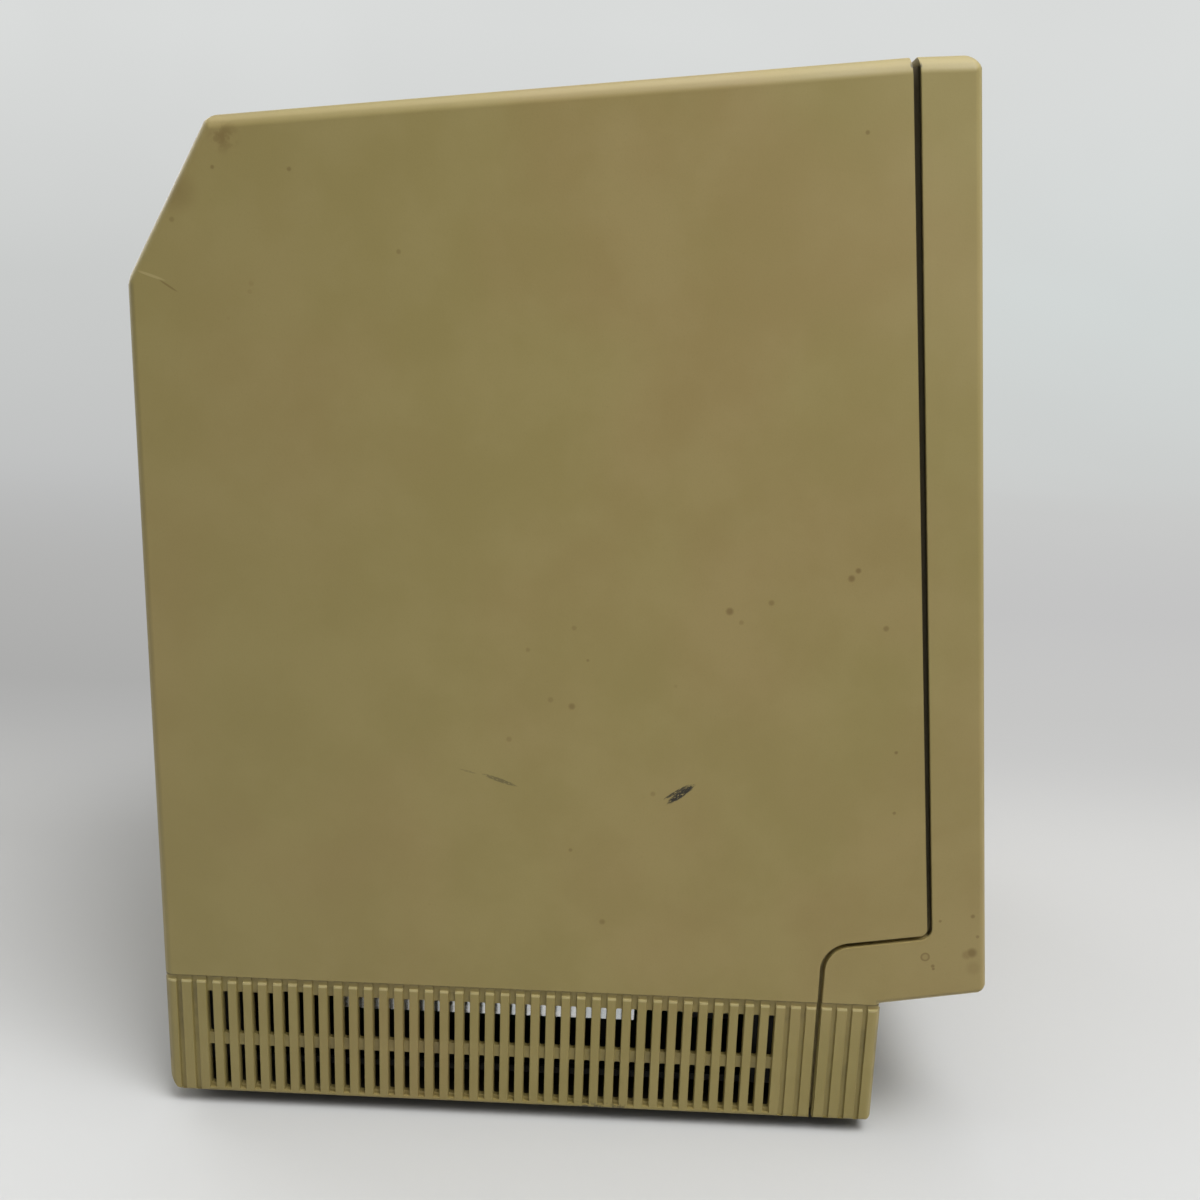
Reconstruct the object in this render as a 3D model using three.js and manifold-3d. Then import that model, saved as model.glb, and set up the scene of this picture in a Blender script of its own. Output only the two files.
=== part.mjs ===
// A compact all-in-one home computer of the late 1980s: a leaning case with a picture tube,
// a ribbed and vented base, a disk drive, a hard disk and a logic board.
// Millimetres, +Z up, front towards -Y, origin on the floor under the middle of the case.
import * as THREE from "three";
import { mergeVertices } from "three/addons/utils/BufferGeometryUtils.js";
import Module from "manifold-3d";

const wasm = await Module();
wasm.setup();

// Driving dimensions, with side view places as distance forward of the rear face and height over
// the case's bottom edge.

const fit = {
  seat: 0.3, // between pieces that touch
  run: 0.4, // around what turns or slides
  overrun: 6, // how far a cutter runs past what it cuts
  reach: 20, // how far a dividing line runs past the case
};

const body = {
  width: 244,
  wall: 3,
  baseDepth: 242.5,
  bandHeight: 43.5,
  topHeight: 340.4,
  slantDepth: 25.9,
  slantDrop: 21.9, // under the top front edge
  rearDrop: 69.2, // under the top front edge
  topReach: 2.9, // ahead of the base
  chinReach: 34.4, // ahead of the base
  chinHeight: 49.9,
  chinRise: 5.9,
  footRadius: 5,
  toeRadius: 1.5,
  chinRadius: 3,
  browRadius: 4,
  slantRadius: 3,
  sideEdgeRear: 3.5,
  sideEdgeFront: 7,
  frontEdge: 2.6,
  rearEdge: 5,
  leastRadius: 0.6,
};

const seam = {
  inset: 18, // behind the front face
  fromBaseFront: 20.8,
  width: 1.5,
  jogHeight: 69.5,
  jogDrop: 6.1,
  frontRadius: 4,
  rearRadius: 9,
  lipThickness: 1.4,
  lipReach: 4,
};

const rib = {
  pitch: 5.15,
  first: 5.41, // rear face to the first groove
  groove: 2.1,
  grooveDepth: 1.3,
  grooveFoot: 2.9,
  top: 41.7,
};

const slot = {
  width: 1.6,
  firstGroove: 2,
  shortOfSeam: 2,
  lowFoot: 3.1,
  lowTop: 17.4,
  highFoot: 22.7,
  highTop: 37.4,
  shortCount: 5,
  shortBy: 1,
};

const foot = { height: 5, radius: 7.5, sunk: 1.2, fromSide: 27, fromRear: 20, fromSeam: 16 };

const floorVent = { count: 12, width: 2.2, length: 34, pitch: 7, fromRear: 78, rowStep: 52 };

const handle = {
  width: 118,
  floorDrop: 56.4, // under the top front edge
  depth: 62,
  lipDepth: 42,
  lipDrop: 9,
  radius: 8,
};

const topVent = { width: 1.8, footDrop: 40.5, topDrop: 7.5, fromSide: 12, fromHandle: 4 };

const screen = {
  fromSide: 18,
  fromTop: 31.2,
  fromChin: 101,
  radius: 12,
  depth: 14,
  slope: 8,
  wall: 2.4,
};

const tube = {
  overScreen: 2.5, // on each side
  radius: 20,
  sag: 9,
  rimDepth: 24,
  crownRings: 4,
  glass: 4,
  neckRadius: 10.5,
  neckGlass: 1.5,
  tailFromRear: 80.9,
  funnelDepth: 72,
  throatRadius: 18,
  throatRoundShare: 0.98,
};

const tubeBand = {
  thickness: 1.6,
  width: 15,
  behindRim: 2,
  ear: 15,
  earThickness: 2,
  holeOut: 2,
  holeRadius: 2.4,
  bossRadius: 5,
};

const yoke = { radius: 36, length: 32, waist: 27, flange: 7 };
const neckBoard = { size: 60, thickness: 1.6, socketRadius: 15, socketLength: 13 };
const anodeCap = { radius: 11, height: 5, stemRadius: 5, stemHeight: 4, funnelShare: 0.5 };
const anodeLead = { radius: 2.5, rise: 9, crestShare: 0.6, steps: 22 };
const yokeLead = { radius: 2.5, sag: 10, straight: 12, fromFront: 54, underTop: 36, steps: 18 };

const chassis = {
  sheet: 1.2,
  fromWall: 3,
  fromBaseFront: 26.5,
  shelfHeight: 50,
  legHeight: 9,
  rearLegWidth: 13,
  frontLegWidth: 16,
  ledge: 11,
  apronFoot: 31,
  apronRear: 60,
  apronFront: 160,
  sideHeight: 150,
  sideRear: 40,
  sideBorder: 16,
  tabWidth: 11,
  tabHeight: 20,
  rearTabWidth: 20,
  notch: 3,
};

const logicBoard = {
  thickness: 1.6,
  fromBaseFront: 30.5,
  fromPanel: 0.6,
  chipHeight: 3.6,
  headerHeight: 9.9,
  headerDepth: 6,
};
// Places across the board as shares of half its width, and back from its front edge.
const boardChips = [
  { xShare: -0.24, fromFront: 152, width: 36, depth: 16 },
  { xShare: 0.54, fromFront: 152, width: 20, depth: 20 },
  { xShare: -0.52, fromFront: 124, width: 28, depth: 12 },
  { xShare: 0.42, fromFront: 84, width: 30, depth: 15 },
  { xShare: 0.76, fromFront: 84, width: 30, depth: 15 },
  { xShare: -0.17, fromFront: 26, width: 24, depth: 24 },
];
const processor = {
  width: 81,
  depth: 20,
  height: 4.2,
  xShare: -0.24,
  fromFront: 92,
  lift: 1.2,
  legWidth: 2.5,
};
const memory = {
  length: 89,
  height: 20,
  thickness: 1.4,
  chipWidth: 8,
  chipHeight: 15,
  chipThickness: 2.6,
  chipCount: 8,
  pitch: 14,
  fromFront: 54,
  xShare: 0.17,
  socketHeight: 6,
  socketWidth: 7,
};
const battery = { radius: 7.2, length: 26, xShare: -0.6, fromFront: 22, cradle: 2 };

const panel = {
  fromSide: 19,
  depth: 7,
  foot: 5,
  top: 40,
};
const sockets = {
  bodyDepth: 12,
  noseReach: 3.6,
  dinWidth: 14,
  dinHeight: 13,
  dinRadius: 5.8,
  dinRing: 1.2,
  dinGroove: 0.9,
  dinDepth: 3,
  dFlange: 1.2,
  dHeight: 8.4,
  dFlangeHeight: 12.5,
  dRadius: 2.1,
  dTaper: Math.PI / 18,
  dFlangeEar: 5,
  dWall: 0.8,
  dDepth: 4,
  wideLength: 39,
  narrowLength: 31,
  jackWidth: 10,
  jackHeight: 12,
  jackRadius: 4,
  jackBore: 1.8,
};

const cover = { width: 62, height: 28, middleHeight: 74, rim: 2.5, flange: 1.5 };

const analogBoard = {
  thickness: 1.6,
  rear: 16,
  fromBaseFront: 28.5,
  foot: 53,
  topDrop: 68.4, // under the top front edge
  plugDepth: 9,
  plugWidth: 20,
  plugHeight: 10,
  plugFromFront: 64,
  plugFoot: 70,
};
// Places up the board and back from its front edge.
const analogParts = [
  { fromFront: 44, height: 120, radius: 9, reach: 30 },
  { fromFront: 22, height: 120, radius: 9, reach: 30 },
  { fromFront: 44, height: 142, radius: 7, reach: 22 },
];
const analogHeatSink = { fromFront: 28, length: 40, foot: 158, thickness: 3, reach: 20 };
const flyback = {
  width: 46,
  depth: 46,
  height: 46,
  fromFront: 104,
  overSupply: 18,
  coilRadius: 17,
  coilRise: 9,
};
const supply = {
  sheet: 1.2,
  width: 56,
  fromBoardFront: 84.4,
  height: 94,
  ventCount: 7,
  ventWidth: 3,
  ventPitch: 11,
  ventBorder: 14,
};

const inlet = {
  fromSide: 38,
  middleHeight: 100,
  width: 27,
  height: 20,
  flangeRim: 2,
  flange: 1.4,
  depth: 24,
  wall: 2,
  cavityDepth: 16,
  corner: 4,
  pinWidth: 4,
  pinThickness: 2,
  pinLength: 13,
  pinSpread: 7,
  pinRise: 2,
};
const powerSwitch = {
  middleHeight: 136,
  width: 14,
  height: 27,
  flangeRim: 2,
  wall: 1.5,
  depth: 22,
  rockerHeight: 24,
  faceDepth: 5,
  pivotDepth: 10,
  heelDepth: 15,
  heelHeight: 8,
  pinRadius: 1.5,
  tilt: Math.PI / 18, // each way from level
};

const bossRadius = 6.5;
const caseScrew = {
  shankRadius: 2,
  headRadius: 3.8,
  headHeight: 3,
  length: 15,
  wellRadius: 4.7,
  lowerWell: 8,
  upperWell: 10,
  seatThickness: 3,
  lowerFromWall: 15,
  lowerHeight: 60,
  upperX: 48,
  upperDrop: 17, // under the top end of the front face
  socketRadius: 1.6,
  socketDepth: 2,
};

const shelfBoss = { radius: 4.5, fromWall: 8.5, height: 62, bore: 1.6, boreDepth: 12 };

const drive = {
  fromWall: 67,
  width: 102,
  length: 146,
  behindChin: 18.9,
  foot: 62.3,
  sheet: 1.5,
  height: 35,
};
// Places forward of the drive's rear face from here on.
const cage = { sheet: 1.2, rear: -14, front: 133, ledge: 6, windowBorder: 18, roofHeight: 104 };
const disk = { width: 91, path: 4.8, liftHeight: 23.5, drop: 5 };
const carrier = {
  sheet: 1,
  lip: 8,
  rear: 51,
  front: 144,
  pinRadius: 1.2,
  pinFromEnd: 16,
  window: 16,
  windowLength: 30,
};
const slider = {
  sheet: 1,
  travel: 6,
  rear: 48,
  front: 138,
  border: 12,
  wallHeight: 28,
  slotPlay: 0.5,
};
const spindle = {
  forward: 93,
  axleRadius: 2.5,
  canRadius: 25,
  canHeight: 8,
  hubRadius: 13,
  topUnderDisk: 0.8,
  pinRadius: 1.6,
  pinHeight: 1.8,
};
const carriage = {
  rear: 16,
  length: 17,
  foot: 2.4,
  height: 13,
  side: 4,
  column: 6,
  armWidth: 8,
  armReach: 20,
  armThickness: 3,
  headRadius: 3,
  headHeight: 0.8,
};
// The lead screw's thread is left off.
const leadScrew = { radius: 2, offset: 18, length: 46, inMotor: 3, rise: 10.3, post: 2, postWidth: 8 };
const guideRod = { radius: 1.8, offset: 16 };
const stepper = { size: 18, depth: 11 };
const ejectMotor = { width: 20, depth: 24, height: 20, fromSide: 7, spindleRadius: 3, spindleReach: 6 };

const hardDisk = {
  width: 102,
  rear: -22,
  depth: 146,
  base: 3,
  wall: 3,
  height: 21,
  coverThickness: 2.5,
  platterRadius: 47,
  platterGap: 1.5,
  platterThickness: 1.3,
  platterStep: 7,
  hubRadius: 12,
  spindleRadius: 4,
  underPlatter: 4,
  pivotSide: 36,
  pivotBack: 66,
  pivotRadius: 4,
  armLength: 62,
  outerTrack: 43,
  armWidth: 12,
  armThickness: 2.4,
  coilLength: 20,
  tipWidth: 5,
  sleeve: 7,
};

const floppyRibbon = { width: 24, thickness: 0.9, offsetX: 28, run: 8, bend: 4, startRise: 9 };
const diskRibbon = { width: 32, thickness: 0.9, offsetX: -22, run: 7, bend: 4, startRise: 7 };
const harness = { radius: 3, fromSide: 32, steps: 14 };

const fan = {
  size: 60,
  depth: 25,
  rear: 16,
  underTop: 58,
  boreRadius: 28,
  hubRadius: 14,
  hubDepth: 15,
  motorRadius: 13,
  motorDepth: 4,
  strutWidth: 4,
  bladeCount: 7,
  bladeReach: 27,
  bladeThickness: 1.2,
  bladeWidth: 14,
  bladeTurn: Math.PI / 3,
  axleRadius: 1.6,
};

const speaker = {
  fromSide: 50,
  up: 56,
  radius: 28,
  rim: 2.5,
  coneRadius: 8,
  basketRadius: 16,
  basketDepth: 13,
  magnetRadius: 15,
  magnetDepth: 8,
};

const floppySlot = { width: 95, height: 6.4, wall: 1.5, dishWidth: 30, dishHeight: 20, dishDepth: 1.6 };
const light = { fromSide: 24, up: 22, radius: 2.5, length: 9, flange: 3.6, flangeLength: 2 };
const badge = { fromSide: 28, up: 30, size: 13, thickness: 0.8, recess: 1.2 };

const dial = {
  fromSide: 48,
  radius: 12,
  thickness: 7,
  height: 29,
  proud: 3.5,
  shaftRadius: 3,
  play: 1,
  teeth: 24,
  toothDepth: 0.7,
  potSize: 14,
  potHeight: 9,
  ledge: 2,
};

// How many sides round pieces have.
const facets = { large: 32, wide: 24, usual: 14, small: 12, pin: 10, hex: 6, arc: 3 };

// Solids from three.js geometries.

function solidOf(geometry) {
  const bare = geometry.index ? geometry.toNonIndexed() : geometry.clone();
  bare.deleteAttribute("normal");
  bare.deleteAttribute("uv");
  const merged = mergeVertices(bare);
  return new wasm.Manifold(
    new wasm.Mesh({
      numProp: 3,
      vertProperties: merged.attributes.position.array,
      triVerts: new Uint32Array(merged.index.array),
    }),
  );
}

const asSolid = (shape) => (shape.isBufferGeometry ? solidOf(shape) : shape);
const join = (...shapes) => shapes.map(asSolid).reduce((whole, piece) => whole.add(piece));
const cut = (shape, ...tools) => tools.map(asSolid).reduce(
  (left, tool) => left.subtract(tool),
  asSolid(shape),
);
const common = (...shapes) => shapes.map(asSolid).reduce((whole, piece) => whole.intersect(piece));

// A closed or open line of points [a, b, radius], with its corners rounded.
function rounded(corners, closed = true, steps = facets.arc) {
  const points = [];
  corners.forEach(([a, b, radius = 0], i) => {
    const at = new THREE.Vector2(a, b);
    const isEnd = !closed && (i === 0 || i === corners.length - 1);
    if (radius <= 0 || isEnd) {
      points.push(at);
      return;
    }
    const before = corners.at(i - 1);
    const after = corners[(i + 1) % corners.length];
    const toBefore = new THREE.Vector2(before[0], before[1]).sub(at).normalize();
    const toAfter = new THREE.Vector2(after[0], after[1]).sub(at).normalize();
    const half = Math.acos(toBefore.dot(toAfter)) / 2;
    const middle = toBefore.clone().add(toAfter).normalize();
    const centre = at.clone().addScaledVector(middle, radius / Math.sin(half));
    const start = at.clone().addScaledVector(toBefore, radius / Math.tan(half)).sub(centre);
    const end = at.clone().addScaledVector(toAfter, radius / Math.tan(half)).sub(centre);
    const turn = Math.atan2(start.cross(end), start.dot(end));
    for (let k = 0; k <= steps; k += 1) {
      points.push(start.clone().rotateAround(new THREE.Vector2(), (turn * k) / steps).add(centre));
    }
  });
  return points;
}

// The same corners moved to the left of the way they run, each radius kept round the same centre.
function offset(corners, distance, closed = true) {
  const count = corners.length;
  const left = (from, to) => {
    const along = new THREE.Vector2(to[0] - from[0], to[1] - from[1]).normalize();
    return new THREE.Vector2(-along.y, along.x);
  };
  return corners.map(([a, b, radius = 0], i) => {
    const hasBefore = closed || i > 0;
    const hasAfter = closed || i < count - 1;
    const before = hasBefore ? left(corners.at(i - 1), corners[i]) : null;
    const after = hasAfter ? left(corners[i], corners[(i + 1) % count]) : before;
    const first = before ?? after;
    const normal = first.clone().add(after).normalize();
    const reach = distance / normal.dot(first);
    const bend = Math.sign(first.cross(after));
    const kept = radius > 0 ? Math.max(radius - bend * distance, body.leastRadius) : 0;
    return [a + normal.x * reach, b + normal.y * reach, kept];
  });
}

function extruded(points, length) {
  return new THREE.ExtrudeGeometry(new THREE.Shape(points), { depth: length, bevelEnabled: false });
}

const axisX = new THREE.Vector3(1, 0, 0);
const axisY = new THREE.Vector3(0, 1, 0);
const axisZ = new THREE.Vector3(0, 0, 1);

// Outlines drawn on (Y, Z), (X, Z) or (X, Y), extruded between two places on the third axis.
function prismX(points, low, high) {
  const turn = new THREE.Matrix4().makeBasis(axisY, axisZ, axisX);
  return extruded(points, high - low).applyMatrix4(turn).translate(low, 0, 0);
}

function prismY(points, low, high) {
  const turn = new THREE.Matrix4().makeBasis(axisX, axisZ, axisY.clone().negate());
  return extruded(points, high - low).applyMatrix4(turn).translate(0, high, 0);
}

function prismZ(points, low, high) {
  return extruded(points, high - low).translate(0, 0, low);
}

function box([x0, x1], [y0, y1], [z0, z1]) {
  const geometry = new THREE.BoxGeometry(x1 - x0, y1 - y0, z1 - z0);
  return geometry.translate((x0 + x1) / 2, (y0 + y1) / 2, (z0 + z1) / 2);
}

function rod(axis, radius, [low, high], at, sides = facets.usual) {
  const geometry = new THREE.CylinderGeometry(radius, radius, high - low, sides);
  const turn = new THREE.Quaternion().setFromUnitVectors(axisY, axis);
  geometry.applyQuaternion(turn).translate(...at.toArray());
  return geometry.translate(...axis.clone().multiplyScalar((low + high) / 2).toArray());
}

const rodX = (radius, span, y, z, sides) => rod(axisX, radius, span, new THREE.Vector3(0, y, z), sides);
const rodY = (radius, span, x, z, sides) => rod(axisY, radius, span, new THREE.Vector3(x, 0, z), sides);
const rodZ = (radius, span, x, y, sides) => rod(axisZ, radius, span, new THREE.Vector3(x, y, 0), sides);

// A turned piece about Z from a profile of [radius, z] that starts and ends on the axis or closes.
function turned(profile, sides = facets.wide) {
  const points = profile.map(([radius, z]) => new THREE.Vector2(radius, z));
  return new THREE.LatheGeometry(points, sides).rotateX(Math.PI / 2);
}

function roundedBox(width, height, radius, x = 0, y = 0) {
  const w = width / 2;
  const h = height / 2;
  const corners = [
    [x - w, y - h, radius],
    [x + w, y - h, radius],
    [x + w, y + h, radius],
    [x - w, y + h, radius],
  ];
  return rounded(corners);
}

// A skin through rings of the same number of points, with both ends closed.
function skinned(rings) {
  const count = rings[0].length;
  const places = rings.flat().flatMap((point) => point.toArray());
  const faces = [];
  for (let i = 0; i < rings.length - 1; i += 1) {
    for (let j = 0; j < count; j += 1) {
      const next = (j + 1) % count;
      const [a, b] = [i * count + j, i * count + next];
      faces.push(a, b, a + count, b, b + count, a + count);
    }
  }
  const flat = rings[0].map((point) => new THREE.Vector2(point.x, point.y));
  const lastFlat = rings.at(-1).map((point) => new THREE.Vector2(point.x, point.y));
  const base = (rings.length - 1) * count;
  THREE.ShapeUtils.triangulateShape(flat, []).forEach(([a, b, c]) => faces.push(c, b, a));
  THREE.ShapeUtils.triangulateShape(lastFlat, []).forEach(
    ([a, b, c]) => faces.push(base + a, base + b, base + c),
  );
  const geometry = new THREE.BufferGeometry();
  geometry.setAttribute("position", new THREE.Float32BufferAttribute(places, 3));
  return geometry.setIndex(faces);
}

const ring = (points, z) => points.map((point) => new THREE.Vector3(point.x, point.y, z));

// A round tube along a smooth line through the points.
function lead(points, radius, steps, sides = 8) {
  const section = new THREE.Shape(
    new THREE.EllipseCurve(0, 0, radius, radius).getPoints(sides).slice(1),
  );
  const path = new THREE.CatmullRomCurve3(points);
  return new THREE.ExtrudeGeometry(section, { extrudePath: path, steps, bevelEnabled: false });
}

// Places that many pieces share.

const halfWidth = body.width / 2;
const innerHalf = halfWidth - body.wall;
const slantHeight = body.topHeight - body.slantDrop;
const rearHeight = body.topHeight - body.rearDrop;
const topDepth = body.baseDepth + body.topReach;
const chinDepth = body.baseDepth + body.chinReach;
const chassisRear = caseScrew.lowerWell + caseScrew.seatThickness + fit.seat;
const chinRoot = body.chinHeight - body.chinRise;

// The case seen from the side, from the rear bottom corner round by the front.
const sideCorners = [
  [0, 0, body.footRadius],
  [body.baseDepth, 0, body.toeRadius],
  [body.baseDepth, chinRoot, 0],
  [chinDepth, body.chinHeight, body.chinRadius],
  [topDepth, body.topHeight, body.browRadius],
  [body.slantDepth, slantHeight, body.slantRadius],
  [0, rearHeight, body.slantRadius],
];
const depth = Math.max(...rounded(sideCorners).map((point) => point.x));
const rearY = depth / 2;
const sideY = (forward) => rearY - forward;
const upZ = (height) => foot.height + height;
const spanY = (rear, front) => [sideY(front), sideY(rear)];
const spanZ = (low, high) => [upZ(low), upZ(high)];
const side = (points) => points.map((point) => new THREE.Vector2(sideY(point.x), upZ(point.y)));

const topSlope = Math.atan2(body.topHeight - slantHeight, topDepth - body.slantDepth);
const lean = Math.atan2(chinDepth - topDepth, body.topHeight - body.chinHeight);
const frontLength = Math.hypot(chinDepth - topDepth, body.topHeight - body.chinHeight);
const frontForward = (height) => chinDepth - (height - body.chinHeight) * Math.tan(lean);
const slantForward = (height) =>
  ((height - rearHeight) * body.slantDepth) / (slantHeight - rearHeight);
const topHeightAt = (forward) => slantHeight + (forward - body.slantDepth) * Math.tan(topSlope);

// The front face's own frame: X across, Y up the face from the chin, Z out of it.
const frontTurn = Math.PI / 2 - lean;
const frontPlace = new THREE.Vector3(0, sideY(chinDepth), upZ(body.chinHeight));
const frontMatrix = new THREE.Matrix4().makeRotationX(frontTurn).setPosition(frontPlace);
const onFront = (geometry) => geometry.applyMatrix4(frontMatrix);
const fromFront = (x, up, out) => new THREE.Vector3(x, up, out).applyMatrix4(frontMatrix);

const screenWidth = body.width - 2 * screen.fromSide;
const screenHeight = frontLength - screen.fromTop - screen.fromChin;
const screenMiddle = screen.fromChin + screenHeight / 2;
const tubeWidth = screenWidth + 2 * tube.overScreen;
const tubeHeight = screenHeight + 2 * tube.overScreen;

const shelfTop = chassis.shelfHeight + chassis.sheet;
const railOuter = innerHalf - chassis.fromWall;
const railInner = railOuter - chassis.sheet;
const boardFoot = chassis.legHeight + chassis.sheet + fit.seat;
const boardTop = boardFoot + logicBoard.thickness;
const boardFront = body.baseDepth - logicBoard.fromBaseFront;
const boardHalf = railInner - fit.seat;
const chassisFront = body.baseDepth - chassis.fromBaseFront;
const panelInner = panel.depth + body.wall;
const panelHalf = halfWidth - panel.fromSide;
const driveMiddle = innerHalf - drive.fromWall;
const driveFront = chinDepth - drive.behindChin;
const driveRear = driveFront - drive.length;
const [cageRear, cageFront] = [driveRear + cage.rear, driveRear + cage.front];
const [carrierRear, carrierFront] = [driveRear + carrier.rear, driveRear + carrier.front];
const [sliderRear, sliderFront] = [driveRear + slider.rear, driveRear + slider.front];
const spindleForward = driveRear + spindle.forward;
const carriageRear = driveRear + carriage.rear;
const hardDiskRear = driveRear + hardDisk.rear;
const inletX = inlet.fromSide - halfWidth;
const harnessX = harness.fromSide - halfWidth;
const speakerX = speaker.fromSide - halfWidth;
const lightX = halfWidth - light.fromSide;
const badgeX = badge.fromSide - halfWidth;
const dialX = dial.fromSide - halfWidth;
const lowerScrewX = innerHalf - caseScrew.lowerFromWall;
const shelfBossX = innerHalf - shelfBoss.fromWall;
const analogFront = body.baseDepth - analogBoard.fromBaseFront;
const analogTop = body.topHeight - analogBoard.topDrop;
const seamGroove = Math.round((body.baseDepth - seam.fromBaseFront - rib.first) / rib.pitch);
const seamForward = rib.first + rib.pitch * seamGroove;
const analogOuter = -railInner + fit.seat;
const analogFace = analogOuter + analogBoard.thickness;
const screenShare = (screenWidth - 2 * screen.slope) / tubeWidth;
const tubeFace = tube.sag * screenShare ** 2 - screen.depth - fit.run;
const rimFront = tubeFace - tube.sag;
const rimBack = rimFront - tube.rimDepth;
const throat = rimBack - tube.funnelDepth;

// The case.

// The outer form of the whole case, drawn in by an inset.
function bodyForm(inset) {
  const half = halfWidth - inset;
  const reach = 2 * depth;
  const kept = (radius) => Math.max(radius - inset, body.leastRadius);
  const profile = prismX(side(rounded(offset(sideCorners, inset))), -half, half);
  // The long side edges, rounder at the front than at the rear.
  const topSection = (radius) => {
    const corners = [
      [-half, -reach, 0],
      [half, -reach, 0],
      [half, -inset, kept(radius)],
      [-half, -inset, kept(radius)],
    ];
    return rounded(corners);
  };
  const long = (topDepth - body.slantDepth) / Math.cos(topSlope);
  const top = skinned([
    ring(topSection(body.sideEdgeRear), -reach),
    ring(topSection(body.sideEdgeRear), 0),
    ring(topSection(body.sideEdgeFront), long),
    ring(topSection(body.sideEdgeFront), reach),
  ]);
  top.rotateX(Math.PI / 2 - topSlope).translate(0, sideY(body.slantDepth), upZ(slantHeight));
  const facePlan = [
    [-half, reach, 0],
    [-half, inset, kept(body.frontEdge)],
    [half, inset, kept(body.frontEdge)],
    [half, reach, 0],
  ];
  const face = prismZ(rounded(facePlan), -reach, reach).rotateX(-lean);
  face.translate(0, sideY(chinDepth), upZ(body.chinHeight));
  const rearPlan = [
    [-half, -reach, 0],
    [half, -reach, 0],
    [half, rearY - inset, kept(body.rearEdge)],
    [-half, rearY - inset, kept(body.rearEdge)],
  ];
  const rear = prismZ(rounded(rearPlan), -reach, reach);
  return common(profile, top, face, rear);
}

// The seam's line from over the top down to below the base, its left side towards the rear.
const seamCorners = [
  [frontForward(body.topHeight + fit.reach) - seam.inset, body.topHeight + fit.reach],
  [frontForward(seam.jogHeight) - seam.inset, seam.jogHeight, seam.frontRadius],
  [seamForward, seam.jogHeight - seam.jogDrop, seam.rearRadius],
  [seamForward, -fit.reach],
];

// All that lies in front of the seam's line moved by a distance to the rear or, if negative, forward.
function aheadOfSeam(distance) {
  const line = rounded(offset(seamCorners, -distance, false), false);
  const far = 2 * depth;
  const closing = [new THREE.Vector2(far, line.at(-1).y), new THREE.Vector2(far, line[0].y)];
  return prismX(side([...line, ...closing]), -body.width, body.width);
}

const outerForm = bodyForm(0);
const shellForm = cut(outerForm, bodyForm(body.wall));
const grooveCore = bodyForm(rib.grooveDepth);

// Grooves between the ribs of the base, and the shadow line over them.
function ribGrooves() {
  const wide = [-body.width, body.width];
  const tall = spanZ(rib.grooveFoot, rib.top);
  const shadow = box(wide, spanY(-depth, 2 * depth), spanZ(rib.top, body.bandHeight));
  const grooves = [shadow];
  for (let i = 0; rib.first + i * rib.pitch < body.baseDepth - rib.groove; i += 1) {
    const middle = rib.first + i * rib.pitch;
    grooves.push(box(wide, spanY(middle - rib.groove / 2, middle + rib.groove / 2), tall));
  }
  const across = Math.floor((halfWidth - rib.groove) / rib.pitch);
  for (let i = -across; i <= across; i += 1) {
    const x = i * rib.pitch;
    const isRear = Math.abs(x) > panelHalf + rib.groove;
    const rear = isRear ? -depth : body.baseDepth / 2;
    grooves.push(box([x - rib.groove / 2, x + rib.groove / 2], spanY(rear, 2 * depth), tall));
  }
  return cut(join(...grooves), grooveCore);
}

// The long air slots in the grooves, in two rows through both side walls.
function sideSlots() {
  const slots = [];
  for (let i = 0; i < seamGroove - slot.shortOfSeam - slot.firstGroove; i += 1) {
    const middle = rib.first + (slot.firstGroove + i) * rib.pitch;
    const span = spanY(middle - slot.width / 2, middle + slot.width / 2);
    const short = i < slot.shortCount ? slot.shortBy : 0;
    const wide = [-body.width, body.width];
    slots.push(box(wide, span, spanZ(slot.lowFoot + short, slot.lowTop)));
    slots.push(box(wide, span, spanZ(slot.highFoot, slot.highTop - short)));
  }
  return join(...slots);
}

const ribbedShell = cut(shellForm, ribGrooves());

function handlePocket(grow) {
  const front = handle.depth + grow;
  const floor = body.topHeight - handle.floorDrop - grow;
  const roof = topHeightAt(handle.depth) - handle.lipDrop + grow;
  const above = body.topHeight + fit.reach;
  const lipFront = handle.lipDepth + (grow > 0 ? grow : 0);
  const corners = [
    [-fit.reach, floor, 0],
    [front, floor, handle.radius + grow],
    [front, roof, handle.radius / 2 + grow],
    [lipFront, roof, 0],
    [lipFront, above, 0],
    [-fit.reach, above, 0],
  ];
  const half = handle.width / 2 + grow;
  return prismX(side(rounded(corners)), -half, half);
}

// Slits in the slanting rear panel beside the handle.
function topVents() {
  const slits = [];
  const past = body.wall * 2;
  const low = slantHeight - topVent.footDrop;
  const high = slantHeight - topVent.topDrop;
  const quad = [
    new THREE.Vector2(slantForward(low) - past, low),
    new THREE.Vector2(slantForward(low) + past, low),
    new THREE.Vector2(slantForward(high) + past, high),
    new THREE.Vector2(slantForward(high) - past, high),
  ];
  const room = halfWidth - topVent.fromSide - handle.width / 2 - body.wall - topVent.fromHandle;
  for (let i = 0; i * rib.pitch <= room; i += 1) {
    const x = halfWidth - topVent.fromSide - i * rib.pitch;
    slits.push(prismX(side(quad), x - topVent.width / 2, x + topVent.width / 2));
    slits.push(prismX(side(quad), -x - topVent.width / 2, -x + topVent.width / 2));
  }
  return join(...slits);
}

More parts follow.
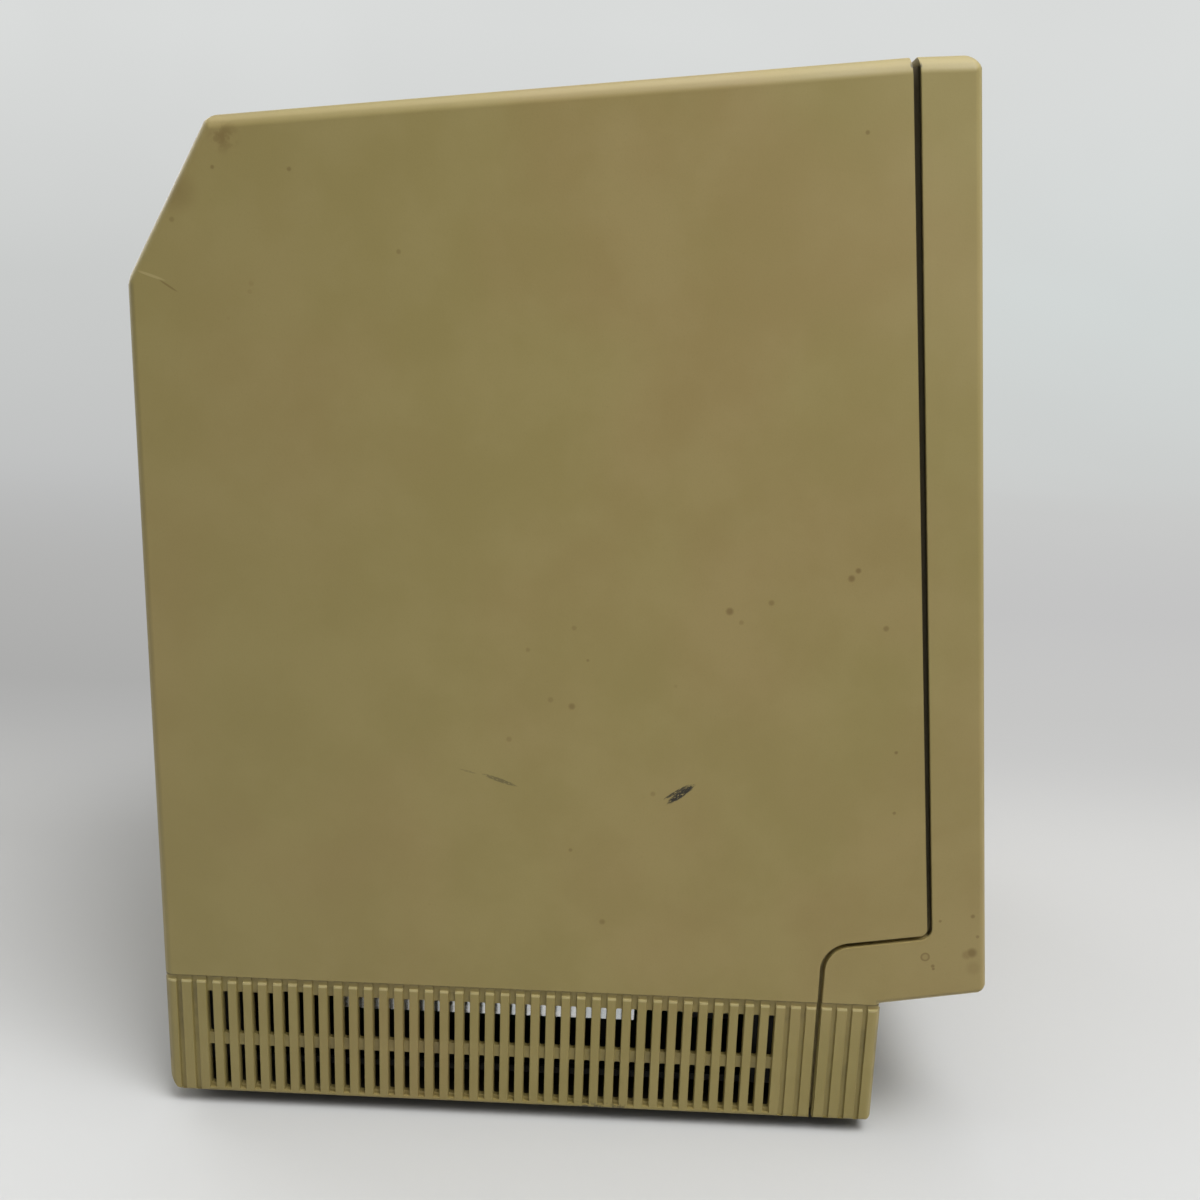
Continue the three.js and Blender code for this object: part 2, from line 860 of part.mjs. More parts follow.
function floorVents() {
  const slits = [];
  for (let i = 0; i < floorVent.count; i += 1) {
    const x = (i - (floorVent.count - 1) / 2) * floorVent.pitch;
    for (const rear of [floorVent.fromRear, floorVent.fromRear + floorVent.rowStep]) {
      const span = spanY(rear, rear + floorVent.length);
      const wide = [x - floorVent.width / 2, x + floorVent.width / 2];
      slits.push(box(wide, span, spanZ(-fit.overrun, body.wall + fit.overrun)));
    }
  }
  return join(...slits);
}

const footPlaces = [
  ["foot_rear_left", -1, foot.fromRear],
  ["foot_rear_right", 1, foot.fromRear],
  ["foot_front_left", -1, seamForward - foot.fromSeam],
  ["foot_front_right", 1, seamForward - foot.fromSeam],
].map(([name, hand, forward]) => ({ name, x: hand * (halfWidth - foot.fromSide), y: sideY(forward) }));

function rubberFoot() {
  return rodZ(foot.radius, [0, foot.height + foot.sunk - fit.seat], 0, 0);
}

// Sockets on the rear edge of the logic board. Each is a body, a nose through the panel and its face.
const noseRear = panel.depth - sockets.noseReach;
const socketFoot = boardTop + fit.seat;
const noseSpan = spanY(noseRear, panelInner + fit.seat);
const noseCut = spanY(-fit.overrun, panelInner + fit.overrun);
const bodySpan = spanY(panelInner + fit.seat, panelInner + fit.seat + sockets.bodyDepth);

function dOutline(length, height, x, grow = 0) {
  const w = length / 2 + grow;
  const h = height / 2 + grow;
  const taper = height * Math.tan(sockets.dTaper);
  const z = upZ(socketFoot + sockets.dFlangeHeight / 2);
  const corners = [
    [x - w + taper, z - h],
    [x + w - taper, z - h],
    [x + w, z + h],
    [x - w, z + h],
  ];
  return rounded(corners.map((corner) => [...corner, sockets.dRadius]));
}

function dSocket(length, x) {
  const z = upZ(socketFoot);
  const half = length / 2 + sockets.dFlangeEar;
  const tall = [z, z + sockets.dFlangeHeight];
  const flange = box(
    [x - half, x + half],
    spanY(panelInner + fit.seat, panelInner + fit.seat + sockets.dFlange),
    tall,
  );
  const block = box([x - length / 2, x + length / 2], bodySpan, tall);
  const nose = prismY(dOutline(length, sockets.dHeight, x), ...noseSpan);
  const hollow = prismY(
    dOutline(length, sockets.dHeight, x, -sockets.dWall),
    ...spanY(-fit.overrun, noseRear + sockets.dDepth),
  );
  const core = prismY(
    dOutline(length, sockets.dHeight, x, -2 * sockets.dWall),
    ...spanY(noseRear + sockets.dWall, panelInner),
  );
  return join(cut(join(flange, block, nose), hollow), core);
}

// All in one row with equal gaps, from the right.
const socketWidths = {
  keyboard: sockets.dinWidth,
  mouse: sockets.dinWidth,
  floppy: sockets.narrowLength + 2 * sockets.dFlangeEar,
  diskChain: sockets.wideLength + 2 * sockets.dFlangeEar,
  printer: sockets.dinWidth,
  modem: sockets.dinWidth,
  jack: sockets.jackWidth,
};
const widths = Object.values(socketWidths);
const socketGap = (2 * panelHalf - widths.reduce((sum, width) => sum + width)) / (widths.length + 1);
const socketX = {};
let socketEdge = panelHalf;
for (const [name, width] of Object.entries(socketWidths)) {
  socketX[name] = socketEdge - socketGap - width / 2;
  socketEdge -= socketGap + width;
}

const dinMiddle = upZ(socketFoot + sockets.dinHeight / 2);

function dinSocket(x) {
  const half = sockets.dinWidth / 2;
  const block = box(
    [x - half, x + half],
    bodySpan,
    [upZ(socketFoot), upZ(socketFoot + sockets.dinHeight)],
  );
  const nose = rodY(sockets.dinRadius, noseSpan, x, dinMiddle);
  const inner = sockets.dinRadius - sockets.dinRing;
  const well = rodY(inner, spanY(-fit.overrun, noseRear + sockets.dinDepth), x, dinMiddle);
  const core = rodY(
    inner - sockets.dinGroove,
    spanY(noseRear + sockets.dWall, panelInner),
    x,
    dinMiddle,
  );
  return join(cut(join(block, nose), well), core);
}

const jackMiddle = upZ(socketFoot + sockets.jackHeight / 2);

function jackSocket() {
  const half = sockets.jackWidth / 2;
  const x = socketX.jack;
  const block = box(
    [x - half, x + half],
    bodySpan,
    [upZ(socketFoot), upZ(socketFoot + sockets.jackHeight)],
  );
  const nose = rodY(sockets.jackRadius, noseSpan, x, jackMiddle);
  const span = spanY(-fit.overrun, panelInner + sockets.bodyDepth / 2);
  const bore = rodY(sockets.jackBore, span, x, jackMiddle, facets.small);
  return cut(join(block, nose), bore);
}

function panelHoles() {
  const { keyboard, mouse, printer, modem } = socketX;
  const holes = [keyboard, mouse, printer, modem].map((x) =>
    rodY(sockets.dinRadius + fit.run, noseCut, x, dinMiddle),
  );
  holes.push(rodY(sockets.jackRadius + fit.run, noseCut, socketX.jack, jackMiddle));
  holes.push(prismY(dOutline(sockets.wideLength, sockets.dHeight, socketX.diskChain, fit.run), ...noseCut));
  holes.push(
    prismY(dOutline(sockets.narrowLength, sockets.dHeight, socketX.floppy, fit.run), ...noseCut),
  );
  return join(...holes);
}

// A stepped opening in the rear wall: a shallow seat for a flange and a hole for the body behind it.
function flangedHole(x, height, [width, tall], rim, seat) {
  const hole = (grow, span) => {
    const w = width / 2 + grow;
    const h = tall / 2 + grow;
    return box([x - w, x + w], span, [upZ(height) - h, upZ(height) + h]);
  };
  const through = hole(fit.run, spanY(-fit.overrun, body.wall + fit.overrun));
  return join(through, hole(rim + fit.run, spanY(-fit.overrun, seat + fit.seat)));
}

// A long screw boss on the inside, with a deep well for the head from outside.
const wellSeat = { lower: caseScrew.lowerWell, upper: caseScrew.upperWell };

function lowerBoss(x, tool) {
  const z = upZ(caseScrew.lowerHeight);
  const seat = wellSeat.lower;
  if (!tool) {
    return rodY(bossRadius, spanY(body.wall / 2, seat + caseScrew.seatThickness), x, z);
  }
  const well = rodY(caseScrew.wellRadius, spanY(-fit.overrun, seat), x, z);
  return join(
    well,
    rodY(caseScrew.shankRadius + fit.seat, spanY(0, seat + 2 * caseScrew.seatThickness), x, z),
  );
}

// The upper bosses follow the front face's frame, whose posts they meet.
const upperUp = frontLength - caseScrew.upperDrop;
const pocketFrontAt = fromFront(0, upperUp, 0);
const pocketOut = -(pocketFrontAt.y - sideY(0) + handle.depth) / Math.cos(lean);
const upperSeatOut = -Math.abs(pocketOut) + wellSeat.upper;
const postEnd = upperSeatOut + caseScrew.seatThickness + fit.seat;

function upperBoss(x, tool) {
  const at = (radius, low, high) => onFront(
    rod(axisZ, radius, [low, high], new THREE.Vector3(x, upperUp, 0)),
  );
  const floor = upperSeatOut + caseScrew.seatThickness;
  if (!tool) {
    return at(bossRadius, upperSeatOut - wellSeat.upper, floor);
  }
  const well = at(caseScrew.wellRadius, upperSeatOut - handle.depth, upperSeatOut);
  const bore = at(caseScrew.shankRadius + fit.seat, upperSeatOut - fit.overrun, floor + fit.overrun);
  return join(well, bore);
}

function rearHousing() {
  const behindSeam = cut(ribbedShell, aheadOfSeam(seam.width / 2));
  const wallBlock = (half, rear, front, low, high) => box(
    [-half, half],
    spanY(rear, front),
    spanZ(low, high),
  );
  const panelBlock = wallBlock(
    panelHalf + body.wall,
    body.wall / 2,
    panelInner,
    body.wall / 2,
    panel.top + body.wall,
  );
  const pocketBlock = common(handlePocket(body.wall), outerForm);
  const whole = join(
    behindSeam,
    panelBlock,
    pocketBlock,
    lowerBoss(lowerScrewX),
    lowerBoss(-lowerScrewX),
    upperBoss(caseScrew.upperX),
    upperBoss(-caseScrew.upperX),
  );
  const sunkFeet = footPlaces.map((place) =>
    rodZ(foot.radius + fit.seat, spanZ(-fit.overrun, foot.sunk), place.x, place.y),
  );
  return cut(
    whole,
    wallBlock(panelHalf, -fit.overrun, panel.depth, panel.foot, panel.top),
    panelHoles(),
    sideSlots(),
    topVents(),
    floorVents(),
    handlePocket(0),
    lowerBoss(lowerScrewX, true),
    lowerBoss(-lowerScrewX, true),
    upperBoss(caseScrew.upperX, true),
    upperBoss(-caseScrew.upperX, true),
    flangedHole(
      inletX,
      inlet.middleHeight,
      [inlet.width, inlet.height],
      inlet.flangeRim,
      inlet.flange,
    ),
    flangedHole(
      inletX,
      powerSwitch.middleHeight,
      [powerSwitch.width + 2 * powerSwitch.wall, powerSwitch.height + 2 * powerSwitch.wall],
      powerSwitch.flangeRim,
      inlet.flange,
    ),
    flangedHole(driveMiddle, cover.middleHeight, [cover.width, cover.height], 0, 0),
    ...sunkFeet,
  );
}

function screenCutter(grow, back, front) {
  const wide = roundedBox(
    screenWidth + 2 * grow,
    screenHeight + 2 * grow,
    screen.radius + grow,
    0,
    screenMiddle,
  );
  const narrow = roundedBox(
    screenWidth - 2 * screen.slope + 2 * grow,
    screenHeight - 2 * screen.slope + 2 * grow,
    screen.radius + grow,
    0,
    screenMiddle,
  );
  const rings = [ring(narrow, -screen.depth), ring(wide, 0)];
  if (back > 0) rings.unshift(ring(narrow, -screen.depth - back));
  if (front > 0) rings.push(ring(wide, front));
  return onFront(skinned(rings));
}

const pathFoot = drive.foot + disk.liftHeight;
const pathMiddle = pathFoot + disk.path / 2;

// The slot for the disk, with a tunnel to the drive behind it and a dish for the finger.
function slotTunnel(grow, rear, front) {
  const half = floppySlot.width / 2 + grow;
  const tall = floppySlot.height / 2 + grow;
  return box(
    [driveMiddle - half, driveMiddle + half],
    spanY(rear, front),
    spanZ(pathMiddle - tall, pathMiddle + tall),
  );
}

function fingerDish() {
  const dish = new THREE.SphereGeometry(1, facets.wide, facets.pin);
  dish.scale(floppySlot.dishWidth / 2, floppySlot.dishHeight / 2, floppySlot.dishDepth);
  dish.translate(driveMiddle, (pathMiddle - body.chinHeight) / Math.cos(lean), 0);
  return onFront(dish);
}

const dialForward = body.baseDepth + dial.proud - dial.radius;
const dialSpan = [dial.height - dial.thickness / 2, dial.height + dial.thickness / 2];

function dialSlot() {
  const inner = body.baseDepth - body.wall - dialForward;
  const half = Math.sqrt(dial.radius ** 2 - inner ** 2) + dial.play;
  return box(
    [dialX - half, dialX + half],
    spanY(dialForward, 2 * depth),
    spanZ(dialSpan[0] - fit.run, dialSpan[1] + fit.run),
  );
}

const potSpan = [dialSpan[0] - fit.run - dial.potHeight, dialSpan[0] - fit.run];

const onAxis = (radius, low, high, x, up, sides) =>
  onFront(rod(axisZ, radius, [low, high], new THREE.Vector3(x, up, 0), sides));

const earX = tubeWidth / 2 + tubeBand.holeOut;
const earUp = tubeHeight / 2 + tubeBand.holeOut;
const fourCorners = [
  [-1, -1],
  [1, -1],
  [1, 1],
  [-1, 1],
];
const bandFront = rimFront - tubeBand.behindRim;
const speakerFront = -body.wall - speaker.rim;

function frontBezel() {
  const lipOuter = body.wall + fit.seat;
  const lipInner = bodyForm(lipOuter + seam.lipThickness);
  const rootAhead = cut(aheadOfSeam(-seam.width / 2), aheadOfSeam(-seam.lipReach - seam.lipThickness));
  const lip = common(cut(bodyForm(lipOuter), lipInner), aheadOfSeam(seam.lipReach));
  const solids = [
    common(ribbedShell, aheadOfSeam(-seam.width / 2)),
    cut(lip, aheadOfSeam(-seam.lipReach)),
    common(cut(bodyForm(body.wall / 2), lipInner), rootAhead),
    common(screenCutter(screen.wall, 0, 0), bodyForm(body.wall / 2)),
    slotTunnel(floppySlot.wall, driveFront + fit.run, frontForward(pathMiddle) - body.wall / 2),
    onAxis(speaker.radius, speakerFront, -body.wall / 2, speakerX, speaker.up, facets.wide),
    box(
      [dialX - dial.potSize / 2, dialX + dial.potSize / 2],
      spanY(dialForward - dial.potSize / 2, body.baseDepth - body.wall / 2),
      spanZ(potSpan[0] - fit.seat - dial.ledge, potSpan[0] - fit.seat),
    ),
  ];
  for (const [handX, handUp] of fourCorners) {
    const at = [handX * earX, screenMiddle + handUp * earUp];
    solids.push(onAxis(tubeBand.bossRadius, bandFront + fit.seat, -body.wall / 2, ...at));
  }
  const holes = [
    screenCutter(0, fit.overrun, fit.overrun),
    slotTunnel(0, driveFront, 2 * depth),
    fingerDish(),
    dialSlot(),
    onAxis(light.radius + fit.seat, -light.length, fit.overrun, lightX, light.up),
    onAxis(
      speaker.radius - speaker.rim,
      speakerFront - fit.overrun,
      -body.wall,
      speakerX,
      speaker.up,
      facets.wide,
    ),
  ];
  const half = badge.size / 2;
  const recess = box(
    [badgeX - half, badgeX + half],
    [badge.up - half, badge.up + half],
    [-badge.recess, fit.overrun],
  );
  holes.push(onFront(recess));
  for (const hand of [-1, 1]) {
    const post = (radius, rear, front) => rodY(
      radius,
      spanY(rear, front),
      hand * shelfBossX,
      upZ(shelfBoss.height),
    );
    const rear = chassisFront + fit.seat;
    solids.push(post(shelfBoss.radius, rear, frontForward(shelfBoss.height) - body.wall / 2));
    holes.push(post(shelfBoss.bore, rear - fit.overrun, rear + shelfBoss.boreDepth));
    solids.push(onAxis(bossRadius, postEnd, -body.wall / 2, hand * caseScrew.upperX, upperUp));
    const bore = [postEnd - fit.overrun, upperSeatOut + caseScrew.length + fit.overrun];
    holes.push(onAxis(caseScrew.shankRadius + fit.seat, ...bore, hand * caseScrew.upperX, upperUp));
  }
  return cut(join(...solids), ...holes);
}

// The picture tube, in the front face's frame.

const tubeTail = tubeFace - (chinDepth - tube.tailFromRear);

function tubeRings(inset, front) {
  const rings = [];
  const outline = (share, radius = tube.radius) => {
    const w = tubeWidth * share - 2 * inset;
    const h = tubeHeight * share - 2 * inset;
    return roundedBox(w, h, Math.min(radius * share, h / 2), 0, screenMiddle);
  };
  for (let i = 1; i <= tube.crownRings; i += 1) {
    const share = i / tube.crownRings;
    rings.unshift(ring(outline(share), front - tube.sag * share ** 2));
  }
  rings.unshift(ring(outline(1), rimBack));
  const small = 2 * (tube.throatRadius - inset);
  const smallRadius = (small / 2) * tube.throatRoundShare;
  rings.unshift(ring(roundedBox(small, small, smallRadius, 0, screenMiddle), throat + inset));
  return skinned(rings);
}

function pictureTube() {
  const neck = rod(axisZ, tube.neckRadius, [tubeTail, throat + tube.glass], axisPoint(), facets.wide);
  const boreSpan = [tubeTail - fit.overrun, throat + 2 * tube.glass];
  const bore = rod(axisZ, tube.neckRadius - tube.neckGlass, boreSpan, axisPoint(), facets.wide);
  return cut(
    join(tubeRings(0, tubeFace), neck),
    tubeRings(tube.glass, tubeFace - 2 * tube.glass),
    bore,
  );
}

function axisPoint(x = 0, up = 0) {
  return new THREE.Vector3(x, screenMiddle + up, 0);
}

function tubeStrap() {
  const outline = (grow) =>
    roundedBox(tubeWidth + 2 * grow, tubeHeight + 2 * grow, tube.radius + grow, 0, screenMiddle);
  const back = bandFront - tubeBand.width;
  const pieces = [prismZ(outline(tubeBand.thickness + fit.seat), back, bandFront)];
  const holes = [prismZ(outline(fit.seat), back - fit.overrun, bandFront + fit.overrun)];
  for (const [handX, handUp] of fourCorners) {
    const centre = [(handX * tubeWidth) / 2, screenMiddle + (handUp * tubeHeight) / 2];
    pieces.push(
      prismZ(
        roundedBox(tubeBand.ear, tubeBand.ear, tubeBand.ear / 4, ...centre),
        bandFront - tubeBand.earThickness,
        bandFront,
      ),
    );
    const at = axisPoint(handX * earX, handUp * earUp);
    holes.push(rod(axisZ, tubeBand.holeRadius, [back, bandFront + fit.overrun], at, facets.small));
  }
  return cut(join(...pieces), ...holes);
}

function deflectionYoke() {
  const bore = tube.neckRadius + fit.seat;
  const front = throat - fit.seat;
  const back = front - yoke.length;
  const profile = [
    [bore, back],
    [yoke.waist, back],
    [yoke.waist, front - yoke.flange],
    [yoke.radius, front - yoke.flange],
    [yoke.radius, front],
    [bore, front],
    [bore, back],
  ];
  return turned(profile).translate(0, screenMiddle, 0);
}

function neckSocketBoard() {
  const socketFront = tubeTail - fit.seat;
  const cardFront = socketFront - neckBoard.socketLength;
  const half = neckBoard.size / 2;
  const card = box(
    [-half, half],
    [screenMiddle - half, screenMiddle + half],
    [cardFront - neckBoard.thickness, cardFront],
  );
  return join(
    card,
    rod(
      axisZ,
      neckBoard.socketRadius,
      [cardFront - neckBoard.thickness / 2, socketFront],
      axisPoint(),
    ),
  );
}

// The anode cap sits square on the top of the funnel.
const funnelRise = tubeHeight / 2 - tube.throatRadius;
const capTurn = Math.atan2(funnelRise, tube.funnelDepth);
const capAxis = new THREE.Vector3(0, Math.cos(capTurn), -Math.sin(capTurn));
const capSeat = axisPoint(0, tubeHeight / 2 - funnelRise * anodeCap.funnelShare).setZ(
  rimBack - tube.funnelDepth * anodeCap.funnelShare,
);

function capDisc() {
  const disc = rod(capAxis, anodeCap.radius, [fit.seat, anodeCap.height], capSeat);
  const top = anodeCap.height + anodeCap.stemHeight;
  return join(disc, rod(capAxis, anodeCap.stemRadius, [anodeCap.height / 2, top], capSeat));
}

const capTop = capSeat
  .clone()
  .addScaledVector(capAxis, anodeCap.height + anodeCap.stemHeight + fit.seat)
  .applyMatrix4(frontMatrix);
const capOut = capAxis.clone().applyAxisAngle(axisX, frontTurn);

// The upright board beside the tube, and what it carries.

const boardX = [analogOuter, analogFace];
const plugForward = analogFront - analogBoard.plugFromFront;
const supplyRear = Math.max(inlet.depth, powerSwitch.depth) + 2 * fit.seat;
const supplyFoot = shelfTop + fit.seat;
const flybackForward = analogFront - flyback.fromFront;
const flybackFoot = supplyFoot + supply.height + flyback.overSupply;
const flybackX = [analogFace + fit.seat, analogFace + fit.seat + flyback.width];
const plugX = analogFace + analogBoard.plugDepth;

function analogCard() {
  const card = box(
    boardX,
    spanY(analogBoard.rear, analogFront),
    spanZ(analogBoard.foot, analogTop),
  );
  const pieces = [card];
  const plugHalf = analogBoard.plugWidth / 2;
  const plugSpan = spanY(plugForward - plugHalf, plugForward + plugHalf);
  const plugTall = spanZ(analogBoard.plugFoot, analogBoard.plugFoot + analogBoard.plugHeight);
  pieces.push(box([analogOuter, plugX], plugSpan, plugTall));
  for (const { fromFront, height, radius, reach } of analogParts) {
    const y = sideY(analogFront - fromFront);
    pieces.push(rodX(radius, [analogOuter, analogFace + reach], y, upZ(height)));
  }
  const { fromFront: back, length, foot: low, thickness, reach: out } = analogHeatSink;
  const span = spanY(analogFront - back - length, analogFront - back);
  pieces.push(box([analogOuter, analogFace + out], span, spanZ(low, low + thickness)));
  return join(...pieces);
}

function lineTransformer() {
  const span = spanY(flybackForward - flyback.depth / 2, flybackForward + flyback.depth / 2);
  const core = box(flybackX, span, spanZ(flybackFoot, flybackFoot + flyback.height));
  const top = [
    upZ(flybackFoot + flyback.height / 2),
    upZ(flybackFoot + flyback.height + flyback.coilRise),
  ];
  return join(
    core,
    rodZ(flyback.coilRadius, top, (flybackX[0] + flybackX[1]) / 2, sideY(flybackForward)),
  );
}

// A sheet metal cover over the supply's parts on the upright board, open towards the board.
function supplyCover() {
  const x = [analogFace + fit.seat, analogFace + fit.seat + supply.width];
  const span = [supplyRear, analogFront - supply.fromBoardFront];
  const tall = [supplyFoot, supplyFoot + supply.height];
  const cover = cut(
    box(x, spanY(...span), spanZ(...tall)),
    box(
      [x[0] - fit.overrun, x[1] - supply.sheet],
      spanY(span[0] + supply.sheet, span[1] - supply.sheet),
      spanZ(tall[0] + supply.sheet, tall[1] - supply.sheet),
    ),
  );
  const slits = [];
  for (let i = 0; i < supply.ventCount; i += 1) {
    const middle = (span[0] + span[1]) / 2 + (i - (supply.ventCount - 1) / 2) * supply.ventPitch;
    const wide = spanY(middle - supply.ventWidth / 2, middle + supply.ventWidth / 2);
    slits.push(
      box(
        [x[0] + supply.sheet, x[1] + fit.overrun],
        wide,
        spanZ(tall[0] + supply.ventBorder, tall[1] - supply.ventBorder),
      ),
    );
  }
  return cut(cover, ...slits);
}

// The sheet metal frame: a shelf on two rails that hold the logic board.

function wallSheet(hand, rear, front, low, high) {
  const x = [hand * railOuter, hand * railInner].sort((a, b) => a - b);
  return box(x, spanY(rear, front), spanZ(low, high));
}

function chassisFrame() {
  const shelf = box(
    [-railOuter, railOuter],
    spanY(chassisRear, chassisFront),
    spanZ(chassis.shelfHeight, shelfTop),
  );
  const pieces = [shelf];
  const holes = [];
  for (const hand of [-1, 1]) {
    pieces.push(
      wallSheet(hand, chassisRear, chassisRear + chassis.rearLegWidth, chassis.legHeight, shelfTop),
    );
    pieces.push(
      wallSheet(
        hand,
        chassisFront - chassis.frontLegWidth,
        chassisFront,
        chassis.legHeight,
        shelfTop,
      ),
    );
    pieces.push(wallSheet(hand, chassis.apronRear, chassis.apronFront, chassis.apronFoot, shelfTop));
    const ledge = [hand * (railOuter - chassis.ledge), hand * railOuter].sort((a, b) => a - b);
    const railRear = panelInner + sockets.bodyDepth;
    pieces.push(
      wallSheet(
        hand,
        chassisRear,
        chassisFront,
        chassis.legHeight,
        chassis.legHeight + 2 * chassis.sheet,
      ),
    );
    pieces.push(
      box(
        ledge,
        spanY(railRear, chassisFront),
        spanZ(chassis.legHeight, chassis.legHeight + chassis.sheet),
      ),
    );
    const tabTop = shelfTop + chassis.tabHeight;
    const frontTab = [hand * (railOuter - chassis.tabWidth), hand * railOuter].sort((a, b) => a - b);
    const rearTab = [hand * (railOuter - chassis.rearTabWidth), hand * railOuter].sort((a, b) => a - b);
    pieces.push(
      box(
        frontTab,
        spanY(chassisFront - chassis.sheet, chassisFront),
        spanZ(chassis.shelfHeight, tabTop),
      ),
    );
    pieces.push(
      box(rearTab, spanY(chassisRear, chassisRear + chassis.sheet), spanZ(chassis.shelfHeight, tabTop)),
    );
    const frontHole = spanY(chassisFront - 2 * chassis.sheet, chassisFront + fit.overrun);
    holes.push(
      rodY(
        shelfBoss.bore + fit.seat,
        frontHole,
        hand * shelfBossX,
        upZ(shelfBoss.height),
        facets.small,
      ),
    );
    const rearHole = spanY(chassisRear - fit.overrun, chassisRear + 2 * chassis.sheet);
    holes.push(
      rodY(
        caseScrew.shankRadius + fit.seat,
        rearHole,
        hand * lowerScrewX,
        upZ(caseScrew.lowerHeight),
        facets.small,
      ),
    );
  }
  pieces.push(wallSheet(-1, chassis.sideRear, chassisFront, chassis.shelfHeight, chassis.sideHeight));
  holes.push(
    box(
      [-railOuter - fit.overrun, -railInner + fit.overrun],
      spanY(chassis.sideRear + chassis.sideBorder, chassisFront - chassis.sideBorder),
      spanZ(shelfTop + chassis.sideBorder, chassis.sideHeight - chassis.sideBorder),
    ),
  );
  const notch = (x, forward, width, deep) => {
    const half = width / 2 + chassis.notch;
    const span = spanY(forward - deep / 2 - chassis.notch, forward + deep / 2 + chassis.notch);
    return box(
      [x - half, x + half],
      span,
      spanZ(chassis.shelfHeight - fit.overrun, shelfTop + fit.overrun),
    );
  };
  holes.push(notch(floppyRibbonX, floppyRibbonForward, floppyRibbon.width, floppyRibbon.thickness));
  holes.push(notch(diskRibbonX, diskRibbonForward, diskRibbon.width, diskRibbon.thickness));
  holes.push(notch(harnessX, plugForward, 2 * harness.radius, 2 * harness.radius));
  return cut(join(...pieces), ...holes);
}

// The logic board with its connectors, and what stands in or on it.

const headerTop = boardTop + logicBoard.headerHeight;
const driveRearGap = driveRear - fit.seat;
const floppyRibbonX = driveMiddle + floppyRibbon.offsetX;
const floppyRibbonForward = driveRearGap - floppyRibbon.run;
const diskRibbonX = driveMiddle + diskRibbon.offsetX;
const diskRibbonForward = hardDiskRear - fit.seat - diskRibbon.run;

function header(x, forward, width) {
  const half = width / 2;
  const span = spanY(forward - logicBoard.headerDepth / 2, forward + logicBoard.headerDepth / 2);
  return box([x - half, x + half], span, spanZ(boardFoot, headerTop));
}

function flatBlock({ xShare, fromFront, width, depth: long, height }) {
  const x = xShare * boardHalf;
  const forward = Math.max(boardFront - fromFront, panelInner + sockets.bodyDepth + long);
  const span = spanY(forward - long / 2, forward + long / 2);
  return box([x - width / 2, x + width / 2], span, spanZ(boardFoot, boardTop + height));
}

const memoryX = memory.xShare * boardHalf;
const memoryBacks = [memory.fromFront, memory.fromFront - memory.pitch];
const processorX = processor.xShare * boardHalf;
const processorForward = boardFront - processor.fromFront;
const batteryX = battery.xShare * boardHalf;
const batteryForward = boardFront - battery.fromFront;

function mainBoard() {
  const card = box(
    [-boardHalf, boardHalf],
    spanY(panelInner + logicBoard.fromPanel, boardFront),
    spanZ(boardFoot, boardTop),
  );
  const pieces = [
    card,
    header(floppyRibbonX, floppyRibbonForward, floppyRibbon.width),
    header(diskRibbonX, diskRibbonForward, diskRibbon.width),
    header(harnessX, plugForward, analogBoard.plugWidth),
    ...boardChips.map((chip) => flatBlock({ ...chip, height: logicBoard.chipHeight })),
  ];
  for (const fromFront of memoryBacks) {
    const forward = boardFront - fromFront;
    const socket = {
      xShare: memory.xShare,
      fromFront,
      width: memory.length,
      depth: memory.socketWidth,
      height: memory.socketHeight,
    };
    const groove = box(
      [memoryX - memory.length, memoryX + memory.length],
      spanY(forward - memory.thickness / 2 - fit.seat, forward + memory.thickness / 2 + fit.seat),
      spanZ(boardTop + memory.socketHeight / 3, boardTop + memory.socketHeight + fit.overrun),
    );
    pieces.push(cut(flatBlock(socket), groove));
  }
  return join(...pieces);
}

const processorFoot = boardTop + processor.lift;

function processorChip() {
  const half = processor.width / 2;
  const deep = processor.depth / 2;
  const across = [processorX - half, processorX + half];
  const whole = spanY(processorForward - deep, processorForward + deep);
  const casing = box(across, whole, spanZ(processorFoot, processorFoot + processor.height));
  const legs = [-1, 1].map((hand) => {
    const outer = processorForward + hand * deep;
    const inner = outer - hand * processor.legWidth;
    return box(
      across,
      spanY(Math.min(outer, inner), Math.max(outer, inner)),
      spanZ(boardTop + fit.seat, processorFoot + fit.seat),
    );
  });
  return join(casing, ...legs);
}

// A memory module with its chips, standing on end, drawn about its own middle.
function memoryModule() {
  const half = memory.length / 2;
  const thin = memory.thickness / 2;
  const pieces = [box([-half, half], [-thin, thin], [0, memory.height])];
  for (let i = 0; i < memory.chipCount; i += 1) {
    const middle = ((i + 0.5) / memory.chipCount - 0.5) * memory.length;
    const x = [middle - memory.chipWidth / 2, middle + memory.chipWidth / 2];
    pieces.push(
      box(
        x,
        [-thin - memory.chipThickness, 0],
        [memory.height - memory.chipHeight + memory.socketHeight / 2, memory.height - thin],
      ),
    );
  }
  return join(...pieces);
}

const batteryMiddle = boardTop + battery.cradle + battery.radius;

function clockBattery() {
  const half = battery.length / 2;
  const cell = rodX(
    battery.radius,
    [batteryX - half, batteryX + half],
    sideY(batteryForward),
    upZ(batteryMiddle),
  );
  const cradle = box(
    [batteryX - half - battery.cradle, batteryX + half + battery.cradle],
    spanY(batteryForward - battery.radius, batteryForward + battery.radius),
    spanZ(boardTop + fit.seat, batteryMiddle - battery.radius / 2),
  );
  return join(cradle, cell);
}

// Flat ribbons and the round harness from the drives and the upright board to the logic board.

function ribbon(spec, x, start, middleForward) {
  const line = [
    [start[0], start[1], 0],
    [middleForward, start[1], spec.bend],
    [middleForward, headerTop + fit.seat, 0],
  ];
  const near = rounded(offset(line, spec.thickness / 2, false), false);
  const far = rounded(offset(line, -spec.thickness / 2, false), false);
  return prismX(side([...near, ...far.reverse()]), x - spec.width / 2, x + spec.width / 2);
}

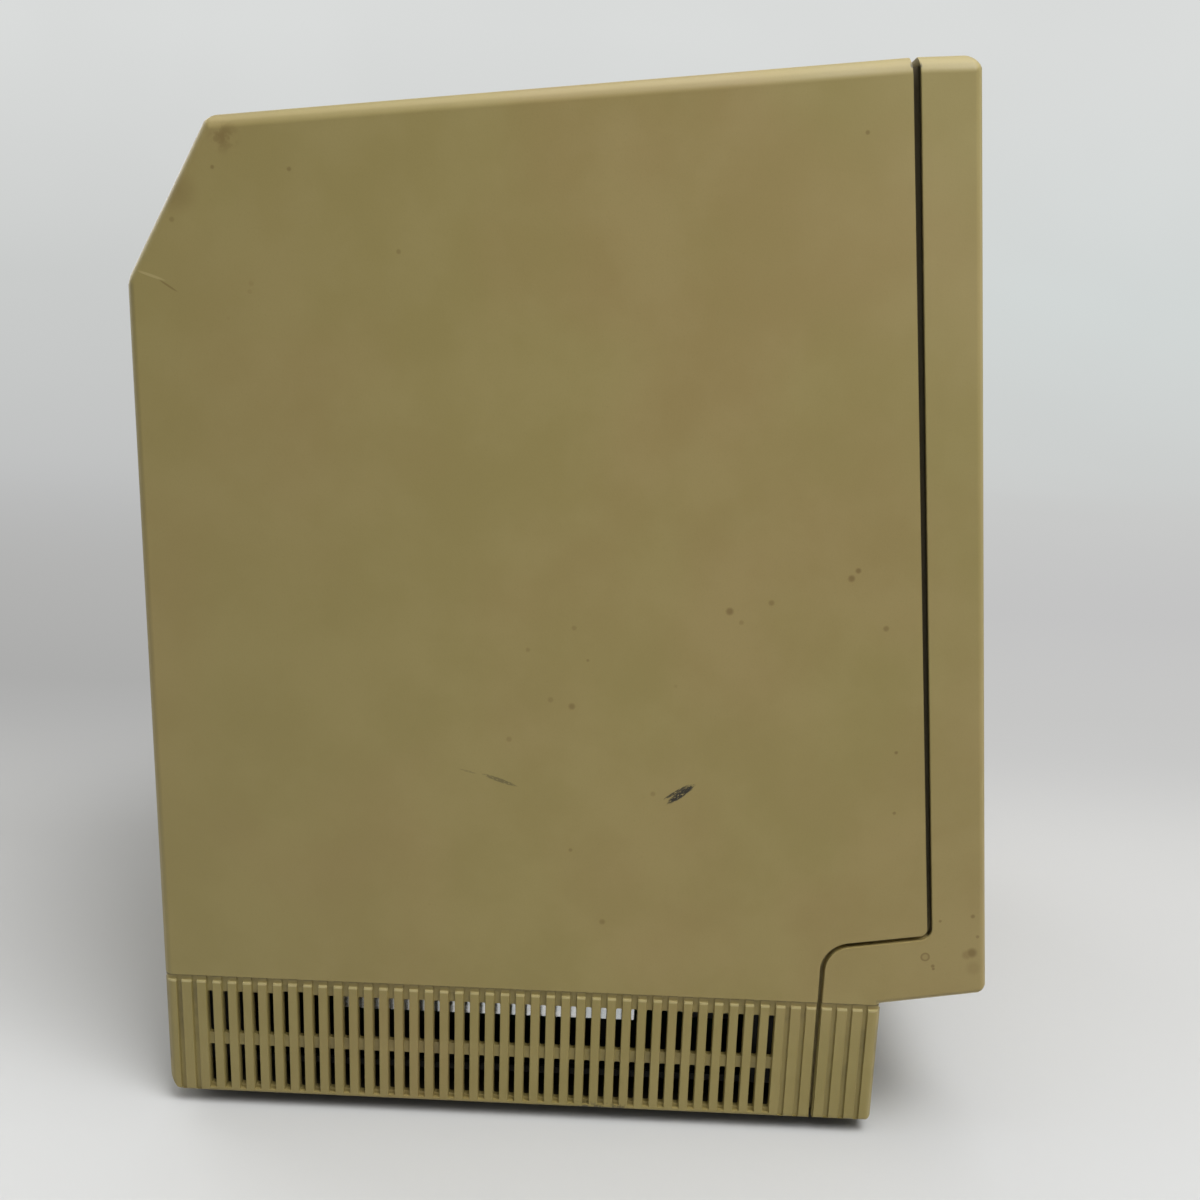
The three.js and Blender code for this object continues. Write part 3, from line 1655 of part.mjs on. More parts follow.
const floppyRibbonStart = [driveRearGap, drive.foot + floppyRibbon.startRise];
const hardDiskFoot = cage.roofHeight + fit.seat;
const diskRibbonStart = [hardDiskRear - fit.seat, hardDiskFoot + diskRibbon.startRise];

function powerHarness() {
  const y = sideY(plugForward);
  const top = upZ(analogBoard.plugFoot + analogBoard.plugHeight / 2);
  const foot = upZ(headerTop + fit.seat);
  const points = [
    new THREE.Vector3(plugX + fit.seat, y, top),
    new THREE.Vector3((plugX + harnessX) / 2 + harness.radius, y, top),
    new THREE.Vector3(harnessX, y, (top + foot) / 2),
    new THREE.Vector3(harnessX, y, foot),
  ];
  return lead(points, harness.radius, harness.steps);
}

function highVoltageLead() {
  const x = (flybackX[0] + flybackX[1]) / 2;
  const top = upZ(flybackFoot + flyback.height + flyback.coilRise) + fit.seat;
  const start = new THREE.Vector3(x, sideY(flybackForward), top);
  const out = capTop.clone().addScaledVector(capOut, anodeLead.rise);
  const points = [
    start,
    start.clone().addScaledVector(axisZ, anodeLead.rise),
    start.clone().lerp(out, anodeLead.crestShare).setZ(out.z),
    out,
    capTop,
  ];
  return lead(points, anodeLead.radius, anodeLead.steps);
}

function yokeWires() {
  const start = new THREE.Vector3(
    -yoke.waist - fit.seat,
    screenMiddle,
    throat - yoke.length / 2,
  ).applyMatrix4(frontMatrix);
  const endY = sideY(analogFront - yokeLead.fromFront);
  const end = new THREE.Vector3(analogFace + fit.seat, endY, upZ(analogTop - yokeLead.underTop));
  const middle = start.clone().lerp(end, 0.5).addScaledVector(axisZ, -yokeLead.sag);
  const near = start.clone().addScaledVector(axisX, -yokeLead.straight);
  const far = end.clone().addScaledVector(axisX, yokeLead.straight);
  return lead([start, near, middle, far, end], yokeLead.radius, yokeLead.steps);
}

// The bracket that holds the disk drive under the hard disk.

const cageHalf = drive.width / 2 + fit.seat + cage.sheet;

function driveCage() {
  const foot = shelfTop + fit.seat;
  const roof = cage.roofHeight - cage.sheet;
  const outer = [driveMiddle - cageHalf, driveMiddle + cageHalf];
  const span = spanY(cageRear, cageFront);
  const inner = [outer[0] + cage.sheet, outer[1] - cage.sheet];
  const shell = cut(
    box(outer, span, spanZ(foot, cage.roofHeight)),
    box(
      inner,
      spanY(cageRear - fit.overrun, cageFront + fit.overrun),
      spanZ(foot - fit.overrun, roof),
    ),
  );
  const ledgeTop = drive.foot - fit.seat;
  const tall = spanZ(ledgeTop - cage.sheet, ledgeTop);
  const ledges = [
    box([outer[0], outer[0] + cage.ledge], span, tall),
    box([outer[1] - cage.ledge, outer[1]], span, tall),
  ];
  const windows = box(
    [outer[0] - fit.overrun, outer[1] + fit.overrun],
    spanY(cageRear + cage.windowBorder, cageFront - cage.windowBorder),
    spanZ(drive.foot + cage.windowBorder / 2, roof - cage.windowBorder / 2),
  );
  return cut(join(shell, ...ledges), windows);
}

// The disk drive, drawn in heights over its own base.

const driveZ = (low, high) => spanZ(drive.foot + low, drive.foot + high);
const driveHalf = drive.width / 2;
const driveX = (low, high) => [driveMiddle + low, driveMiddle + high];
const spindleY = sideY(spindleForward);
const carriedTop = disk.liftHeight + disk.path + carrier.sheet;
const carrierHalf = disk.width / 2 + fit.run + carrier.sheet;
const carrierFoot = disk.liftHeight - carrier.sheet;
const droppedFoot = carrierFoot - disk.drop;
const pinForwards = [carrierRear + carrier.pinFromEnd, carrierFront - carrier.pinFromEnd];
const pinHeight = disk.liftHeight + disk.path / 2;
const sliderFoot = drive.sheet + fit.seat;
const sliderHalf = carrierHalf + fit.run + slider.sheet;

// A slot's outline from one place to another with round ends.
function slotOutline(from, to, radius) {
  const along = new THREE.Vector2(to[0] - from[0], to[1] - from[1]);
  const turn = along.angle();
  const points = [];
  for (const [centre, first] of [
    [to, turn - Math.PI / 2],
    [from, turn + Math.PI / 2],
  ]) {
    for (let i = 0; i <= facets.arc; i += 1) {
      const angle = first + (Math.PI * i) / facets.arc;
      points.push(
        new THREE.Vector2(centre[0] + radius * Math.cos(angle), centre[1] + radius * Math.sin(angle)),
      );
    }
  }
  return points;
}

function driveSlots(from, to, radius) {
  const outline = side(slotOutline(from, to, radius).map((p) => p.setY(p.y + drive.foot)));
  return prismX(
    outline,
    driveMiddle - driveHalf - fit.overrun,
    driveMiddle + driveHalf + fit.overrun,
  );
}

function driveTray() {
  const span = spanY(driveRear, driveFront);
  const tray = cut(
    box(driveX(-driveHalf, driveHalf), span, driveZ(0, drive.height)),
    box(
      driveX(-driveHalf + drive.sheet, driveHalf - drive.sheet),
      spanY(driveRear + drive.sheet, driveFront + fit.overrun),
      driveZ(drive.sheet, drive.height + fit.overrun),
    ),
  );
  const guides = pinForwards.map((forward) =>
    driveSlots(
      [forward, pinHeight + fit.run],
      [forward, pinHeight - disk.drop - fit.run],
      carrier.pinRadius + fit.run,
    ),
  );
  const axle = rodZ(
    spindle.axleRadius,
    driveZ(drive.sheet / 2, spindle.canHeight),
    driveMiddle,
    spindleY,
    facets.small,
  );
  const postRear = screwFront + 2 * fit.run;
  const post = (offsetX) =>
    box(
      driveX(offsetX - leadScrew.postWidth / 2, offsetX + leadScrew.postWidth / 2),
      spanY(postRear, postRear + leadScrew.post),
      driveZ(drive.sheet / 2, leadScrew.rise + leadScrew.postWidth / 2),
    );
  const guide = rodY(
    guideRod.radius,
    spanY(driveRear + drive.sheet / 2, postRear + leadScrew.post / 2),
    driveMiddle - guideRod.offset,
    upZ(drive.foot + leadScrew.rise),
    facets.small,
  );
  return cut(join(tray, axle, post(leadScrew.offset), post(-guideRod.offset), guide), ...guides);
}

function stepperMotor() {
  const half = stepper.size / 2;
  const rear = driveRear + drive.sheet + fit.seat;
  const middle = leadScrew.rise;
  const casing = box(
    driveX(leadScrew.offset - half, leadScrew.offset + half),
    spanY(rear, rear + stepper.depth - 2 * fit.seat),
    driveZ(middle - half + fit.seat, middle + half),
  );
  const bore = rodY(
    leadScrew.radius + fit.run,
    spanY(rear + stepper.depth / 2, rear + stepper.depth + fit.overrun),
    driveMiddle + leadScrew.offset,
    upZ(drive.foot + middle),
    facets.small,
  );
  return cut(casing, bore);
}

const screwRear = driveRear + drive.sheet + stepper.depth - leadScrew.inMotor;
const screwFront = driveRear + drive.sheet + stepper.depth + leadScrew.length;

function driveScrew() {
  return rodY(leadScrew.radius, spanY(screwRear, screwFront), 0, 0, facets.small);
}

function headCarriage() {
  const front = carriageRear + carriage.length;
  const span = spanY(carriageRear, front);
  const block = box(
    driveX(-guideRod.offset - carriage.side, leadScrew.offset + carriage.side),
    span,
    driveZ(carriage.foot, carriage.foot + carriage.height),
  );
  const armTop = droppedFoot + carrier.sheet - spindle.topUnderDisk - carriage.headHeight;
  const upperFoot = carriedTop + fit.run + carriage.headHeight;
  const half = carriage.armWidth / 2;
  const columnFront = carriageRear + carriage.column;
  const tip = front + carriage.armReach;
  const column = box(
    driveX(-half, half),
    spanY(carriageRear, columnFront),
    driveZ(carriage.foot, upperFoot + carriage.armThickness),
  );
  const lower = box(
    driveX(-half, half),
    spanY(carriageRear, tip),
    driveZ(armTop - carriage.armThickness, armTop),
  );
  const upper = box(
    driveX(-half, half),
    spanY(carriageRear, tip),
    driveZ(upperFoot, upperFoot + carriage.armThickness),
  );
  const headForward = tip - half;
  const head = (low, high) => rodZ(
    carriage.headRadius,
    driveZ(low, high),
    driveMiddle,
    sideY(headForward),
    facets.small,
  );
  const heads = [
    head(armTop - carriage.armThickness / 2, armTop + carriage.headHeight),
    head(upperFoot - carriage.headHeight, upperFoot + carriage.armThickness / 2),
  ];
  const bore = (radius, x) => rodY(
    radius + fit.run,
    spanY(carriageRear - fit.overrun, front + fit.overrun),
    driveMiddle + x,
    upZ(drive.foot + leadScrew.rise),
    facets.small,
  );
  return cut(
    join(block, column, lower, upper, ...heads),
    bore(leadScrew.radius, leadScrew.offset),
    bore(guideRod.radius, -guideRod.offset),
  );
}

function diskCarrier() {
  const span = spanY(carrierRear, carrierFront);
  const shell = cut(
    box(driveX(-carrierHalf, carrierHalf), span, driveZ(carrierFoot, carriedTop)),
    box(
      driveX(-carrierHalf + carrier.sheet, carrierHalf - carrier.sheet),
      spanY(carrierRear - fit.overrun, carrierFront + fit.overrun),
      driveZ(disk.liftHeight, carriedTop - carrier.sheet),
    ),
    box(
      driveX(-carrierHalf + carrier.lip, carrierHalf - carrier.lip),
      spanY(carrierRear - fit.overrun, carrierFront + fit.overrun),
      driveZ(carrierFoot - fit.overrun, disk.liftHeight + carrier.sheet),
    ),
    box(
      driveX(-carrier.window / 2, carrier.window / 2),
      spanY(carrierRear - fit.overrun, carrierRear + carrier.windowLength),
      driveZ(carriedTop - 2 * carrier.sheet, carriedTop + fit.overrun),
    ),
  );
  const reach = driveHalf - fit.seat;
  const pinZ = upZ(drive.foot + pinHeight);
  const pins = pinForwards.flatMap((forward) => [
    rodX(
      carrier.pinRadius,
      driveX(-reach, -carrierHalf + carrier.sheet / 2),
      sideY(forward),
      pinZ,
      facets.pin,
    ),
    rodX(
      carrier.pinRadius,
      driveX(carrierHalf - carrier.sheet / 2, reach),
      sideY(forward),
      pinZ,
      facets.pin,
    ),
  ]);
  return join(shell, ...pins);
}

function ejectSlider() {
  const span = spanY(sliderRear, sliderFront);
  const outer = driveX(-sliderHalf, sliderHalf);
  const tall = driveZ(sliderFoot, sliderFoot + slider.wallHeight);
  const channel = cut(
    box(outer, span, tall),
    box(
      [outer[0] + slider.sheet, outer[1] - slider.sheet],
      spanY(sliderRear - fit.overrun, sliderFront + fit.overrun),
      driveZ(sliderFoot + slider.sheet, sliderFoot + slider.wallHeight + fit.overrun),
    ),
    box(
      [outer[0] + slider.border, outer[1] - slider.border],
      spanY(sliderRear - fit.overrun, sliderFront - slider.border),
      driveZ(sliderFoot - fit.overrun, sliderFoot + fit.overrun),
    ),
  );
  // As the plate slides forward, the carrier's pins run down these slots.
  const ramps = pinForwards.map((forward) =>
    driveSlots(
      [forward, pinHeight],
      [forward - slider.travel, pinHeight - disk.drop],
      carrier.pinRadius + slider.slotPlay,
    ),
  );
  return cut(channel, ...ramps);
}

// The rotor of the drive's flat motor, with the hub that turns the disk, drawn about its axis.
function driveSpindle() {
  const foot = drive.sheet + fit.run;
  const bore = spindle.axleRadius + fit.run;
  const top = droppedFoot + carrier.sheet - spindle.topUnderDisk;
  const profile = [
    [bore, foot],
    [spindle.canRadius, foot],
    [spindle.canRadius, spindle.canHeight],
    [spindle.hubRadius, spindle.canHeight],
    [spindle.hubRadius, top],
    [0, top],
    [0, spindle.canHeight + fit.run],
    [bore, spindle.canHeight + fit.run],
    [bore, foot],
  ];
  const pinX = (spindle.hubRadius * 2) / 3;
  const pin = rodZ(
    spindle.pinRadius,
    [top - spindle.pinHeight, top + spindle.topUnderDisk / 2],
    pinX,
    0,
    facets.pin,
  );
  return join(turned(profile), pin);
}

function ejectDrive() {
  const x = [-driveHalf + ejectMotor.fromSide, -driveHalf + ejectMotor.fromSide + ejectMotor.width];
  const rear = driveRear + drive.sheet + fit.seat;
  const front = rear + ejectMotor.depth;
  const foot = drive.sheet + fit.seat;
  const casing = box(driveX(...x), spanY(rear, front), driveZ(foot, foot + ejectMotor.height));
  const middle = upZ(drive.foot + foot + ejectMotor.height / 2);
  return join(
    casing,
    rodY(
      ejectMotor.spindleRadius,
      spanY(front - fit.seat, front + ejectMotor.spindleReach),
      driveMiddle + (x[0] + x[1]) / 2,
      middle,
      facets.small,
    ),
  );
}

// The hard disk over the drive.

const diskTop = hardDiskFoot + hardDisk.height;
const platterInset = hardDisk.wall + hardDisk.platterGap + hardDisk.platterRadius;
const platterForward = hardDiskRear + hardDisk.depth - platterInset;
const platterY = sideY(platterForward);
const pivotX = driveMiddle + hardDisk.pivotSide;
const pivotY = platterY + hardDisk.pivotBack;
const lowPlatter = hardDiskFoot + hardDisk.base + hardDisk.underPlatter;
const bearing = hardDisk.spindleRadius + fit.run;

function hardDiskBase() {
  const half = hardDisk.width / 2;
  const rear = hardDiskRear;
  const front = rear + hardDisk.depth;
  const whole = box(driveX(-half, half), spanY(rear, front), spanZ(hardDiskFoot, diskTop));
  const room = box(
    driveX(-half + hardDisk.wall, half - hardDisk.wall),
    spanY(rear + hardDisk.wall, front - hardDisk.wall),
    spanZ(hardDiskFoot + hardDisk.base, diskTop + fit.overrun),
  );
  const posts = [
    rodZ(
      hardDisk.spindleRadius,
      spanZ(hardDiskFoot + hardDisk.base / 2, diskTop - fit.seat),
      driveMiddle,
      platterY,
    ),
    rodZ(
      hardDisk.pivotRadius,
      spanZ(hardDiskFoot + hardDisk.base / 2, diskTop - fit.seat),
      pivotX,
      pivotY,
    ),
  ];
  return join(cut(whole, room), ...posts);
}

function hardDiskCover() {
  const half = hardDisk.width / 2;
  const front = hardDiskRear + hardDisk.depth;
  const low = diskTop + fit.seat;
  return box(
    driveX(-half, half),
    spanY(hardDiskRear, front),
    spanZ(low, low + hardDisk.coverThickness),
  );
}

// Where the arm stands: the heads over the outer tracks.
const pivotDistance = Math.hypot(hardDisk.pivotSide, hardDisk.pivotBack);
const toCentre = Math.atan2(hardDisk.pivotSide, hardDisk.pivotBack);
const armAngle = (track) => {
  const squares = pivotDistance ** 2 + hardDisk.armLength ** 2 - track ** 2;
  return Math.acos(squares / (2 * pivotDistance * hardDisk.armLength));
};
const armRest = armAngle(hardDisk.outerTrack) - toCentre;

// Two platters on a hub, drawn about their axis.
function diskPlatters() {
  const foot = hardDiskFoot + hardDisk.base + 2 * fit.run;
  const second = lowPlatter + hardDisk.platterStep;
  const top = second + 2 * hardDisk.platterThickness;
  const profile = [
    [bearing, foot],
    [hardDisk.hubRadius, foot],
    [hardDisk.hubRadius, lowPlatter],
    [hardDisk.platterRadius, lowPlatter],
    [hardDisk.platterRadius, lowPlatter + hardDisk.platterThickness],
    [hardDisk.hubRadius, lowPlatter + hardDisk.platterThickness],
    [hardDisk.hubRadius, second],
    [hardDisk.platterRadius, second],
    [hardDisk.platterRadius, second + hardDisk.platterThickness],
    [hardDisk.hubRadius, second + hardDisk.platterThickness],
    [hardDisk.hubRadius, top],
    [bearing, top],
    [bearing, foot],
  ];
  return turned(profile, facets.large);
}

// The swinging arms, drawn about their pivot with the heads towards -Y.
function headArm() {
  const z = hardDiskFoot + hardDisk.base;
  const gap = hardDisk.underPlatter - hardDisk.armThickness;
  const between = hardDisk.platterStep - hardDisk.platterThickness - hardDisk.armThickness;
  const feet = [
    z + gap / 2,
    lowPlatter + hardDisk.platterThickness + between / 2,
    lowPlatter + hardDisk.platterStep + hardDisk.platterThickness + between / 2,
  ];
  const blade = [
    new THREE.Vector2(-hardDisk.armWidth / 2, 0),
    new THREE.Vector2(-hardDisk.tipWidth / 2, -hardDisk.armLength),
    new THREE.Vector2(hardDisk.tipWidth / 2, -hardDisk.armLength),
    new THREE.Vector2(hardDisk.armWidth / 2, 0),
  ];
  const half = hardDisk.armWidth / 2;
  const top = feet[2] + hardDisk.armThickness;
  const bladeAt = (foot) => prismZ(blade, foot, foot + hardDisk.armThickness);
  const coil = box([-half, half], [0, hardDisk.coilLength], [feet[1], feet[1] + hardDisk.armThickness]);
  const sleeve = rodZ(hardDisk.sleeve, [feet[0], top], 0, 0);
  const bore = rodZ(hardDisk.pivotRadius + fit.run, [feet[0] - fit.overrun, top + fit.overrun], 0, 0);
  return cut(join(sleeve, coil, ...feet.map(bladeAt)), bore);
}

// The fan beside the upright board, drawn about its axis with air leaving towards +Y.

const fanX = analogFace + fit.seat + fan.size / 2;
const fanY = sideY(fan.rear + fan.depth / 2);
const fanZ = upZ(analogTop - fan.underTop + fan.size / 2);

function fanHousing() {
  const half = fan.size / 2;
  const deep = fan.depth / 2;
  const frame = cut(
    box([-half, half], [-deep, deep], [-half, half]),
    rodY(fan.boreRadius, [-deep - fit.overrun, deep + fit.overrun], 0, 0, facets.large),
  );
  const motor = rodY(fan.motorRadius, [deep - fan.motorDepth, deep], 0, 0);
  const axle = rodY(
    fan.axleRadius,
    [-deep + fan.motorDepth, deep - fan.motorDepth / 2],
    0,
    0,
    facets.small,
  );
  const strut = () => box(
    [-half, half],
    [deep - fan.motorDepth, deep],
    [-fan.strutWidth / 2, fan.strutWidth / 2],
  );
  return join(frame, motor, axle, strut(), strut().rotateY(Math.PI / 2));
}

function fanRotor() {
  const deep = fan.depth / 2;
  const low = deep - fan.motorDepth - fit.run - fan.hubDepth;
  const high = deep - fan.motorDepth - fit.run;
  const middle = (low + high) / 2;
  const pieces = [rodY(fan.hubRadius, [low, high], 0, 0)];
  for (let i = 0; i < fan.bladeCount; i += 1) {
    const blade = box(
      [fan.hubRadius / 2, fan.bladeReach],
      [-fan.bladeThickness / 2, fan.bladeThickness / 2],
      [-fan.bladeWidth / 2, fan.bladeWidth / 2],
    );
    blade.rotateX(fan.bladeTurn).rotateY((2 * Math.PI * i) / fan.bladeCount).translate(0, middle, 0);
    pieces.push(blade);
  }
  return cut(
    join(...pieces),
    rodY(fan.axleRadius + fit.run, [low - fit.overrun, high + fit.overrun], 0, 0, facets.small),
  );
}

// What the rear wall carries.

function inletSocket() {
  const z = upZ(inlet.middleHeight);
  const [w, h] = [inlet.width / 2, inlet.height / 2];
  const rim = inlet.flangeRim;
  const block = box(
    [inletX - w, inletX + w],
    spanY(inlet.flange / 2, inlet.depth),
    [z - h, z + h],
  );
  const flange = box(
    [inletX - w - rim, inletX + w + rim],
    spanY(0, inlet.flange),
    [z - h - rim, z + h + rim],
  );
  const grow = -inlet.wall;
  const outline = [
    new THREE.Vector2(inletX - w - grow, z - h - grow),
    new THREE.Vector2(inletX + w + grow, z - h - grow),
    new THREE.Vector2(inletX + w + grow, z + h + grow - inlet.corner),
    new THREE.Vector2(inletX + w + grow - inlet.corner, z + h + grow),
    new THREE.Vector2(inletX - w - grow + inlet.corner, z + h + grow),
    new THREE.Vector2(inletX - w - grow, z + h + grow - inlet.corner),
  ];
  const cavity = prismY(outline, ...spanY(-fit.overrun, inlet.cavityDepth));
  const pin = (x, up) => {
    const [thin, tall] = [inlet.pinThickness / 2, inlet.pinWidth / 2];
    const span = spanY(inlet.cavityDepth - inlet.pinLength, inlet.cavityDepth + inlet.wall);
    return box(
      [inletX + x - thin, inletX + x + thin],
      span,
      [z + up - tall, z + up + tall],
    );
  };
  const pins = [pin(-inlet.pinSpread, 0), pin(0, inlet.pinRise), pin(inlet.pinSpread, 0)];
  return join(cut(join(block, flange), cavity), ...pins);
}

const switchZ = upZ(powerSwitch.middleHeight);
const switchY = sideY(powerSwitch.pivotDepth);

function switchFrame() {
  const [w, h] = [powerSwitch.width / 2, powerSwitch.height / 2];
  const block = (grow, rear, front) =>
    box(
      [inletX - w - grow, inletX + w + grow],
      spanY(rear, front),
      [switchZ - h - grow, switchZ + h + grow],
    );
  const outer = join(
    block(powerSwitch.wall, inlet.flange / 2, powerSwitch.depth),
    block(powerSwitch.wall + powerSwitch.flangeRim, 0, inlet.flange),
  );
  const reach = w + powerSwitch.wall / 2;
  const axle = rodX(
    powerSwitch.pinRadius + fit.seat,
    [inletX - reach, inletX + reach],
    switchY,
    switchZ,
    facets.small,
  );
  return cut(outer, block(0, -fit.overrun, powerSwitch.depth - powerSwitch.wall), axle);
}

// The rocker, drawn about its pins and tilted to where it stands when off.
function switchRocker() {
  const half = powerSwitch.rockerHeight / 2;
  const face = powerSwitch.pivotDepth - powerSwitch.faceDepth;
  const heel = powerSwitch.heelDepth - powerSwitch.pivotDepth;
  const edge = face + half * Math.tan(powerSwitch.tilt);
  const outline = [
    new THREE.Vector2(face, 0),
    new THREE.Vector2(edge, half),
    new THREE.Vector2(0, half),
    new THREE.Vector2(-heel, powerSwitch.heelHeight / 2),
    new THREE.Vector2(-heel, -powerSwitch.heelHeight / 2),
    new THREE.Vector2(0, -half),
    new THREE.Vector2(edge, -half),
  ];
  const w = powerSwitch.width / 2;
  const reach = w + powerSwitch.wall / 2 - fit.seat;
  const whole = join(
    prismX(outline, -w + fit.run, w - fit.run),
    rodX(powerSwitch.pinRadius, [-reach, reach], 0, 0, facets.small),
  );
  return whole.rotate([THREE.MathUtils.radToDeg(powerSwitch.tilt), 0, 0]);
}

function blankCover() {
  const z = upZ(cover.middleHeight);
  const plate = (grow, rear, front) => {
    const w = cover.width / 2 + grow;
    const h = cover.height / 2 + grow;
    return box([driveMiddle - w, driveMiddle + w], spanY(rear, front), [z - h, z + h]);
  };
  const inner = body.wall + fit.seat;
  return join(plate(0, 0, inner + cover.flange), plate(cover.rim, inner, inner + cover.flange));
}

// A case screw along +Y of its own frame, its head's underside at the origin.
function caseScrewSolid() {
  const profile = [
    [0, -caseScrew.headHeight],
    [caseScrew.headRadius, -caseScrew.headHeight],
    [caseScrew.headRadius, 0],
    [caseScrew.shankRadius, 0],
    [caseScrew.shankRadius, caseScrew.length - caseScrew.shankRadius],
    [0, caseScrew.length],
  ];
  const socket = rodZ(
    caseScrew.socketRadius,
    [-caseScrew.headHeight - fit.overrun, -caseScrew.headHeight + caseScrew.socketDepth],
    0,
    0,
    facets.hex,
  );
  return cut(turned(profile, facets.pin), socket);
}

// What the front carries.

function speakerUnit() {
  const front = speakerFront - fit.seat;
  const profile = [
    [0, front - speaker.basketDepth - speaker.magnetDepth],
    [speaker.magnetRadius, front - speaker.basketDepth - speaker.magnetDepth],
    [speaker.magnetRadius, front - speaker.basketDepth],
    [speaker.basketRadius, front - speaker.basketDepth],
    [speaker.radius, front - speaker.rim],
    [speaker.radius, front],
    [speaker.radius - speaker.rim, front],
    [speaker.coneRadius, front - speaker.basketDepth / 2],
    [0, front - speaker.basketDepth / 2],
  ];
  return turned(profile);
}

function activityLight() {
  const back = -body.wall - fit.seat;
  const profile = [
    [0, -light.length],
    [light.radius, -light.length],
    [light.radius, back - light.flangeLength],
    [light.flange, back - light.flangeLength],
    [light.flange, back],
    [light.radius, back],
    [light.radius, 0],
    [0, 0],
  ];
  return turned(profile, facets.small);
}

function badgePlate() {
  const half = badge.size / 2 - fit.seat;
  const foot = -badge.recess + fit.seat;
  return box([-half, half], [-half, half], [foot, foot + badge.thickness]);
}

// The brightness wheel with its shaft, drawn about its axis.
function brightnessWheel() {
  const points = [];
  for (let i = 0; i < 2 * dial.teeth; i += 1) {
    const radius = dial.radius - (i % 2) * dial.toothDepth;
    const angle = (Math.PI * i) / dial.teeth;
    points.push(new THREE.Vector2(radius * Math.cos(angle), radius * Math.sin(angle)));
  }
  const wheel = prismZ(points, ...spanZ(...dialSpan));
  return join(wheel, rodZ(dial.shaftRadius, spanZ(potSpan[0] + fit.run, dial.height), 0, 0));
}

function brightnessPot() {
  const half = dial.potSize / 2;
  const span = spanY(dialForward - half, body.baseDepth - body.wall - fit.seat);
  const block = box([dialX - half, dialX + half], span, spanZ(...potSpan));
  const bore = rodZ(
    dial.shaftRadius + fit.run,
    spanZ(potSpan[0] - fit.overrun, potSpan[1] + fit.overrun),
    dialX,
    sideY(dialForward),
  );
  return cut(block, bore);
}

// Finishes.

const finish = (color, roughness, metalness = 0) =>
  new THREE.MeshStandardMaterial({ color, roughness, metalness, flatShading: true });

const finishes = {
  rearShell: finish(0x8b7f55, 0.55),
  frontShell: finish(0x998c5f, 0.55),
  darkPlastic: finish(0x23221f, 0.6),
  greyPlastic: finish(0x8d8b84, 0.6),
  rubber: finish(0x3b3935, 0.9),
  zincSheet: finish(0xb9bbb6, 0.4, 0.9),
  blackSheet: finish(0x303132, 0.5, 0.6),
  steel: finish(0xa9aaa8, 0.35, 1),
  glass: finish(0x2c322f, 0.12),
  copper: finish(0x9a5a34, 0.45, 0.7),
  greenBoard: finish(0x2f5a36, 0.5),
  brownBoard: finish(0x9b7a42, 0.6),
  castMetal: finish(0x94979a, 0.45, 0.8),
  mirror: finish(0xc9ccce, 0.08, 1),
  ribbonGrey: finish(0xb4b3ae, 0.6),
  redLead: finish(0x8c2f2a, 0.55),
  amber: finish(0xc86d1c, 0.3),
};

function geometryOf(shape) {
  const { vertProperties, triVerts } = asSolid(shape).getMesh();
  const geometry = new THREE.BufferGeometry();
  geometry.setAttribute("position", new THREE.BufferAttribute(vertProperties, 3));
  geometry.setIndex(new THREE.BufferAttribute(triVerts, 1));
  geometry.computeVertexNormals();
  return geometry;
}

function mesh(name, shape, material, place) {
  const made = new THREE.Mesh(geometryOf(shape), finishes[material]);
  made.name = name;
  if (place) made.position.copy(place);
  return made;
}

// The assembly.

const computer = new THREE.Group();
computer.name = "home_computer";

const housing = new THREE.Group();
housing.add(
  mesh("rear_housing", rearHousing(), "rearShell"),
  mesh("front_bezel", frontBezel(), "frontShell"),
  mesh("expansion_cover", blankCover(), "rearShell"),
);
for (const { name, x, y } of footPlaces) {
  housing.add(mesh(name, rubberFoot(), "rubber", new THREE.Vector3(x, y, 0)));
}
const lowerSeat = (x) => new THREE.Vector3(x, sideY(caseScrew.lowerWell), upZ(caseScrew.lowerHeight));
const screwPlaces = [
  ["case_screw_lower_left", lowerSeat(-lowerScrewX), Math.PI / 2],
  ["case_screw_lower_right", lowerSeat(lowerScrewX), Math.PI / 2],
  ["case_screw_upper_left", fromFront(-caseScrew.upperX, upperUp, upperSeatOut), frontTurn],
  ["case_screw_upper_right", fromFront(caseScrew.upperX, upperUp, upperSeatOut), frontTurn],
];
for (const [name, place, turn] of screwPlaces) {
  const screw = mesh(name, caseScrewSolid(), "steel");
  const forward = new THREE.Vector3(0, 0, 1).applyAxisAngle(axisX, turn);
  screw.rotation.x = turn;
  screw.position.copy(place).addScaledVector(forward, -fit.seat);
  housing.add(screw);
}

const frontGroup = new THREE.Group();
frontGroup.position.copy(frontPlace);
frontGroup.rotation.x = frontTurn;
frontGroup.add(
  mesh("crt_tube", pictureTube(), "glass"),
  mesh("crt_band", tubeStrap(), "steel"),
  mesh("deflection_yoke", deflectionYoke(), "copper"),
  mesh("neck_board", neckSocketBoard(), "brownBoard"),
  mesh("anode_cap", capDisc(), "darkPlastic"),
  mesh("speaker", speakerUnit(), "blackSheet", new THREE.Vector3(speakerX, speaker.up, 0)),
  mesh("hard_disk_light", activityLight(), "amber", new THREE.Vector3(lightX, light.up, 0)),
  mesh("badge_plate", badgePlate(), "frontShell", new THREE.Vector3(badgeX, badge.up, 0)),
);

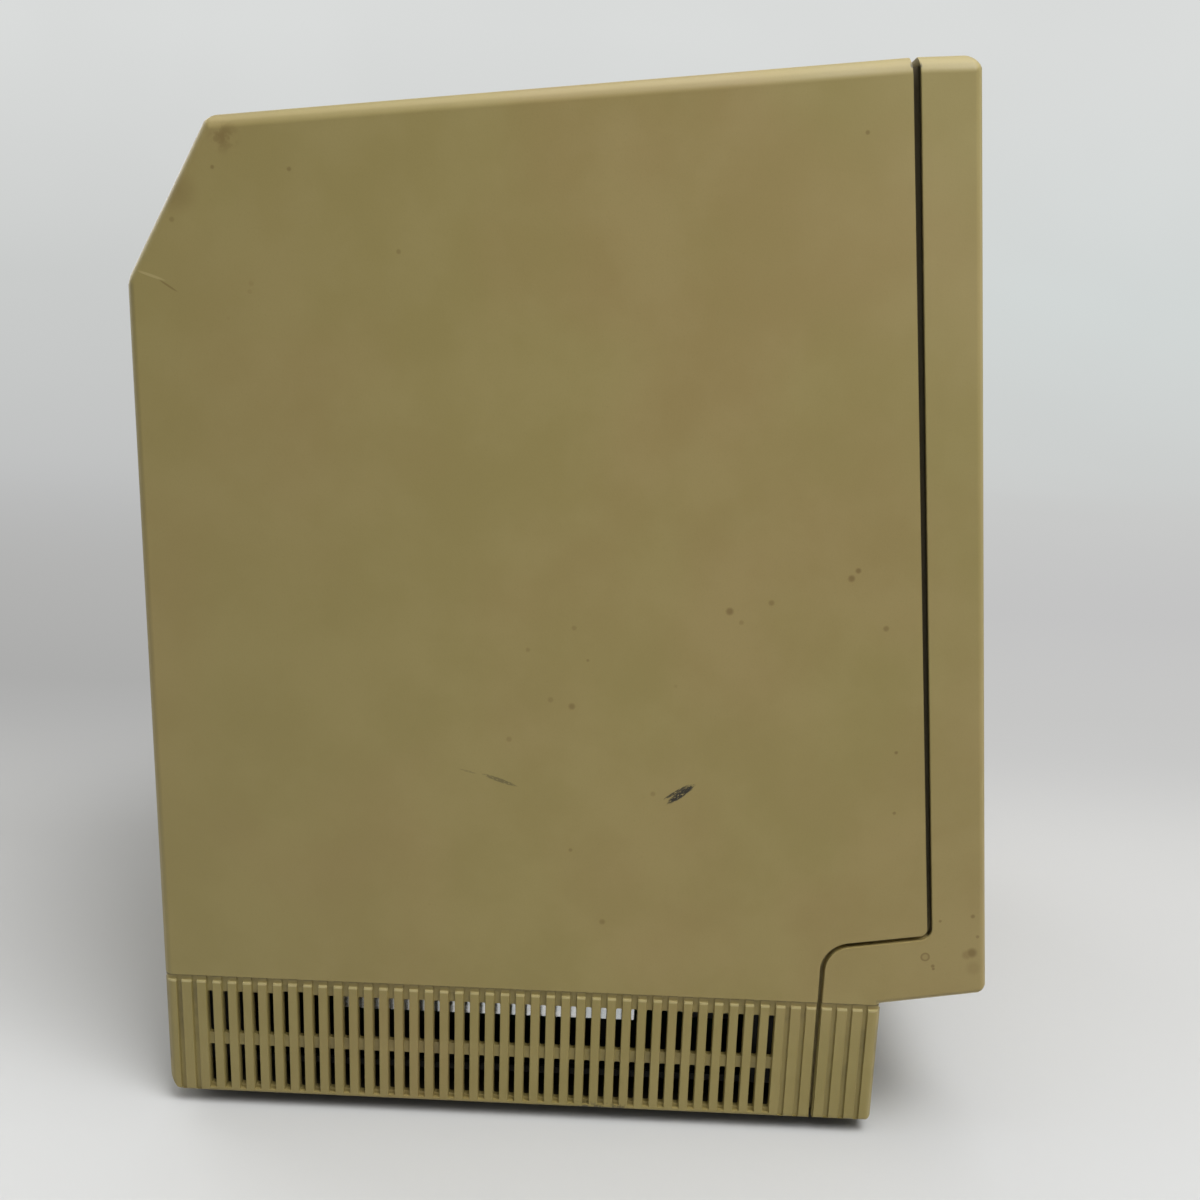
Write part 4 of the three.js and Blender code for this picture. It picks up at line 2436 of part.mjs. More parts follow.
const chassisGroup = new THREE.Group();
chassisGroup.add(
  mesh("chassis_frame", chassisFrame(), "zincSheet"),
  mesh("analog_board", analogCard(), "brownBoard"),
  mesh("flyback_transformer", lineTransformer(), "darkPlastic"),
  mesh("power_supply_cover", supplyCover(), "zincSheet"),
  mesh("drive_cage", driveCage(), "zincSheet"),
  mesh("anode_lead", highVoltageLead(), "redLead"),
  mesh("yoke_lead", yokeWires(), "ribbonGrey"),
  mesh("power_harness", powerHarness(), "ribbonGrey"),
  mesh(
    "floppy_ribbon",
    ribbon(floppyRibbon, floppyRibbonX, floppyRibbonStart, floppyRibbonForward),
    "ribbonGrey",
  ),
  mesh(
    "hard_disk_ribbon",
    ribbon(diskRibbon, diskRibbonX, diskRibbonStart, diskRibbonForward),
    "ribbonGrey",
  ),
);

const boardGroup = new THREE.Group();
boardGroup.add(
  mesh("logic_board", mainBoard(), "greenBoard"),
  mesh("processor_chip", processorChip(), "darkPlastic"),
  mesh("clock_battery", clockBattery(), "greyPlastic"),
  mesh("keyboard_port", dinSocket(socketX.keyboard), "darkPlastic"),
  mesh("mouse_port", dinSocket(socketX.mouse), "darkPlastic"),
  mesh("floppy_port", dSocket(sockets.narrowLength, socketX.floppy), "steel"),
  mesh("disk_chain_port", dSocket(sockets.wideLength, socketX.diskChain), "steel"),
  mesh("printer_port", dinSocket(socketX.printer), "darkPlastic"),
  mesh("modem_port", dinSocket(socketX.modem), "darkPlastic"),
  mesh("sound_jack", jackSocket(), "darkPlastic"),
);
memoryBacks.forEach((fromFront, i) => {
  const foot = upZ(boardTop + memory.socketHeight / 3) + fit.seat;
  boardGroup.add(
    mesh(
      `memory_module_${i + 1}`,
      memoryModule(),
      "greenBoard",
      new THREE.Vector3(memoryX, sideY(boardFront - fromFront), foot),
    ),
  );
});

const driveGroup = new THREE.Group();
driveGroup.add(
  mesh("floppy_chassis", driveTray(), "zincSheet"),
  mesh("floppy_stepper_motor", stepperMotor(), "steel"),
  mesh(
    "floppy_lead_screw",
    driveScrew(),
    "steel",
    new THREE.Vector3(driveMiddle + leadScrew.offset, 0, upZ(drive.foot + leadScrew.rise)),
  ),
  mesh("floppy_head_carriage", headCarriage(), "greyPlastic"),
  mesh("floppy_disk_carrier", diskCarrier(), "steel"),
  mesh("floppy_eject_slider", ejectSlider(), "steel"),
  mesh(
    "floppy_spindle",
    driveSpindle(),
    "castMetal",
    new THREE.Vector3(driveMiddle, spindleY, upZ(drive.foot)),
  ),
  mesh("floppy_eject_motor", ejectDrive(), "darkPlastic"),
);

const diskGroup = new THREE.Group();
const armMesh = mesh(
  "hard_disk_head_arm",
  headArm(),
  "castMetal",
  new THREE.Vector3(pivotX, pivotY, foot.height),
);
armMesh.rotation.z = armRest;
diskGroup.add(
  mesh("hard_disk_base", hardDiskBase(), "castMetal"),
  mesh("hard_disk_cover", hardDiskCover(), "steel"),
  mesh(
    "hard_disk_platters",
    diskPlatters(),
    "mirror",
    new THREE.Vector3(driveMiddle, platterY, foot.height),
  ),
  armMesh,
);

const fanGroup = new THREE.Group();
fanGroup.position.set(fanX, fanY, fanZ);
fanGroup.add(
  mesh("fan_housing", fanHousing(), "darkPlastic"),
  mesh("fan_rotor", fanRotor(), "darkPlastic"),
);

const controls = new THREE.Group();
controls.add(
  mesh("power_inlet", inletSocket(), "darkPlastic"),
  mesh("power_switch_frame", switchFrame(), "darkPlastic"),
  mesh(
    "power_rocker",
    switchRocker(),
    "darkPlastic",
    new THREE.Vector3(inletX, switchY, switchZ),
  ),
  mesh(
    "brightness_wheel",
    brightnessWheel(),
    "frontShell",
    new THREE.Vector3(dialX, sideY(dialForward), 0),
  ),
  mesh("brightness_pot", brightnessPot(), "darkPlastic"),
);

computer.add(housing, frontGroup, chassisGroup, boardGroup, driveGroup, diskGroup, fanGroup, controls);

export default computer;
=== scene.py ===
import math

import bmesh
import bpy
from mathutils import Matrix, Vector


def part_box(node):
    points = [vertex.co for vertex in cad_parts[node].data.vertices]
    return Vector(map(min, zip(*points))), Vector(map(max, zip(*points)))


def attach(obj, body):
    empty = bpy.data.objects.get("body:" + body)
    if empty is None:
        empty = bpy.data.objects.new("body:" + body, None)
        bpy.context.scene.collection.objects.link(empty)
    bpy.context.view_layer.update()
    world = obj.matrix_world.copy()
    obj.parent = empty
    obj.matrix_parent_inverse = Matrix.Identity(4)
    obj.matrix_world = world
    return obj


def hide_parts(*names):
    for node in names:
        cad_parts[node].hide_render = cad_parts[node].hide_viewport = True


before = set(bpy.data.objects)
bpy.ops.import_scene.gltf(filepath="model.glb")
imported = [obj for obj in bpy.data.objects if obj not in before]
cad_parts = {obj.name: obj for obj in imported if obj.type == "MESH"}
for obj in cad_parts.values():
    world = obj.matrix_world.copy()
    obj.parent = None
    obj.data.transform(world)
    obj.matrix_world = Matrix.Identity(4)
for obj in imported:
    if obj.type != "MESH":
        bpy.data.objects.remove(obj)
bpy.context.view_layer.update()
mm = 0.001
tiny = 1e-6  # metres within which two places are the same
print("frame loaded")

# The camera stands close to the user's left side of the computer, a little over its middle.
view = {
    "place": (-0.47, -0.012, 0.2625),
    "turn": (77.36, -1.8873, -88.4873),  # degrees
    "lens": 34.5,
    "sensor": 36,
}


def addCamera():
    turn = [math.radians(angle) for angle in view["turn"]]
    bpy.ops.object.camera_add(location=view["place"], rotation=turn)
    camera = bpy.context.active_object
    camera.name = "camera"
    camera.data.lens = view["lens"]
    camera.data.sensor_width = view["sensor"]
    camera.data.clip_start = 0.02
    bpy.context.scene.camera = camera


addCamera()

# Small tools for modelling. Places are metres in the computer's own frame.

rearPlane = 138.298  # the rear face's Y, from which depths are counted forward
footHeight = 5  # the case's bottom edge over the floor


def at(x, forward, height):
    return Vector((x * mm, (rearPlane - forward) * mm, (height + footHeight) * mm))


def onlySelect(piece):
    bpy.ops.object.select_all(action="DESELECT")
    bpy.context.view_layer.objects.active = piece
    piece.select_set(True)


def applyPlace(piece):
    onlySelect(piece)
    bpy.ops.object.transform_apply(location=True, rotation=True, scale=True)


def addBlock(name, low, high):
    bpy.ops.object.select_all(action="DESELECT")
    low, high = Vector(low), Vector(high)
    bpy.ops.mesh.primitive_cube_add(size=1, location=(low + high) / 2, scale=high - low)
    block = bpy.context.active_object
    block.name = name
    applyPlace(block)
    return block


# A block between two places given as x, depth forward of the rear face and height over the edge.
def addCaseBlock(name, across, forward, height):
    low, high = at(across[0], forward[1], height[0]), at(across[1], forward[0], height[1])
    return addBlock(name, low, high)


# A case block about a middle, with half its width and half its height to each side.
def addBlockAbout(name, x, wide, depths, height, tall):
    return addCaseBlock(name, (x - wide, x + wide), depths, (height - tall, height + tall))


def addRod(name, radius, start, end, sides=48):
    bpy.ops.object.select_all(action="DESELECT")
    start, end = Vector(start), Vector(end)
    turn = (end - start).to_track_quat("Z", "Y").to_euler()
    bpy.ops.mesh.primitive_cylinder_add(
        vertices=sides,
        radius=radius,
        depth=(end - start).length,
        location=(start + end) / 2,
        rotation=turn,
    )
    rod = bpy.context.active_object
    rod.name = name
    applyPlace(rod)
    return rod


def startEdit(piece, kind):
    if piece.mode == "EDIT":
        endEdit()
    onlySelect(piece)
    bpy.ops.object.mode_set(mode="EDIT")
    bpy.ops.mesh.select_mode(type=kind)
    bpy.ops.mesh.select_all(action="DESELECT")


def endEdit():
    bpy.ops.object.mode_set(mode="OBJECT")


# Select what passes a test: a vertex's place, an edge's two ends or a face's middle and normal.
def pickPoints(piece, test):
    startEdit(piece, "VERT")
    shape = bmesh.from_edit_mesh(piece.data)
    for point in shape.verts:
        point.select_set(bool(test(point.co)))
    shape.select_flush_mode()
    bmesh.update_edit_mesh(piece.data)


def pickEdges(piece, test):
    startEdit(piece, "EDGE")
    shape = bmesh.from_edit_mesh(piece.data)
    for edge in shape.edges:
        edge.select_set(bool(test(edge.verts[0].co, edge.verts[1].co)))
    shape.select_flush_mode()
    bmesh.update_edit_mesh(piece.data)


def pickFaces(piece, test):
    startEdit(piece, "FACE")
    shape = bmesh.from_edit_mesh(piece.data)
    for face in shape.faces:
        face.select_set(bool(test(face.calc_center_median(), face.normal)))
    bmesh.update_edit_mesh(piece.data)


def push(x=0, y=0, z=0):
    bpy.ops.mesh.extrude_region_move(TRANSFORM_OT_translate={"value": (x, y, z)})


def shift(x=0, y=0, z=0):
    bpy.ops.transform.translate(value=(x, y, z))


def scaleAbout(place, x=1, y=1, z=1):
    bpy.ops.transform.resize(value=(x, y, z), center_override=place)


def bevelPicked(radius, steps):
    bpy.ops.mesh.bevel(offset=radius * mm, segments=steps, affect="EDGES", clamp_overlap=True)
    endEdit()


def roundWhere(piece, test, radius, steps):
    pickEdges(piece, test)
    bevelPicked(radius, steps)


def cutPlane(piece, place, normal, keep="inner"):
    startEdit(piece, "FACE")
    bpy.ops.mesh.select_all(action="SELECT")
    bpy.ops.mesh.bisect(
        plane_co=place,
        plane_no=normal,
        use_fill=keep != "both",
        clear_outer=keep == "inner",
        clear_inner=keep == "outer",
    )
    endEdit()


# Round the edges of a block that run along one axis (0, 1 or 2).
def roundAlong(piece, axis, radius, steps=4):
    others = [i for i in range(3) if i != axis]

    def isAlong(first, last):
        return all(abs(first[i] - last[i]) < tiny for i in others)

    roundWhere(piece, isAlong, radius, steps)


# The flat end that faces one way along an axis.
def pickEnd(piece, axis, side):
    pickFaces(piece, lambda place, normal: normal[axis] * side > 0.999)


def softenFace(piece, axis, side, radius, steps=2):
    pickEnd(piece, axis, side)
    bpy.ops.mesh.region_to_loop()
    bevelPicked(radius, steps)


# Inset a flat end and push the inside of it in.
def sinkFace(piece, axis, side, border, depth):
    pickEnd(piece, axis, side)
    bpy.ops.mesh.inset(thickness=border * mm, depth=0)
    move = [0, 0, 0]
    move[axis] = -side * depth * mm
    push(*move)
    endEdit()


def applyModifier(piece, modifier):
    onlySelect(piece)
    bpy.ops.object.modifier_apply(modifier=modifier.name)


def carve(piece, tool, operation="DIFFERENCE"):
    modifier = piece.modifiers.new("carve", "BOOLEAN")
    modifier.solver = "MANIFOLD"
    modifier.operation = operation
    modifier.object = tool
    applyModifier(piece, modifier)
    bpy.data.objects.remove(tool, do_unlink=True)


def arrayOf(piece, count, step):
    modifier = piece.modifiers.new("row", "ARRAY")
    modifier.count = count
    modifier.use_relative_offset = False
    modifier.use_constant_offset = True
    modifier.constant_offset_displace = step
    applyModifier(piece, modifier)


def mirrored(piece):
    modifier = piece.modifiers.new("other side", "MIRROR")
    modifier.use_axis[0] = True
    modifier.use_mirror_merge = False
    applyModifier(piece, modifier)


def copyOf(piece, name):
    twin = piece.copy()
    twin.data = piece.data.copy()
    twin.name = name
    bpy.context.collection.objects.link(twin)
    return twin


def joined(pieces):
    onlySelect(pieces[0])
    for piece in pieces[1:]:
        piece.select_set(True)
    bpy.ops.object.join()
    return pieces[0]


def smoothPiece(piece, angle=32):
    onlySelect(piece)
    bpy.ops.object.shade_smooth_by_angle(angle=math.radians(angle))
    modifier = piece.modifiers.new("even shading", "WEIGHTED_NORMAL")
    modifier.mode = "FACE_AREA"
    modifier.weight = 90
    modifier.keep_sharp = True
    applyModifier(piece, modifier)


def setFinish(piece, material):
    piece.data.materials.clear()
    piece.data.materials.append(material)


# A node's name as the name of a piece, such as footRearLeft for foot_rear_left.
def pieceName(node):
    first, *others = node.split("_")
    return first + "".join(word.title() for word in others)


# Hands a finished piece over: what it stands for, the body it rides on and its finish.
def finishPiece(piece, nodes, material, body="computer", angle=32):
    smoothPiece(piece, angle)
    if material:
        setFinish(piece, material)
    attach(piece, body)
    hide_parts(*nodes)
    print("made", piece.name, len(piece.data.polygons), "faces")


# The case. Places on its side are depths forward of the rear face and heights over its edge.
case = {
    "half": 122,
    "wall": 3,
    "baseDepth": 242.5,
    "chinRoot": 44,
    "chin": (276.9, 49.9),
    "brow": (245.4, 340.4),
    "slantTop": (25.9, 318.5),
    "slantFoot": (0, 271.2),
    "sideRounding": (6.5, 4, 3.2),  # front, top of the slant, rear
    "frontRounding": 2.6,
    "browRounding": 4,
    "chinRounding": 2.8,
    "footRounding": 6.4,
    "edgeRounding": 1.3,
    "ridgeRounding": 2,
    "bendRounding": 1.6,
    "profile": 0.42,  # the roundings are a little flat
    "sideSteps": 9,  # pieces of the top edge, whose rounding narrows to the rear
    # Each shell's top, by two places: the front one's is nearer level.
    "rearTop": ((25.9, 317.9), (245.4, 341)),
    "frontTop": ((200, 337.45), (245.4, 340.2)),
}
lean = math.atan2(case["chin"][0] - case["brow"][0], case["brow"][1] - case["chin"][1])
frontPlace = at(0, *case["chin"])
frontFrame = Matrix.Translation(frontPlace) @ Matrix.Rotation(math.pi / 2 - lean, 4, "X")


# From the front face's own frame (across, up the face from the chin, out of it), in millimetres.
def onFront(x, up, out):
    return frontFrame @ Vector((x * mm, up * mm, out * mm))


def toFront(place):
    return frontFrame.inverted() @ place / mm


def placeOnFront(piece):
    piece.matrix_world = frontFrame @ piece.matrix_world
    applyPlace(piece)


# The flat side of the case that runs from one side place to the next, the outside on its left.
def sidePlane(first, last, inset=0):
    normal = Vector((0, last[1] - first[1], last[0] - first[0])).normalized()
    return at(0, *first) - normal * inset * mm, normal


def plainForm(name, inset=0, top=None):
    half = case["half"] - inset
    front = case["chin"][0] + 20
    form = addCaseBlock(name, (-half, half), (inset, front), (inset, case["brow"][1] + 5))
    face, slant = (case["brow"], case["chin"]), (case["slantFoot"], case["slantTop"])
    for first, last in (face, top or (case["slantTop"], case["brow"]), slant):
        cutPlane(form, *sidePlane(first, last, inset))
    root = (case["baseDepth"], case["chinRoot"])
    under = addCaseBlock("under chin", (-140, 140), (root[0] - inset, 320), (-20, 80))
    cutPlane(under, *sidePlane(case["chin"], root, inset), keep="outer")
    carve(form, under)
    return form


def depthOf(place):
    return rearPlane - place.y / mm


def heightOf(place):
    return place.z / mm - footHeight


# The rounding of an edge of the plain form, from where its middle is and which way it runs.
def edgeRounding(first, last):
    middle = (first + last) / 2
    x, depth, height = abs(middle.x) / mm, depthOf(middle), heightOf(middle)
    out = toFront(middle).z
    front, ridge, rear = case["sideRounding"]
    if x < 1:  # across the case
        if height < 1:
            return case["footRounding"] if depth < 1 else case["edgeRounding"]
        if height > 330:
            return case["browRounding"]
        if height > 300:
            return case["ridgeRounding"]
        if depth < 1:
            return case["bendRounding"]
        return case["chinRounding"] if out > -0.1 else 0
    if x < case["half"] - 0.1:
        return 0
    if height < 1:
        return case["edgeRounding"]
    if out > -0.1 or depth > case["baseDepth"] - 0.1 and height < case["chin"][1]:
        return case["frontRounding"]
    if height > case["rearTop"][0][1] and depth > case["slantTop"][0] - 0.5:
        share = (depth - case["slantTop"][0]) / (case["brow"][0] - case["slantTop"][0])
        return ridge + (front - ridge) * share
    if depth < 1:
        return rear
    if height > case["slantFoot"][1] and depth < case["slantTop"][0]:
        return (ridge + rear) / 2
    return 0


def roundedForm(name, top):
    form = plainForm(name, 0, top)
    slantDepth, browDepth = case["slantTop"][0], case["brow"][0]
    for i in range(1, case["sideSteps"]):
        depth = slantDepth + (browDepth - slantDepth) * i / case["sideSteps"]
        cutPlane(form, at(0, depth, 0), (0, 1, 0), keep="both")
    widest = max(case["sideRounding"])
    startEdit(form, "EDGE")
    shape = bmesh.from_edit_mesh(form.data)
    weights = shape.edges.layers.float.new("bevel_weight_edge")
    for edge in shape.edges:
        isFlat = len(edge.link_faces) == 2 and edge.calc_face_angle() < 0.01
        rounding = 0 if isFlat else edgeRounding(edge.verts[0].co, edge.verts[1].co)
        edge[weights] = rounding / widest
    bmesh.update_edit_mesh(form.data)
    endEdit()
    modifier = form.modifiers.new("rounding", "BEVEL")
    modifier.limit_method = "WEIGHT"
    modifier.width = widest * mm
    modifier.segments = 6
    modifier.profile = case["profile"]
    applyModifier(form, modifier)
    return form


# The seam between the two shells: down behind the front face, a small step, then down to the base.
seam = {
    "behindFront": 18.75,
    "lowerDepth": 221.71,
    "stepHeight": 69.9,
    "stepDrop": 5.5,
    "halfWidth": 0.82,
    "wider": 0.3,  # at its upper end
    "narrower": 0.5,  # at its lower end
    "stepRounding": (3.2, 9),
    "edgeRounding": 0.4,
    "lipOut": 2.6,
    "lipIn": 4.7,
    "lipReach": 4,
}


def frontDepth(height):
    return case["chin"][0] - (height - case["chin"][1]) * math.tan(lean)


# All that lies ahead of the seam's line, which is moved to the rear by a distance.
def seamBlock(grow):
    far = 360
    step, low = seam["stepHeight"], seam["stepHeight"] - seam["stepDrop"]
    block = addCaseBlock("ahead of the seam", (-140, 140), (seam["lowerDepth"], 340), (-20, far))
    for height in (low, step):
        cutPlane(block, at(0, 0, height), (0, 0, 1), keep="both")
    front = 300  # the block's own front is further out

    def isAt(place, height):
        return depthOf(place) < front and abs(heightOf(place) - height) < 0.1

    for height in (step, far):
        pickPoints(block, lambda place: isAt(place, height))
        shift(y=(seam["lowerDepth"] - frontDepth(height) + seam["behindFront"]) * mm)
        endEdit()
    stepRun = frontDepth(step) - seam["behindFront"] - seam["lowerDepth"]
    slope = math.atan2(seam["stepDrop"], stepRun)
    turns = (math.pi / 2 - slope + lean, math.pi / 2 - slope)
    for height, radius, turn in zip((step, low), seam["stepRounding"], turns):

        def isBend(first, last):
            return isAt(first, height) and isAt(last, height) and abs(first.x - last.x) > 0.2

        roundWhere(block, isBend, radius * math.tan(turn / 2), 8)
    startEdit(block, "FACE")
    bpy.ops.mesh.select_all(action="SELECT")
    bpy.ops.transform.shrink_fatten(value=grow * mm, use_even_offset=True)
    side = math.copysign(mm, grow)
    for isEnd, move in (
        (lambda height: height > far - 9, seam["wider"]),
        (lambda height: height < -9, -seam["narrower"]),
    ):
        pickPoints(block, lambda place: depthOf(place) < front and isEnd(heightOf(place)))
        shift(y=side * move)
    endEdit()
    return block


# How far ahead of the seam's line a place is, near enough for picking edges.
def aheadOfSeam(place):
    height, depth = heightOf(place), depthOf(place)
    upper = frontDepth(height) - seam["behindFront"]
    if height >= seam["stepHeight"] + 3:
        return depth - upper
    if height <= seam["stepHeight"] - seam["stepDrop"] - 6:
        return depth - seam["lowerDepth"]
    return 0 if seam["lowerDepth"] - 2 < depth < upper + 2 else 9


def softenSeamEdge(shell):
    def onEdge(first, last):
        if abs(aheadOfSeam(first)) > 1.5 or abs(aheadOfSeam(last)) > 1.5:
            return False
        middle = (first + last) / 2
        isAcross = abs(first.x - last.x) > 0.15
        if isAcross:
            return heightOf(middle) > 330
        return abs(middle.x) > 0.1105

    roundWhere(shell, onEdge, seam["edgeRounding"], 2)


# The band of ribs round the base, and the shadow line over it.
ribs = {
    "pitch": 5.15,
    "first": 5.41,
    "count": 46,
    "depth": 1.2,
    "lineDepth": 0.7,
    "width": 2.15,
    "mouth": 2.45,
    "floor": 1.95,
    "flare": 0.2,
    "foot": 1.7,
    "blindFoot": 0.5,  # the grooves without slots run nearly to the edge, and are narrower
    "blindShare": 0.8,
    "top": 42.25,
    "tip": 0.5,
    "lineTop": 44.35,
    "lineFront": 243,
    "lip": 0.5,
    "seamGroove": 42,
    "frontCount": 23,
    "rearFrom": 21,
}


def shadowLine(shell):
    depth, base = ribs["lineDepth"], case["baseDepth"]
    span = (-8, ribs["lineFront"])
    ring = addCaseBlock("shadow line", (-130, 130), span, (ribs["top"], ribs["lineTop"]))
    core = case["half"] - depth
    carve(ring, addCaseBlock("core", (-core, core), (depth, base - depth), (30, 60)))
    carve(shell, ring)
    heights = (ribs["top"], ribs["lineTop"])

    def onLip(first, last):
        if abs(first.z - last.z) > 1e-5 or min(abs(heightOf(first) - h) for h in heights) > 0.01:
            return False
        middle = (first + last) / 2
        isLong = (first - last).length > 2 * mm
        return isLong and (abs(middle.x) > (case["half"] - 0.1) * mm or depthOf(middle) < 0.1)

    roundWhere(shell, onLip, ribs["lip"], 2)


# One groove's cutter through the user's-left side, wider at its mouth and at its upper end.
def grooveBar(isBlind):
    share = ribs["blindShare"] if isBlind else 1
    half, deep = case["half"], case["half"] - ribs["depth"] * share
    wide = ribs["width"] / 2 * share
    foot = ribs["blindFoot"] if isBlind else ribs["foot"]
    mouthX = half - ribs["flare"]
    first = ribs["first"]
    span = (first - wide, first + wide)
    bar = addCaseBlock("groove", (-mouthX, -deep), span, (foot, ribs["lineTop"] - 0.4))
    middle = at(0, first, 20)
    pickFaces(bar, lambda place, normal: normal.x > 0.9)
    scaleAbout(middle, y=ribs["floor"] / ribs["width"])
    pickFaces(bar, lambda place, normal: normal.x < -0.9)
    push(x=-ribs["flare"] * mm)
    scaleAbout(middle, y=ribs["mouth"] / ribs["width"])
    push(x=-4 * mm)
    endEdit()
    for height in (ribs["top"] - ribs["tip"], ribs["top"] - ribs["tip"] / 3):
        cutPlane(bar, at(0, 0, height), (0, 0, 1), keep="both")
    for low, widening in ((ribs["top"] - ribs["tip"] / 2, 1.1), (ribs["top"], 1.02)):
        pickPoints(bar, lambda place: heightOf(place) > low)
        scaleAbout(middle, y=widening)
        endEdit()
    return bar


def grooves(shell, low, high, isBlind=True):
    step = -ribs["pitch"] * mm
    bars = grooveBar(isBlind)
    bars.location.y += low * step
    applyPlace(bars)
    arrayOf(bars, high - low + 1, (0, step, 0))
    mirrored(bars)
    carve(shell, bars)


# Grooves across the front of the base or beside the port panel at its rear.
def endGrooves(shell, isFront):
    quarter = Matrix.Rotation(math.pi / 2 if isFront else -math.pi / 2, 4, "Z")
    last = ribs["frontCount"]
    first = -last if isFront else ribs["rearFrom"]
    wall = rearPlane - case["baseDepth"] if isFront else rearPlane
    toMiddle = Matrix.Translation((case["half"] * mm, (ribs["first"] - rearPlane) * mm, 0))
    toFirst = Matrix.Translation((first * ribs["pitch"] * mm, wall * mm, 0))
    bar = grooveBar(True)
    for step in (toMiddle, quarter, toFirst):
        bar.data.transform(step)
    arrayOf(bar, last - first + 1, (ribs["pitch"] * mm, 0, 0))
    if not isFront:
        mirrored(bar)
    carve(shell, bar)


# Air slots through the floors of the side grooves, in two rows. A few are longer at one end.
slots = {
    "width": 1.95,
    "from": 2,
    "count": 38,
    "low": (2.75, 18),
    "high": (22.2, 38.1),
    "long": {"low": (1, 5, 6, 10), "high": (5, 6)},
    "longBy": 0.85,
    "reach": (-130, -114),
    "endRounding": 0.5,
}


def sideSlots(shell):
    half = slots["width"] / 2
    pieces = []
    for row, longer in (("low", (-slots["longBy"], 0)), ("high", (0, slots["longBy"]))):
        for number in range(slots["count"]):
            low, high = slots[row]
            if number in slots["long"][row]:
                low, high = low + longer[0], high + longer[1]
            depth = ribs["first"] + ribs["pitch"] * (slots["from"] + number)
            span = (depth - half, depth + half)
            pieces.append(addCaseBlock("slot", slots["reach"], span, (low, high)))
    bars = joined(pieces)
    roundAlong(bars, 0, slots["endRounding"], 2)
    mirrored(bars)
    carve(shell, bars)


# The pocket for the hand in the top of the rear shell, reaching forward under the edge of the top.
handle = {
    "half": 59,
    "floor": 284,
    "depth": 62,
    "mouth": 42,
    "roof": 313.12,
    "cornerRounding": 8,
    "wall": 3,
}


def pocketTool(grow):
    half = handle["half"] + grow
    floor, roof = handle["floor"] - grow, handle["roof"] + grow
    mouth = handle["mouth"] + grow
    tool = addCaseBlock("handle pocket", (-half, half), (-30, mouth), (floor, 380))
    cutPlane(tool, at(0, 0, roof), (0, 0, 1), keep="both")
    pickFaces(tool, lambda place, normal: normal.y < -0.9 and heightOf(place) < roof)
    push(y=-(handle["depth"] - handle["mouth"]) * mm)
    endEdit()
    reach = handle["depth"] + grow
    corner = handle["cornerRounding"] + grow

    def inner(first, last):
        return abs(first.x - last.x) > 0.05 and min(depthOf(first), depthOf(last)) > reach - 1

    def atFloor(first, last):
        return inner(first, last) and heightOf(first) < floor + 1

    def atRoof(first, last):
        return inner(first, last) and heightOf(first) > roof - 1

    roundWhere(tool, atFloor, corner, 6)
    roundWhere(tool, atRoof, corner / 2, 5)
    return tool


# The recess of the ports, low in the rear face, with a wall round it inside.
panel = {"half": 103, "depth": 7, "foot": 5, "top": 40, "wall": 3, "corner": 1.5}

# Square openings of the rear face: their middles, and the shallow seats round two of them.
openings = {
    "inlet": {"x": -84, "height": 100, "size": (27.8, 20.8), "seat": (31.8, 24.8)},
    "switch": {"x": -84, "height": 136, "size": (17.8, 30.8), "seat": (21.8, 34.8)},
    "cover": {"x": 52, "height": 74, "size": (62.8, 28.8), "seat": None},
}
hole = {"through": 9, "seatDepth": 1.7, "corner": 0.8}

# The screws' wells: two low in the rear face, two in the pocket's front wall.
wells = {"x": 104, "height": 60, "depth": 8, "radius": 4.7, "boss": 6.5, "seat": 3}
upperWells = {"x": 48, "up": 275.2, "out": -176.3, "length": 16, "radius": 4.7, "boss": 6.5}
topVents = {"width": 1.8, "low": 278, "high": 311, "outer": 110, "pitch": 5.15, "count": 9}
floorVents = {"count": 12, "width": 2.2, "length": 34, "pitch": 7, "rear": (78, 130)}


def addHole(shell, opening, size, depth):
    wide, tall = (length / 2 for length in size)
    tool = addBlockAbout("hole", opening["x"], wide, (-6, depth), opening["height"], tall)
    roundAlong(tool, 1, hole["corner"], 2)
    carve(shell, tool)


def slantVents(shell):
    rows = []
    for hand in (-1, 1):
        x, half = hand * topVents["outer"], topVents["width"] / 2
        low, high = topVents["low"], topVents["high"]
        tool = addCaseBlock("vent", (x - half, x + half), (-8, 8), (low, high))
        run = case["slantTop"][0] / (case["slantTop"][1] - case["slantFoot"][1])
        for height in (low, high):
            pickPoints(tool, lambda place: abs(heightOf(place) - height) < 0.1)
            shift(y=-(height - case["slantFoot"][1]) * run * mm)
            endEdit()
        arrayOf(tool, topVents["count"], (-hand * topVents["pitch"] * mm, 0, 0))
        rows.append(tool)
    carve(shell, joined(rows))


def bottomVents(shell):
    rows = []
    x, half = -(floorVents["count"] - 1) / 2 * floorVents["pitch"], floorVents["width"] / 2
    for rear in floorVents["rear"]:
        span = (rear, rear + floorVents["length"])
        tool = addCaseBlock("vent", (x - half, x + half), span, (-8, 9))
        arrayOf(tool, floorVents["count"], (floorVents["pitch"] * mm, 0, 0))
        rows.append(tool)
    carve(shell, joined(rows))


def lowerWell(hand, radius, end):
    x, height = hand * wells["x"], wells["height"]
    return addRod("well", radius * mm, at(x, -6, height), at(x, end, height))


# The upper screws stand square to the front face, in the front wall of the pocket.
def upperWell(hand, radius, beyond):
    x, up, out = hand * upperWells["x"], upperWells["up"], upperWells["out"]
    start, end = onFront(x, up, out - upperWells["length"]), onFront(x, up, out + beyond)
    return addRod("well", radius * mm, start, end)


